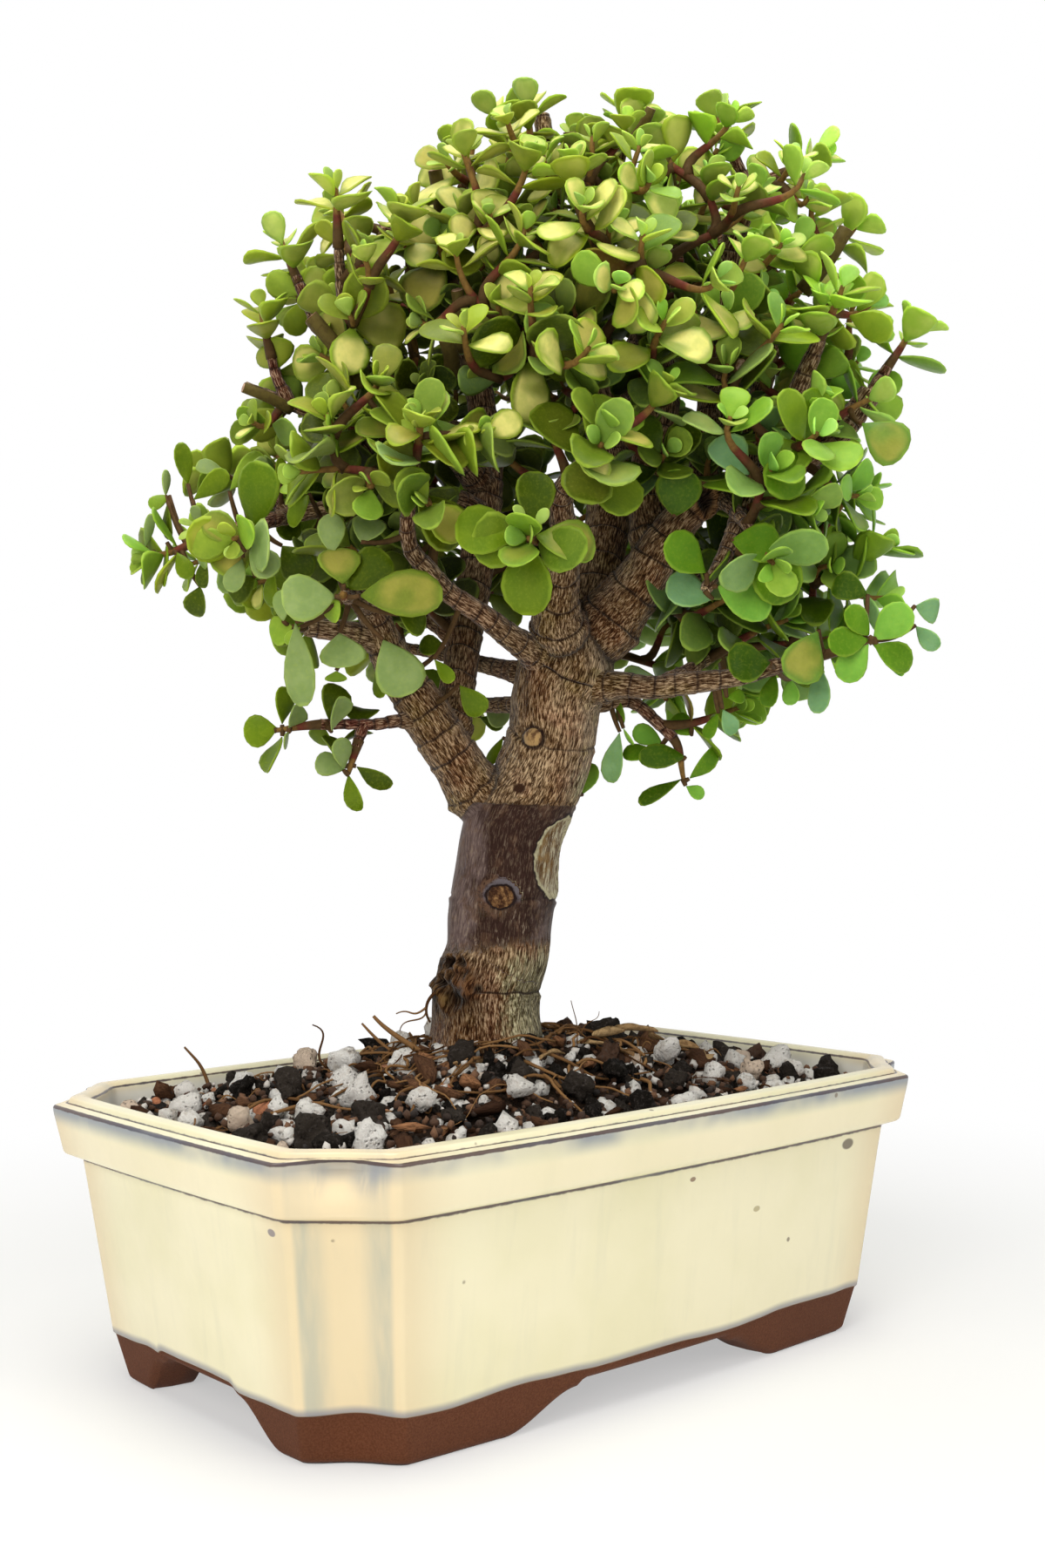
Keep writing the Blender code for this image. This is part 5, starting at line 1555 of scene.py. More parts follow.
def ringsOfTrunk(skin):
    # adds the trunk's own rings to the skin; returns each ring's strength and the overhang of the highest
    rings = np.array(trunkRings)
    side, front = skin.axis[:, :1], skin.axis[:, 1:2]
    gap = skin.up[:, None] - rings[:, 0] + rings[:, 1] * side - rings[:, 2] * front
    nearest = np.abs(gap).argmin(1)
    skin.ringGap = np.where(skin.onTrunk, gap[np.arange(len(gap)), nearest], skin.ringGap)
    strength = rings[nearest, 3] * smoothStep(-2, 2, skin.across - rings[nearest, 4])
    highest = gap[:, -1]
    ledge = (nearest == len(rings) - 1) * skin.onTrunk * smoothStep(14, 4, np.abs(highest))
    ledge = ledge * (0.7 * bump(highest - 1.1, 1.2) - 0.5 * bump(highest + 0.3, 0.5))
    return np.where(skin.onTrunk, strength, 0.95), ledge


def smoothBand(skin):
    # 1 on the dark smooth bark, between two heights that tilt and dip across the trunk
    low, high = woodForm["smoothBand"]
    up, across = skin.up, skin.across
    tilted = up + 2.0 * smoothStep(4, -12, across)
    band = 0.85 * smoothStep(low - 7, low + 3, tilted) + 0.15 * smoothStep(118, 122, up)
    dip = 0.05 * across + 1.3 * np.clip(-6 - across, 0, 4)
    band = band * smoothStep(high + 1.3, high - 1.3, up + dip)
    band -= 0.4 * bump(up - 117.5, 1.8) * bump(across, 7.0)
    sleeve = skin.onTrunk | (skin.limb == thickLimbs.index("left_limb"))
    return band * (sleeve & (up < high + 3))


def scarRelief(kind, spots, share, inside, rough):
    # a rolled collar, a sunk cut face with a rim, a knob and a hollow knot
    collar = 0.75 * bump(share - 1.4, 0.28) * smoothStep(-1.0, 0.2, spots[:, 1])
    height = (kind == 1) * (collar + inside * (0.25 * rough - 0.1) - 0.4 * bump(share - 1.06, 0.1))
    height += (kind == 2) * (inside * (-1.0 + 0.35 * rough) + 0.7 * bump(share - 0.96, 0.07))
    knob = 1.9 * np.sqrt(np.clip(1 - share ** 2, 0, 1)) + 0.3 * inside * rough
    height += (kind == 3) * (knob - 0.45 * bump(share - 1.25, 0.2))
    return height - (kind == 4) * 0.5 * smoothStep(1.1, 0.2, share)


def addBurl(skin, height, tone):
    # a knot of folds with holes in it at the trunk's foot, and the old wound on the right fork; their pits,
    # holes and hollow are darkened as painted shade, and their ridges and lips turn orange, partly the
    # wood's own colour and partly painted highlight
    points, onTrunk = skin.points, skin.onTrunk
    far = np.linalg.norm((points - burl["place"]) / burl["reach"], axis=1)
    knob = smoothStep(1.1, 0.55, far) * onTrunk * (skin.across < skin.centre[:, 0] - 1)
    pitted = layeredNoise(points * (1, 1, 0.8), 3.4, 65, 3)
    ridge = 1 - 2 * np.abs(layeredNoise(points * (1, 1, 0.7), 5.0, 68, 2))
    height = height + knob * (burl["rise"] + burl["folds"] * pitted + burl["folds"] * ridge - 0.9)
    # painted shade in the burl's pits, and its ridges orange, partly the wood's own colour and partly
    # painted highlight
    tone = tinted(tone, barkTones, decay=knob * 0.85,
        ember=knob * smoothStep(0.15, 0.5, pitted + 0.4 * ridge) * 0.9,
        crease=knob * smoothStep(0.05, 0.3, -pitted))
    for *place, size in burl["holes"]:
        away = np.linalg.norm(points - place, axis=1) + 0.5 * pitted
        height -= 1.9 * smoothStep(size * 1.15, size * 0.35, away) * onTrunk
        height += 0.6 * bump(away - size * 1.35, 0.5) * onTrunk
        # each hole's lip orange, partly painted highlight, and painted shade inside the hole
        tone = tinted(tone, barkTones, ember=0.6 * bump(away - size * 1.4, 0.4) * onTrunk,
            crease=smoothStep(size * 1.15, size * 0.7, away) * onTrunk)
    *middle, wide, deep, high = hollowScar
    away = np.linalg.norm((points - middle) / (wide, deep, high), axis=1) + 0.25 * pitted
    height += 1.0 * bump(away - 1.25, 0.35) - 1.8 * smoothStep(1.0, 0.3, away)
    # the wound's lips orange, partly painted highlight, and painted shade in its hollow
    tone = tinted(tone, barkTones, ember=0.9 * bump(away - 1.2, 0.35), crease=smoothStep(1.0, 0.7, away))
    return height, tone, np.maximum(knob, smoothStep(1.7, 1.3, away))


def makeTrunk(paths):
    # the melted skin, pushed in and out along its normals by the bark's relief, the scars and the burl
    mesh = thickWoodMesh(paths)
    normals = readVectors(mesh.vertex_normals, "vector") @ treeAxes.T
    skin = onThickLimbs(readVectors(mesh.vertices, "co") / mm @ treeAxes.T, paths,
        np.random.default_rng(51))
    points, across, up, onTrunk, aside = skin.points, skin.across, skin.up, skin.onTrunk, skin.axis[:, 0]
    strength, ledge = ringsOfTrunk(skin)
    band = smoothBand(skin)
    height, wave = barkRelief(skin.local, skin.radius, skin.ringGap, band)
    # a crease where two limbs part, which the tone below darkens as painted shade
    fork = bump(skin.apart, 0.8) * smoothStep(0.0, 60.0, up - 100)
    fork = fork * np.clip(smoothStep(145, 151, up) + smoothStep(0, 8, across), 0, 1)
    height = (height + ledge) * (1 - 0.6 * fork) - 0.55 * fork
    # paler and greyer to the right of the trunk, redder and darker to its left
    toRight = np.where(onTrunk, aside, 0) * smoothStep(138, 152, up)
    tone = barkTone(skin.local, skin.radius, np.zeros(len(points))) * (1 + 0.016 * toRight)[:, None]
    tone = tinted(tone, barkTones, weathered=0.55 * smoothStep(3, 12, toRight), crease=0.75 * fork)
    moss = smoothStep(113, 98, up) * smoothStep(-10, 12, across) * onTrunk
    moss = np.maximum(moss, 0.75 * bump(up - 150, 5.0) * smoothStep(6, 11, aside) * onTrunk)
    spots, share = scarSpots(points, skin.radius, np.arctan2(aside, -skin.axis[:, 1]), onTrunk)
    inside = smoothStep(1.05, 0.9, share)
    rough = layeredNoise(points * (1, 1, 0.5), 1.6, 63)
    height = height * (1 - inside) + scarRelief(spots[:, 2], spots, share, inside, rough)
    band = band * (1 - inside * (spots[:, 2] > 0))
    strength = strength * smoothStep(1.0, 1.7, share)
    height, tone, knob = addBurl(skin, height, tone)
    # a darker, redder foot that flares where it meets the soil
    shadow = smoothStep(112, 98, up) * smoothStep(6, -9, across) * onTrunk
    root = smoothStep(92, 78, up) * onTrunk
    height += root * (1.6 * smoothStep(-0.2, 0.8, noise(skin.local * (1, 1, 0.12), 7.0, 66)) + 0.6)
    footed = smoothStep(96, 82, up) * smoothStep(7, -7, across) * onTrunk
    height += 1.3 * footed * smoothStep(90, 80, up)
    cut = smoothStep(0.7, 0.25, skin.toEnd)
    tone = tinted(tone * (1 - 0.5 * shadow)[:, None], barkTones, rust=0.75 * footed, cut=0.9 * cut,
        cutDark=cut * smoothStep(0.1, 0.7, noise(points, 1.2, 67)))
    points = points + normals * (height * (1 - cut))[:, None]
    mesh.vertices.foreach_set("co", (intoPot(points) * mm).astype(np.float32).ravel())
    mesh.name = "trunkWood"
    # painted sheen: the lilac bloom is strongest towards the trunk's left and right sides, with some of the
    # bark's own lilac tint
    bloomAndSheenFrom = np.where(onTrunk, aside, across - 6)
    bloomAndSheen = 0.85 * smoothStep(-1, -11, bloomAndSheenFrom) + 0.6 * smoothStep(4, 12, bloomAndSheenFrom)
    # moss below 0 marks the burl, which has no pale dashes
    mood = np.stack([band, bloomAndSheen, moss - knob - 0.45 * shadow], -1)
    way = ringWay(wave, strength * (1 - cut) * (1 - knob))
    values = {"barkTone": tone, "barkPlace": skin.local, "barkMood": mood, "scarSpot": spots,
        "ringWay": way}
    for label, value in values.items():
        setAttribute(mesh, label, value.astype(np.float32))
    mesh.materials.clear()
    mesh.materials.append(barkPaint("ringedBark", True))
    mesh.shade_smooth()
    addToScene("trunkWood", mesh, "bark", ("trunk",))


def signedNearest(along, places):
    # how far past the nearest place each length is, below 0 before it
    gap = along[:, None] - places[None]
    return gap[np.arange(len(along)), np.abs(gap).argmin(1)]


def makeLimbs(paths):
    # the thinner limbs: a tube each, with the same bark, sunk into the wood that it grows from
    luck = np.random.default_rng(52)
    faces = [[], []]
    gathered = {"points": [], "barkTone": [], "barkPlace": [], "ringWay": []}
    used = 0
    for number, (name, path) in enumerate(paths.items()):
        if name in thickLimbs:
            continue
        columns = 14 if path["radius"].max() > 3 else 10
        rings = limbRings(path, columns, name in stubs)
        count = len(rings)
        steps = np.repeat(np.minimum(np.arange(count), len(path["along"]) - 1), columns)
        flat = rings.reshape(-1, 3)
        away = flat - path["points"][steps]
        along, radius = path["along"][steps], path["radius"][steps]
        side, other = ((away * path[way][steps]).sum(-1) for way in ("side", "other"))
        local = np.stack([side, other, along + 53.0 * number], -1)
        youth = smoothStep(2.3, 1.3, radius) * (0.0 if name in stubs else 0.8)
        youth = youth * smoothStep(-0.6, 0.4, noise(local, 9.0, 71))
        height, wave = barkRelief(local, radius, signedNearest(along, ringPlaces(path, luck)),
            0.5 * youth)
        cut = np.repeat(np.arange(count) >= count - 2, columns) * (name in stubs)
        tone = tinted(barkTone(local, radius, youth), barkTones, cut=0.85 * cut,
            cutDark=cut * smoothStep(-0.1, 0.5, noise(flat, 1.0, 72)))
        rings = (flat + unit(away) * (height * (1 - cut))[:, None]).reshape(rings.shape)
        for group, into in zip(podFaces(count, columns), faces):
            into.append(group + used)
        gathered["points"].append(podPoints(rings))
        ringed = ringWay(wave, 0.9 * (1 - cut))
        for label, values in (("barkTone", tone), ("barkPlace", local), ("ringWay", ringed)):
            gathered[label].append(np.concatenate([values, values[:1], values[-1:]]))
        used += len(gathered["points"][-1])
    gathered = {label: np.concatenate(values) for label, values in gathered.items()}
    points = intoPot(gathered.pop("points"))
    faces = [np.concatenate(group) for group in faces]
    makePiece("upperLimbs", points, faces, barkPaint("limbBark"), "bark", gathered)


paths = limbPaths(0.9)
makeTrunk(paths)
makeLimbs(paths)
print("wood made")


# Foliage

leafForm = {
    "rows": (0.015, 0.11, 0.27, 0.45, 0.63, 0.80, 0.93, 0.988),  # shares of the length
    "section": ((1, 0), (0.82, 0.7), (0, 1), (-0.82, 0.7), (-1, 0), (-0.82, -0.7), (0, -1), (0.82, -0.7)),
    "widest": (0.60, 0.74),  # where along its length each leaf is widest
    "taper": (0.8, 1.25),  # half width = width sin(pi/2 t/widest)^taper up to there, an ellipse beyond
    "width": (0.33, 0.46),  # half width as a share of the length
    "thick": 1.5,
    "cup": (0.0, 0.5),
    "bend": (-0.30, 0.16),
    "through": 0.14,
    "throughDepth": 1.6,
}
shootForm = {
    # from the tip back to each leaf pair, for 15 mm leaves
    "nodes": (0.4, 2.1, 5.4, 10.0, 15.5, 21.5, 28.0, 35.0),
    "sizes": (0.38, 0.68, 0.94, 1.0, 1.0, 0.95, 0.9, 0.85),
    "leans": (20.0, 42.0, 60.0, 70.0, 76.0, 80.0, 82.0, 84.0),
    "keep": (1.0, 1.0, 0.97, 0.93, 0.82, 0.7, 0.6, 0.5),  # chance that a leaf of that pair is still there
    "skew": 12.0,
    "light": 0.22,  # how far leaves turn their faces to the sky
}
shoots = {  # limb: length, leaf pairs, longest leaf
    "left_limb": (14, 3, 18), "front_fork": (16, 4, 17), "front_low": (11, 3, 18),
    "trunk_left": (15, 4, 16), "left_level": (18, 4, 13), "far_left": (17, 4, 13),
    "low_left": (15, 3, 13), "low_left_drop": (11, 3, 13), "hanging": (16, 3, 14),
    "right_level": (19, 4, 15), "right_fold": (16, 3, 14), "right_mid": (16, 4, 16),
    "right_high": (12, 4, 13), "centre_right": (15, 4, 15), "mid_up": (12, 4, 14),
    "top_left": (14, 4, 14), "short_upper": (17, 4, 15), "short_lower": (16, 3, 14),
    "rear_low": (19, 4, 16), "rear_right": (19, 4, 15), "rear_high": (17, 4, 16), "rear_top": (16, 4, 14),
    "rear_left": (19, 4, 15), "rear_left_top": (15, 4, 14), "rear_centre": (17, 4, 16),
    "rear_mid": (17, 4, 15), "rear_left_low": (17, 4, 15), "front_twig": (15, 4, 15),
    "mid_front_twig": (15, 4, 15), "high_front_twig": (13, 4, 14), "right_front_twig": (15, 4, 15),
    "right_low_twig": (14, 3, 16), "right_under_twig": (12, 3, 16), "left_front_twig": (12, 3, 16),
    "upper_left_twig": (14, 4, 15), "upper_front_twig": (14, 4, 15), "far_upper_twig": (13, 3, 14),
    "top_left_twig": (10, 3, 12), "crown_twig": (11, 3, 13), "top_right_twig": (13, 3, 13),
    "top_right_crown": (11, 3, 13), "right_tip_twig": (15, 3, 14), "left_high_twig": (13, 3, 13),
}
canopy = {
    "middle": (10.0, 5.0, 245.0),
    "depth": 78.0,
    "shell": (0.52, 0.93),
    "spacing": ((200, 15.5), (325, 12.4)),  # between tips, by height
    "tries": 11000,
    "leaf": ((195, 15.5), (325, 10.2)),  # longest leaf, by height
    "lift": ((220, 0.35), (325, 1.5)),  # how far tips point up, by height
    "leafLuck": (0.86, 1.16),
    "farLeft": (-48, 0.8),  # leaves left of here are this much smaller
    "thinWood": 6.0,  # twigs grow from limbs thinner than this
    "woodFrom": 165,  # and above here
    "seed": 91,
}
canopyOutline = (  # its outer edge seen from the front: (across, up)
    (-96, 210), (-83, 243), (-66, 260), (-59, 291), (-52, 307), (-41, 316), (-20, 323), (-13, 329),
    (1, 340), (31, 345), (48, 339), (65, 339), (82, 331), (96, 325), (103, 304), (108, 290), (116, 272),
    (113, 259), (114, 240), (112, 205), (116, 188), (90, 171), (64, 159), (43, 145), (10, 150),
    (-28, 150), (-36, 145), (-59, 153), (-66, 166), (-53, 172), (-60, 191), (-80, 198))
# clusters that stand out in front: (across, back, up), way they face, leaf pairs, longest leaf
frontRosettes = (
    ((10.0, -52.0, 212.0), (0.05, -1.0, 0.12), 1, 10.0),
    ((27.0, -62.0, 231.0), (0.1, -1.0, 0.25), 4, 17.0),
    ((-16.5, -62.0, 236.0), (-0.1, -1.0, 0.35), 4, 16.0),
    ((69.5, -47.0, 227.5), (0.3, -1.0, 0.3), 4, 16.0),
    ((86.5, -30.0, 273.5), (0.4, -0.7, 0.8), 4, 14.0),
    ((41.0, -45.0, 279.5), (0.1, -0.6, 0.9), 4, 15.0),
    ((-35.0, -36.0, 270.0), (-0.4, -0.6, 0.9), 4, 15.5),
    ((-29.0, -30.0, 287.0), (-0.3, -0.6, 0.9), 4, 14.0),
    ((-6.5, -30.0, 298.0), (-0.1, -0.5, 1.0), 4, 14.0),
    ((24.0, -36.0, 295.0), (0.0, -0.5, 1.0), 4, 14.5),
    ((2.5, -50.0, 268.0), (0.0, -0.7, 0.8), 4, 16.0),
    ((13.0, -56.0, 255.0), (0.1, -0.8, 0.7), 4, 17.0),
    ((59.0, -46.0, 253.5), (0.3, -0.7, 0.7), 4, 15.0),
)
# where some shoots end instead, each with leaves of its own in setLeaves
bareShoots = {
    "left_limb": (-36, -52, 197.5),
    "low_left": (-57, -22, 165.5),
    "low_left_drop": (-38, -22, 154.0),
    "hanging": (51.5, 4, 151.5),
    "right_level": (96, -36, 186),
}
# leaves that stand alone or make up the clusters in front: root, tip, width, turn about the length, tone
setLeaves = (
    ((-56, -22, 166), (-65, -22, 165), 9, 0, "green"), ((-55, -22, 167), (-54, -22, 177), 8, 60, "green"),
    ((-55, -22, 164), (-58, -22, 154), 8, 62, "green"),
    ((-53, -24, 166), (-49, -26, 171), 7, 75, "greyed"),
    ((-53, -24, 165), (-54, -26, 161), 7, 75, "greyed"),
    ((-45, -18, 167), (-46, -14, 162), 7, 20, "green"), ((-43, -20, 168), (-40, -18, 178), 9, 35, "deep"),
    ((-42, -24, 165), (-39, -28, 174), 7, 68, "greyed"),
    ((-36, -18, 167), (-35, -10, 174), 11, 0, "deep"), ((-36, -18, 166), (-36, -12, 163), 9, 0, "deep"),
    ((-39, -22, 155), (-46, -24, 158), 7, 10, "greyed"),
    ((-39, -23, 155), (-39, -27, 163), 6, 25, "greyed"),
    ((-36, -21, 156), (-27, -21, 150), 5, 30, "deep"), ((-38, -22, 154), (-36, -22, 144), 5, 30, "green"),
    ((-39, -20, 156), (-44, -18, 165), 6, 45, "deep"),
    ((-38, -50, 197), (-51, -52, 196), 13, 0, "greyed"),
    ((-32, -50, 197), (-12, -54, 197), 12, 10, "olive"),
    ((-35, -47, 199), (-26, -44, 208), 11, 10, "deep"),
    ((-36, -49, 200), (-38, -47, 210), 11, 25, "olive"),
    ((-37, -49, 196), (-41, -48, 192), 7, 0, "bright"), ((-23, -44, 193), (-16, -42, 190), 8, 0, "deep"),
    ((-39, -46, 208), (-39, -46, 218), 7, 0, "greyed"),
    ((-32, -44, 211), (-29, -40, 218), 9, 0, "greyed"),
    ((-48, -48, 191), (-46, -50, 170), 8, 20, "greyed"),
    ((-38, -40, 189), (-37, -40, 180), 12, 0, "greyed"),
    ((-27, -42, 187), (-21, -44, 173), 13, 0, "greyed"),
    ((-41, -20, 181), (-41, -20, 178), 6, 0, "bright"),
    ((-31, -16, 182), (-29, -16, 174), 5, 40, "green"),
    ((-50, -38, 191), (-56, -38, 189), 9, 10, "bright"),
    ((-52, -40, 192), (-53, -40, 200), 5, 0, "greyed"),
    ((-47, -46, 190), (-51, -46, 186), 3, 20, "bright"), ((-9, -20, 177), (-3, -18, 169), 7, 15, "green"),
    ((-3, 30, 174), (3, 30, 169), 7, 0, "greyed"), ((-5, 34, 171), (2, 34, 168), 5, 20, "deep"),
    ((2, 8, 164), (-2, 8, 156), 4, 25, "green"), ((-15, -30, 183), (-10, -30, 177), 4, 15, "green"),
    ((-13, -10, 188), (-20, -10, 188), 6, 10, "deep"), ((34, 2, 174), (34, 2, 167), 3, 30, "green"),
    ((34, 2, 165), (31, 2, 151), 6, 10, "greyed"), ((35, 2, 166), (37, 2, 161), 2, 50, "bright"),
    ((24, 14, 148), (27, 14, 157), 6, 0, "bright"), ((52, 3, 158), (39, 1, 158), 7, 0, "deep"),
    ((53, 4, 152), (62, 4, 160), 5, 30, "green"), ((51, 4, 152), (39, 2, 145), 5, 25, "deep"),
    ((52, 4, 150), (57, 4, 147), 4, 0, "bright"), ((54, 6, 164), (49, 8, 169), 7, 10, "green"),
    ((46, 8, 162), (38, 8, 166), 6, 0, "bright"), ((44, 6, 160), (35, 6, 158), 6, 20, "green"),
    ((59, -16, 169), (56, -16, 162), 4, 20, "green"), ((60, -17, 170), (63, -17, 163), 5, 0, "greyed"),
    ((61, -18, 173), (66, -18, 173), 4, 0, "green"), ((85, -22, 180), (84, -22, 168), 6, 15, "greyed"),
    ((74, -16, 179), (72, -16, 170), 5, 15, "green"), ((79, -10, 178), (79, -10, 171), 5, 0, "bright"),
    ((71, -30, 181), (60, -32, 181), 12, 0, "deep"), ((83, -32, 189), (76, -34, 176), 12, 0, "olive"),
    ((96, -36, 186), (105, -38, 194), 9, 0, "bright"), ((95, -36, 186), (84, -38, 185), 8, 0, "green"),
    ((96, -36, 185), (106, -36, 179), 8, 0, "green"), ((95, -36, 185), (88, -34, 176), 8, 5, "bright"),
    ((95, -36, 187), (89, -38, 194), 7, 0, "green"), ((108, -30, 195), (114, -28, 193), 7, 0, "greyed"),
    ((108, -30, 190), (114, -30, 184), 5, 30, "greyed"),
    ((99, -34, 183), (104, -34, 177), 3, 40, "bright"), ((57, -36, 200), (70, -38, 193), 11, 0, "bright"),
    ((56, -34, 197), (44, -36, 200), 11, 5, "greyed"), ((54, -38, 203), (43, -42, 211), 11, 0, "green"),
    ((60, -40, 211), (72, -42, 209), 11, 0, "green"), ((46, -40, 217), (48, -44, 228), 12, 0, "deep"),
    ((65, -40, 227), (56, -42, 236), 10, 0, "greyed"), ((95, -30, 242), (106, -32, 234), 13, 0, "olive"),
    ((96, -30, 198), (87, -30, 201), 8, 0, "deep"), ((-81, -10, 232), (-83, -10, 243), 5, 15, "green"),
    ((-79, -14, 227), (-69, -16, 234), 6, 20, "green"),
    ((-70, -12, 234), (-78, -14, 237), 5, 25, "greyed"),
    ((-69, -16, 229), (-60, -16, 239), 6, 25, "bright"),
    ((-65, -20, 228), (-58, -22, 236), 5, 45, "greyed"),
    ((-56, -14, 231), (-56, -14, 238), 3, 20, "green"), ((-63, -34, 212), (-72, -38, 219), 8, 5, "olive"),
    ((-61, -35, 211), (-54, -38, 204), 8, 5, "greyed"),
    ((-61, -36, 212), (-61, -38, 218), 4, 15, "young"),
    ((-62, -36, 210), (-67, -38, 210), 4, 15, "young"),
    ((-63, -33, 209), (-66, -34, 200), 6, 10, "greyed"), ((-61, -26, 205), (-68, -24, 200), 8, 0, "deep"),
    ((-56, -28, 207), (-58, -28, 197), 5, 25, "green"), ((-54, -26, 213), (-48, -26, 204), 10, 0, "deep"),
    ((-77, -16, 204), (-79, -16, 196), 7, 15, "deep"), ((-75, -20, 211), (-76, -20, 203), 4, 20, "deep"),
    ((-83, -16, 213), (-79, -18, 206), 5, 15, "green"),
    ((-86, -14, 216), (-86, -14, 204), 3, 55, "green"),
    ((-90, -12, 214), (-96, -14, 209), 3, 10, "bright"),
    ((-92, -12, 215), (-91, -12, 224), 3, 35, "greyed"),
    ((-91, -12, 213), (-93, -12, 205), 3, 55, "green"),
    ((-76, -22, 219), (-77, -24, 224), 3, 10, "greyed"),
    ((-76, -22, 219), (-81, -24, 220), 2, 10, "young"),
    ((-76, -22, 218), (-81, -24, 216), 2, 10, "young"),
    ((-86, -10, 229), (-91, -12, 226), 4, 5, "bright"),
    ((-87, -10, 229), (-87, -10, 236), 3, 55, "greyed"),
    ((-86, -12, 227), (-87, -12, 217), 4, 50, "deep"),
    ((-46, -34, 225), (-53, -36, 226), 4, 20, "bright"),
    ((-46, -34, 225), (-51, -36, 217), 5, 10, "green"),
    ((-29, -36, 231), (-42, -40, 227), 8, 25, "olive"), ((-20, -44, 235), (-24, -46, 224), 9, 5, "olive"),
    ((-22, -44, 238), (-33, -48, 238), 7, 20, "olive"), ((8, -58, 211), (-8, -62, 211), 13, -8, "green"),
    ((11, -58, 210), (25, -62, 207), 12, -12, "olive"), ((11, -56, 212), (11, -54, 226), 10, 8, "deep"),
    ((9, -57, 209), (8, -58, 191), 13, 0, "green"), ((9, -58, 212), (6, -60, 217), 3, 10, "young"),
    ((11, -58, 212), (14, -60, 216), 3, 10, "young"),
)
# twigs cut short: end, foot, radius
cutTwigs = (
    ((-14, -14, 314), (-13, -4, 298), 1.9), ((-45, -34, 270), (-33, -26, 254), 2.0),
    ((-8, -28, 278), (-8, -18, 265), 1.7), ((-11, -30, 265), (-10, -22, 257), 2.0),
    ((-17, -20, 299), (-18, -14, 294), 1.4), ((-63, -30, 253), (-52, -22, 249), 1.4),
    ((46, -16, 317), (49, -6, 300), 2.1), ((44, -8, 332), (38, -2, 324), 1.4),
    ((22, -10, 325), (20, -4, 312), 1.8), ((95, -14, 297), (84, -8, 282), 2.1),
    ((63, -42, 254), (54, -30, 257), 2.0), ((39, -24, 274), (45, -10, 252), 2.8),
)
# how much redder, greener and bluer the leaves are at four places across the tree
leafSides = [((-90, -40, 0, 100), shares) for shares in
             ((1.30, 1.02, 1.0, 1.26), (1.34, 1.02, 1.0, 1.62), (1.1, 0.8, 0.85, 1.5))]
leafTones = {
    "deep": (0.058, 0.088, 0.002),
    "green": (0.135, 0.205, 0.006),
    "bright": (0.25, 0.375, 0.035),
    "young": (0.46, 0.59, 0.13),
    "olive": (0.33, 0.35, 0.025),
    "ochre": (0.44, 0.37, 0.075),
    "golden": (0.86, 0.79, 0.25),
    "greyed": (0.235, 0.315, 0.105),
    "withered": (0.16, 0.07, 0.03),
}


def canopyShare(points):
    # 0 in the middle of the canopy and 1 on its outside: an ellipse in depth on the outline's own radius
    outline = np.array(canopyOutline, float) - np.array(canopy["middle"])[[0, 2]]
    turn = np.arctan2(outline[:, 1], outline[:, 0])
    order = np.argsort(turn)
    off = points - canopy["middle"]
    reach = np.interp(np.arctan2(off[:, 2], off[:, 0]), turn[order], np.hypot(*outline.T)[order],
        period=math.tau)
    return np.hypot(np.hypot(off[:, 0], off[:, 2]) / reach, off[:, 1] / canopy["depth"])


def keptOpen(points):
    # where the forks and the space around the trunk show between the leaves
    across, back, up = points.T
    low = (up < 203) & (across > -50) & (across < 46)
    forks = (back < 12) & (across > -12) & (across < 52) & (up < 232)
    under = (up < 186) & (across < 46)
    right = (up < 172) & (across < 60)
    leftLimb = (back < 20) & (across > -22) & (across < -4) & (up < 218)
    return low | forks | under | right | leftLimb


def fillTips(taken, luck):
    # random places in the canopy's outer shell, each kept if it is clear of those kept before it
    low, high = np.array((-98, -76, 165)), np.array((120, 88, 342))
    spots = luck.uniform(low, high, (canopy["tries"], 3))
    share = canopyShare(spots)
    spots = spots[(share > canopy["shell"][0]) & (share < canopy["shell"][1]) & ~keptOpen(spots)]
    kept = list(taken)
    gaps = np.interp(spots[:, 2], *np.array(canopy["spacing"]).T)
    for spot, gap in zip(spots, gaps):
        if np.linalg.norm(np.array(kept) - spot, axis=1).min() > gap:
            kept.append(spot)
    return np.array(kept[len(taken):])


def twigPath(base, leave, tip, facing, points=9):
    # a cubic Bezier curve that leaves the limb one way and ends facing another
    reach = np.linalg.norm(tip - base)
    t = np.linspace(0, 1, points)[:, None]
    first = base + unit(leave) * reach * 0.4
    last = tip - unit(facing) * reach * 0.45
    return base * (1 - t) ** 3 + first * 3 * t * (1 - t) ** 2 + last * 3 * t ** 2 * (1 - t) + tip * t ** 3


def alongPath(path, fromTip):
    # the point and the way ahead at that distance back from the tip, and the path's length
    at = lengthsAlong(path)
    where = np.clip(at[-1] - fromTip, 0, at[-1])
    place, way = (np.array([np.interp(where, at, line[:, k]) for k in range(3)])
        for line in (path, np.gradient(path, axis=0)))
    return place, unit(way), at[-1]


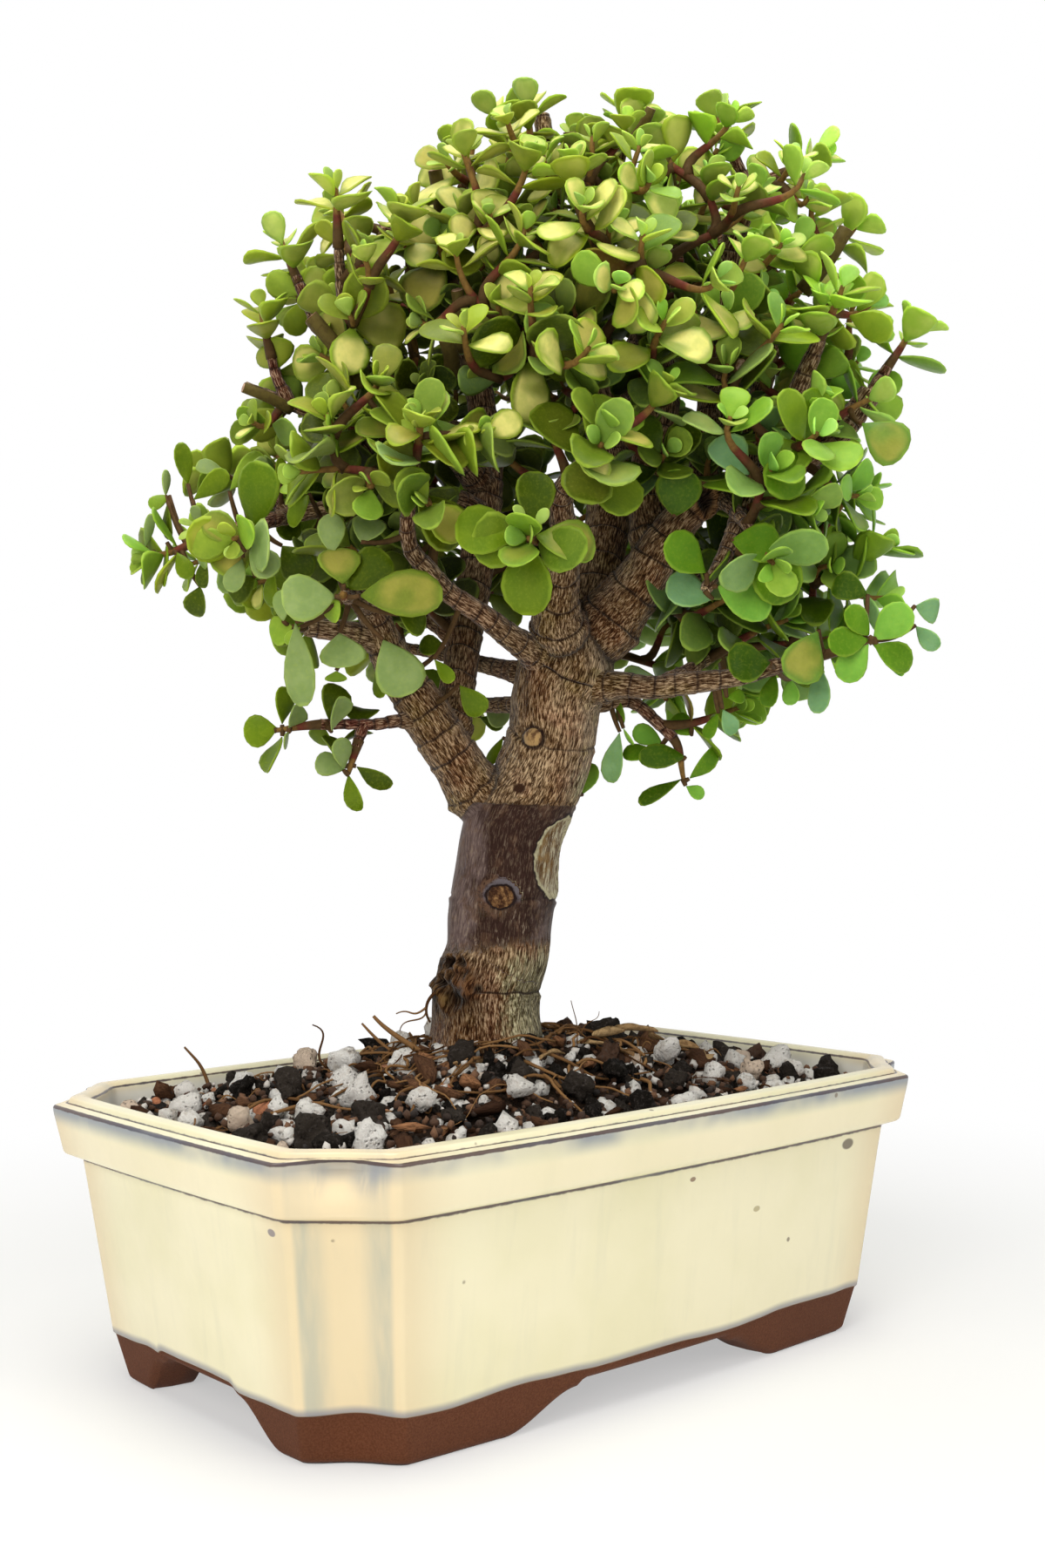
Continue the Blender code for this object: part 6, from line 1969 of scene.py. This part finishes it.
def leafPairs(path, pairs, longest, luck, leaves, stretch=1.0):
    # crossed pairs down from the tip: each leaf's root, way out, upper face, length and age
    scale = longest / 15.0 * stretch
    turn = luck.uniform(0, math.pi)
    for number in range(min(pairs, len(shootForm["nodes"]))):
        back = shootForm["nodes"][number] * scale
        place, way, length = alongPath(path, back)
        if number > 1 and back > length - 0.5:
            break
        side = squareTo(way)
        other = np.cross(way, side)
        turn += math.pi / 2 + luck.normal(0, 0.16)
        for half in (0, 1):
            if luck.uniform() > shootForm["keep"][number]:
                continue
            angle = turn + math.pi * half + luck.normal(0, math.radians(shootForm["skew"]) * 0.7)
            lean = math.radians(shootForm["leans"][number] + luck.normal(0, shootForm["skew"]) * 0.8)
            out = side * math.cos(angle) + other * math.sin(angle)
            along = way * math.cos(lean) + out * math.sin(lean)
            face = way * math.sin(lean) - out * math.cos(lean)
            face = unit(face + np.array((0.0, -0.15, 1.0)) * shootForm["light"] * min(number / 2, 1))
            along = unit(along - face * np.dot(along, face))
            size = longest * shootForm["sizes"][number] * luck.uniform(0.88, 1.1)
            leaves.append((place + out * 0.5, along, face, size, number))


def leafMesh(root, along, face, length, ratio, luck):
    # rows along each leaf, each a flat section as wide as the outline there, cupped across and bent along
    count = len(root)
    t = np.array(leafForm["rows"])[None, :, None]
    section = np.array(leafForm["section"], float)
    across, depth = section[:, 0][None, None], section[:, 1][None, None]
    ratio = ratio[:, None, None]
    size = length[:, None, None]
    widest = luck.uniform(*leafForm["widest"], (count, 1, 1))
    rise = (np.sin(math.pi / 2 * np.minimum(t / widest, 1))
        ** luck.uniform(*leafForm["taper"], (count, 1, 1)))
    outline = rise * np.sqrt(np.clip(1 - (np.maximum(t - widest, 0) / (1 - widest)) ** 2, 0, 1))
    half = ratio * size * outline
    lopsided = 1 + luck.uniform(-0.1, 0.1, (count, 1, 1)) * np.sign(across)
    x = across * half * lopsided
    thick = (leafForm["thick"] * (0.45 + 0.55 * size / 15) * np.sqrt(np.clip(outline, 0.05, 1))
        * (1 - 0.3 * t) / 2)
    cup = luck.uniform(*leafForm["cup"], (count, 1, 1)) * smoothStep(0.0, 0.35, t)
    bend = luck.uniform(*leafForm["bend"], (count, 1, 1))
    twist = luck.normal(0, 0.10, (count, 1, 1)) * t
    z = depth * thick + cup * x ** 2 / (ratio * size) + bend * size * t ** 2 + twist * x
    z -= 0.35 * np.exp(-(across / 0.35) ** 2) * thick * (depth > 0) * (1 - t)
    y = size * t * (1 - 0.35 * bend ** 2 * t)
    side = np.cross(face, along)
    rings = (root[:, None, None] + side[:, None, None] * x[..., None] + along[:, None, None]
        * y[..., None] + face[:, None, None] * z[..., None])
    flat = np.broadcast_to(across, z.shape), np.broadcast_to(t, z.shape), np.broadcast_to(depth, z.shape)
    return podPoints(rings), podPoints(np.stack(flat, -1))


def leafTone(root, face, age, luck):
    # deep green inside and below as painted shade, green outside, olive and golden on top as painted
    # sunlight over the leaves' own sun colour, lime on the youngest
    count = len(root)
    share = np.clip(canopyShare(root), 0, 1.1)
    high = smoothStep(205, 300, root[:, 2])
    chance, other = luck.uniform(0, 1, count), luck.uniform(0, 1, count)
    outer = smoothStep(0.55, 0.98, share)
    light = np.clip(0.25 * high + 1.0 * outer - 0.35 + 0.7 * (chance - 0.5), 0, 1)
    # painted sunlight, partly the leaves' own sun colour: high leaves, those that face up and those on the
    # left turn olive and golden
    sunny = high * 0.65 + 0.3 * face[:, 2] + 0.28 * smoothStep(60, 0, root[:, 0]) + 0.5 * (other - 0.5)
    sunny = smoothStep(0.3, 0.8, sunny) * smoothStep(0.5, 0.85, share)
    youth = np.array([0.85, 0.5, 0.14, 0.0, 0.0, 0.0, 0.0, 0.0])[age] * (0.45 + 0.55 * high)
    grey = (luck.uniform(0, 1, count) < 0.26) * (1 - high) * (age > 1)
    tone = tinted(np.tile(leafTones["deep"], (count, 1)), leafTones, green=np.minimum(light * 2, 1),
        bright=0.8 * np.clip(light * 2 - 1, 0, 1), olive=0.5 * sunny, young=youth, greyed=0.8 * grey)
    withered = (luck.uniform(0, 1, count) < 0.02) & (age > 3)
    tone = np.where(withered[:, None], leafTones["withered"], tone)
    golden = sunny * smoothStep(0.1, 0.45, luck.uniform(0, 1, count)) * (age > 0)
    tone = tone * np.stack([np.interp(root[:, 0], *sides) for sides in leafSides], -1)
    # painted shade: leaves deep inside the canopy are darker
    tone = tone * (0.42 + 0.58 * smoothStep(0.48, 0.9, share))[:, None]
    tone = tone * luck.uniform((0.82, 0.93, 0.6), (1.12, 1.07, 1.4), (count, 3))
    return tone * luck.uniform(0.78, 1.12, (count, 1)), golden


def leafPaint():
    # the leaf's own tone, a thin lime rim, a golden flush on sunlit leaves that is partly painted sunlight,
    # and light that shines through
    paint = Paint("fleshyLeaf", Roughness=0.38, Specular_IOR_Level=0.14,
        Subsurface_Weight=leafForm["through"], Subsurface_Scale=leafForm["throughDepth"] * mm)
    paint.shader.inputs["Subsurface Radius"].default_value = (0.7, 1.0, 0.15)
    tone = paint.attribute("leafTone", "Color")
    across, along, depth = paint.parts(paint.attribute("leafPlace", "Vector"))
    golden = paint.attribute("leafGold")
    patch = paint.noise(0.16, 3, 0.6)
    speck = paint.noise(1.3, 3, 0.6)
    edge = abs(across)
    shaken = patch.scaleAdd(0.5, edge - 0.25)
    inner = shaken.ramp(0.95, 0.6) * along.ramp(0.15, 0.4)
    inner = inner * along.ramp(1.0, 0.82)
    upper = depth.ramp(-0.2, 0.4, 0.3, 1.0)
    drift = paint.noise(0.11, 1, 0.5)
    # the golden flush: partly the leaf's own sun colour, partly painted sunlight
    flushAndSunlight = inner * golden.ramp(0.0, 0.55)
    flushAndSunlight = flushAndSunlight * drift.ramp(0.3, 0.55, 0.25, 0.95)
    sunlit = paint.mix(golden.ramp(0.35, 0.85), leafTones["ochre"], leafTones["golden"])
    colour = tone.mix(flushAndSunlight * upper, sunlit)
    shade = colour.dyed((0.55, 0.68, 0.45), patch.ramp(0.35, 0.65, 0.5, 0.0))
    # the underside is paler
    colour = shade.lit((0.06, 0.08, 0.02), depth.ramp(0.1, -0.6, 0.0, 0.4))
    rim = edge.ramp(0.8, 0.98).most(along.ramp(0.93, 0.985))
    colour = colour.lit((0.2, 0.26, 0.03), rim * 0.6)
    colour = colour.mix(speck.ramp(0.45, 0.75, 0.0, 0.12), (0.42, 0.48, 0.05))
    paint.relief(patch + speck * 0.25, 0.35, 0.5)
    return paint.finish(colour, speck.ramp(0.3, 0.7, 0.32, 0.48))


def stemPaint():
    # brown where they leave the limb, red-purple at the tip; below 0 olive-brown, above 1 a pale cut face
    paint = Paint("youngStem", Roughness=0.5, Specular_IOR_Level=0.06)
    red = paint.attribute("stemYouth")
    speck = paint.noise(0.8, 3, 0.6)
    colour = paint.mix(red.ramp(0.2, 0.9), (0.095, 0.054, 0.022), (0.155, 0.036, 0.024))
    colour = colour.mix(red.ramp(0.85, 1.0, 0.0, 0.5), (0.27, 0.2, 0.04))
    colour = colour.mix(red.ramp(-0.1, -0.4), (0.1, 0.075, 0.02))
    colour = colour.mix(speck.ramp(0.4, 0.7, 0.0, 0.45), (0.045, 0.026, 0.012))
    colour = colour.mix(red.ramp(1.3, 1.8),
        paint.mix(speck.ramp(0.4, 0.6), (0.55, 0.38, 0.27), (0.24, 0.13, 0.075)))
    paint.relief(speck, 0.25, 0.7)
    return paint.finish(colour)


def chooseBase(tip, outward, wood):
    # which wood point a twig to this tip would grow from: near, and on the inward side of it
    reach = tip - wood
    distance = np.linalg.norm(reach, axis=1)
    along = (reach @ outward) / np.maximum(distance, 1e-6)
    return (distance * (1.6 - 0.8 * along) + 60 * (distance < 5)).argmin()


def leavesSet(luck):
    # the leaves of setLeaves, faces turned to the front and then about their length
    root, tip, width, turn, names = zip(*setLeaves)
    root, tip, width = (np.array(values, float) for values in (root, tip, width))
    size = np.linalg.norm(tip - root, axis=1)
    along = unit(tip - root)
    front = np.array((0.0, -1.0, 0.2)) + luck.normal(0, 0.12, root.shape)
    front = unit(front - along * (front * along).sum(1)[:, None])
    turn = np.radians(np.array(turn, float))[:, None]
    face = front * np.cos(turn) + np.cross(along, front) * np.sin(turn)
    tone = np.array([leafTones[name] for name in names]) * luck.uniform(0.9, 1.1, (len(root), 1))
    olive = np.array(names) == "olive"
    tone = np.where(olive[:, None], tone * (0.44, 0.60, 0.8), tone)
    tone = tone * (1 + smoothStep(0, 50, root[:, :1]) * (-0.22, 0.12, 0.5))
    return root, along, face, size, width / size / 2, tone, 0.34 * olive


def limbShoots(paths, luck, twigs, leaves):
    # a twig with leaves on the end of each limb; returns where each one ends
    ends = {}
    for name, (length, pairs, longest) in shoots.items():
        end, way = paths[name]["points"][-1], paths[name]["ahead"][-1]
        tip = np.array(bareShoots.get(name, end + way * length * 0.9), float)
        ends[name] = tip
        if name in bareShoots:
            twigs.append(twigPath(end - way * 2, way, tip, tip - end))
        else:
            twigs.append(twigPath(end - way * 2, way, tip, unit(way + (0, -0.05, 0.25))))
            leafPairs(twigs[-1], pairs + 1, longest, luck, leaves)
    return ends


def clusterPlans(taken, luck):
    # the clusters in front, and those that fill the canopy: tip, way it faces, leaf pairs, longest leaf
    filled = fillTips(taken, luck)
    plans = [(np.array(tip), np.array(facing), *rest) for tip, facing, *rest in frontRosettes]
    for tip in filled:
        outward = unit((tip - canopy["middle"]) * (1.0, 1.1, 0.8))
        lift, longest = (np.interp(tip[2], *np.array(canopy[label]).T) for label in ("lift", "leaf"))
        facing = unit(outward + (0, 0, lift) + luck.normal(0, 0.3, 3))
        longest *= luck.uniform(*canopy["leafLuck"])
        if tip[0] < canopy["farLeft"][0]:
            longest *= canopy["farLeft"][1]
        plans.append((tip, facing, luck.integers(3, 6), longest))
    return plans


def makeFoliage(paths):
    # shoots on the limbs first, then clusters that each grow a twig from the wood, or from a twig before it
    luck = np.random.default_rng(canopy["seed"])
    leaves, twigs = [], []
    ends = limbShoots(paths, luck, twigs, leaves)
    wood, ways, solid = (np.concatenate([path[label][::3] for path in paths.values()])
        for label in ("points", "ahead", "radius"))
    roomy = (solid < canopy["thinWood"]) & (wood[:, 2] > canopy["woodFrom"])
    wood, ways = wood[roomy], ways[roomy]
    taken = [*ends.values(), *(np.array(rosette[0]) for rosette in frontRosettes),
        *(np.array(leaf[0], float) for leaf in setLeaves)]
    for tip, facing, pairs, longest in clusterPlans(taken, luck):
        best = chooseBase(tip, unit(facing), wood)
        leave = unit(ways[best] * 0.5 + unit(tip - wood[best]))
        twig = twigPath(wood[best], leave, tip, facing)
        twigs.append(twig)
        leafPairs(twig, pairs, longest, luck, leaves)
        wood = np.concatenate([wood, twig[3:6]])
        ways = np.concatenate([ways, np.gradient(twig, axis=0)[3:6]])
    root, along, face, size, age = (np.array(values) for values in zip(*leaves))
    tone, golden = leafTone(root, face, age, luck)
    ratio = luck.uniform(*leafForm["width"], len(leaves))
    grown = (root, along, face, size, ratio, tone, golden)
    both = zip(grown, leavesSet(luck))
    root, along, face, size, ratio, tone, golden = (np.concatenate(pair) for pair in both)
    print(len(root), "leaves on", len(twigs), "twigs")
    points, place = leafMesh(root, along, face, size, ratio, luck)
    stride = points.shape[1]
    faces = podFaces(len(leafForm["rows"]), len(leafForm["section"]))
    material = leafPaint()
    owner = np.linalg.norm(root[:, None] - np.array(list(ends.values()))[None], axis=-1).argmin(1)
    for number, name in enumerate(ends):
        mine = owner == number
        values = {"leafTone": np.repeat(tone[mine], stride, axis=0),
            "leafPlace": place[mine].reshape(-1, 3), "leafGold": np.repeat(golden[mine], stride)}
        makePiece("leaves_" + name, intoPot(points[mine]), copies(faces, mine.sum(), stride), material,
            "leaf", values, ("shoot_" + name,))
    makeStems(twigs, paths)


def leafStalks(wood, solid, steps):
    # a sagging stalk from the nearest wood to each set leaf that doesn't touch any
    stalks = []
    for leaf in setLeaves:
        root = np.array(leaf[0], float)
        away = np.linalg.norm(wood - root, axis=1) - solid
        if away.min() > -0.2:
            base = wood[away.argmin()]
            sag = np.sin(steps * math.pi)[:, None] * (0, 0, 0.08 * np.linalg.norm(root - base))
            stalks.append(base + (root - base) * steps[:, None] - sag)
    return np.array(stalks)


def makeStems(twigs, paths):
    # tapering tubes for the twigs and the stalks of the set leaves, and blunt ones with a pale cut face
    stems = np.array(twigs)
    columns = 7
    steps = np.linspace(0, 1, stems.shape[1])
    wood = np.concatenate([path["points"] for path in paths.values()] + [stems.reshape(-1, 3)])
    solid = np.concatenate([path["radius"] for path in paths.values()]
        + [np.full(stems[..., 0].size, 0.8)])
    stalks = leafStalks(wood, solid, steps)
    end, foot, thick = (np.array(values, float)[:, None] for values in zip(*cutTwigs))
    cuts = foot + (end - foot) * steps[:, None] + np.sin(steps * math.pi)[:, None] * (0.8, -0.6, 0)
    # paths, radius and how red each tube is along its length
    shapes = ((stems, 0.62 + 0.95 * (1 - steps), smoothStep(0.1, 0.7, steps)),
        (stalks, 0.55 + 0.3 * (1 - steps), 0.35 * steps),
        (cuts, thick * (1.15 - 0.15 * steps), 0 * steps - 0.5))
    points, youth = [], []
    for lines, radius, red in shapes:
        rings = tubeRings(lines, np.broadcast_to(radius, lines.shape[:2]), columns)
        red = np.broadcast_to(red[None, :, None], rings.shape[:3]).copy()
        if lines is cuts:
            # the last three rings make the bevel and the cut face
            middle = rings[:, -1].mean(1, keepdims=True)
            rings[:, -3] = rings[:, -2] + (rings[:, -1] - rings[:, -2]) * 0.93
            rings[:, -2] = middle + (rings[:, -1] - middle) * 0.9
            rings[:, -1] = middle + (rings[:, -1] - middle) * 0.45
            red[:, -2:] = 2.0
        points.append(podPoints(rings))
        youth.append(podPoints(np.repeat(red[..., None], 3, -1))[..., 0])
    points = np.concatenate(points)
    faces = copies(podFaces(len(steps), columns), len(points), points.shape[1])
    makePiece("youngStems", intoPot(points), faces, stemPaint(), "bark",
        {"stemYouth": np.concatenate(youth).ravel()})


makeFoliage(paths)
print("foliage made")


# Floor, lamps and camera

stageForm = {
    "floor": 6000.0,
    "whiteFrom": 150.0,  # the floor fades into the background between these distances from the middle
    "whiteTo": 400.0,
    "whiteLeast": 0.45,
    "ground": (0.93, 0.925, 0.90),
    "worldLight": 0.22,
}
# place, aim and size in mm, power in W, colour; only the overhead one shows in shiny surfaces
lamps = {
    "overhead": ((-120, -160, 900), (0, 0, 200), 800, 6.2, (1.0, 0.99, 0.95)),
    "frontLeft": ((-900, -520, 520), (0, 0, 180), 700, 6.5, (1.0, 0.985, 0.96)),
    "frontRight": ((420, -950, 420), (0, 0, 170), 700, 1.95, (0.97, 0.98, 1.0)),
    "rear": ((500, 700, 700), (0, 0, 220), 800, 1.8, (1.0, 1.0, 1.0)),
}
cameraForm = {
    "place": (-309.8, -373.4, 146.4),
    "way": (0.6499, 0.7599, 0.0096),
    "roll": -0.70,  # degrees
    "lens": 40.97,
    "sensor": 36.0,
}


def whiteShare(tree):
    # 1 for rays that only look at the background: camera, mirror and see-through rays
    rays = addNode(tree, "LightPath").outputs
    kinds = ("Camera", "Glossy", "Transmission")
    camera, glossy, through = (Value(rays["Is " + kind + " Ray"]) for kind in kinds)
    return camera.most(glossy).most(through)


def makeStage():
    # a flat round floor, whose lit colour gives way to plain white further out
    steps = 64
    turn = np.linspace(0, math.tau, steps, endpoint=False)
    circle = np.stack([np.cos(turn), np.sin(turn), 0 * turn], -1)
    rings = np.array([circle * radius for radius in (1.0, 120.0, 300.0, 900.0, stageForm["floor"])])
    faces = [gridFaces(len(rings), steps)[:, ::-1], np.arange(steps)[None]]
    paint = Paint("paleFloor", Roughness=0.9)
    paint.finish(stageForm["ground"])
    floor = makePiece("floor", rings, faces, paint.material, None)
    tree = paint.tree
    fade = paint.measure("LENGTH", paint.place)
    fade = fade.ramp(stageForm["whiteFrom"] * mm, stageForm["whiteTo"] * mm, stageForm["whiteLeast"])
    blend = addNode(tree, "MixShader", fade * whiteShare(tree))
    tree.links.new(paint.shader.outputs[0], blend.inputs[1])
    tree.links.new(addNode(tree, "Emission").outputs[0], blend.inputs[2])
    tree.links.new(blend.outputs[0], tree.nodes["Material Output"].inputs["Surface"])
    world = bpy.data.worlds.new("studio")
    bpy.context.scene.world = world
    world.use_nodes = True
    tree = world.node_tree
    strength = addNode(tree, "MapRange", whiteShare(tree))
    strength.inputs["To Min"].default_value = stageForm["worldLight"]
    put(tree.nodes["Background"].inputs["Color"], (1.0, 1.0, 1.0))
    put(tree.nodes["Background"].inputs["Strength"], Value(strength.outputs[0]))


def aim(thing, spot, way, roll=0.0):
    # stands the thing on the spot so that it looks along the way, turned about it by the roll
    ahead = Vector(way).normalized()
    right = ahead.cross(Vector((0, 0, 1))).normalized()
    above = right.cross(ahead)
    turned = right * math.cos(math.radians(roll)) + above * math.sin(math.radians(roll))
    above = turned.cross(ahead)
    rotation = Matrix((turned, above, -ahead)).transposed().to_4x4()
    thing.matrix_world = Matrix.Translation(Vector(spot) * mm) @ rotation


def makeLamps():
    for name, (spot, target, size, power, colour) in lamps.items():
        lamp = bpy.data.lights.new(name, "AREA")
        lamp.shape = "DISK"
        lamp.size = size * mm
        lamp.energy = power
        lamp.color = colour
        thing = addToScene(name, lamp)
        thing.visible_glossy = name == "overhead"
        aim(thing, spot, np.array(target, float) - spot)


def makeCamera():
    camera = bpy.data.cameras.new("camera")
    camera.lens = cameraForm["lens"]
    camera.sensor_width = cameraForm["sensor"]
    camera.sensor_fit = "AUTO"
    camera.clip_start = 0.01
    camera.clip_end = 50.0
    thing = addToScene("camera", camera)
    aim(thing, cameraForm["place"], cameraForm["way"], cameraForm["roll"])
    bpy.context.scene.camera = thing


makeStage()
makeLamps()
makeCamera()
bpy.context.scene.view_settings.view_transform = "Standard"
print("stage, lamps and camera ready")
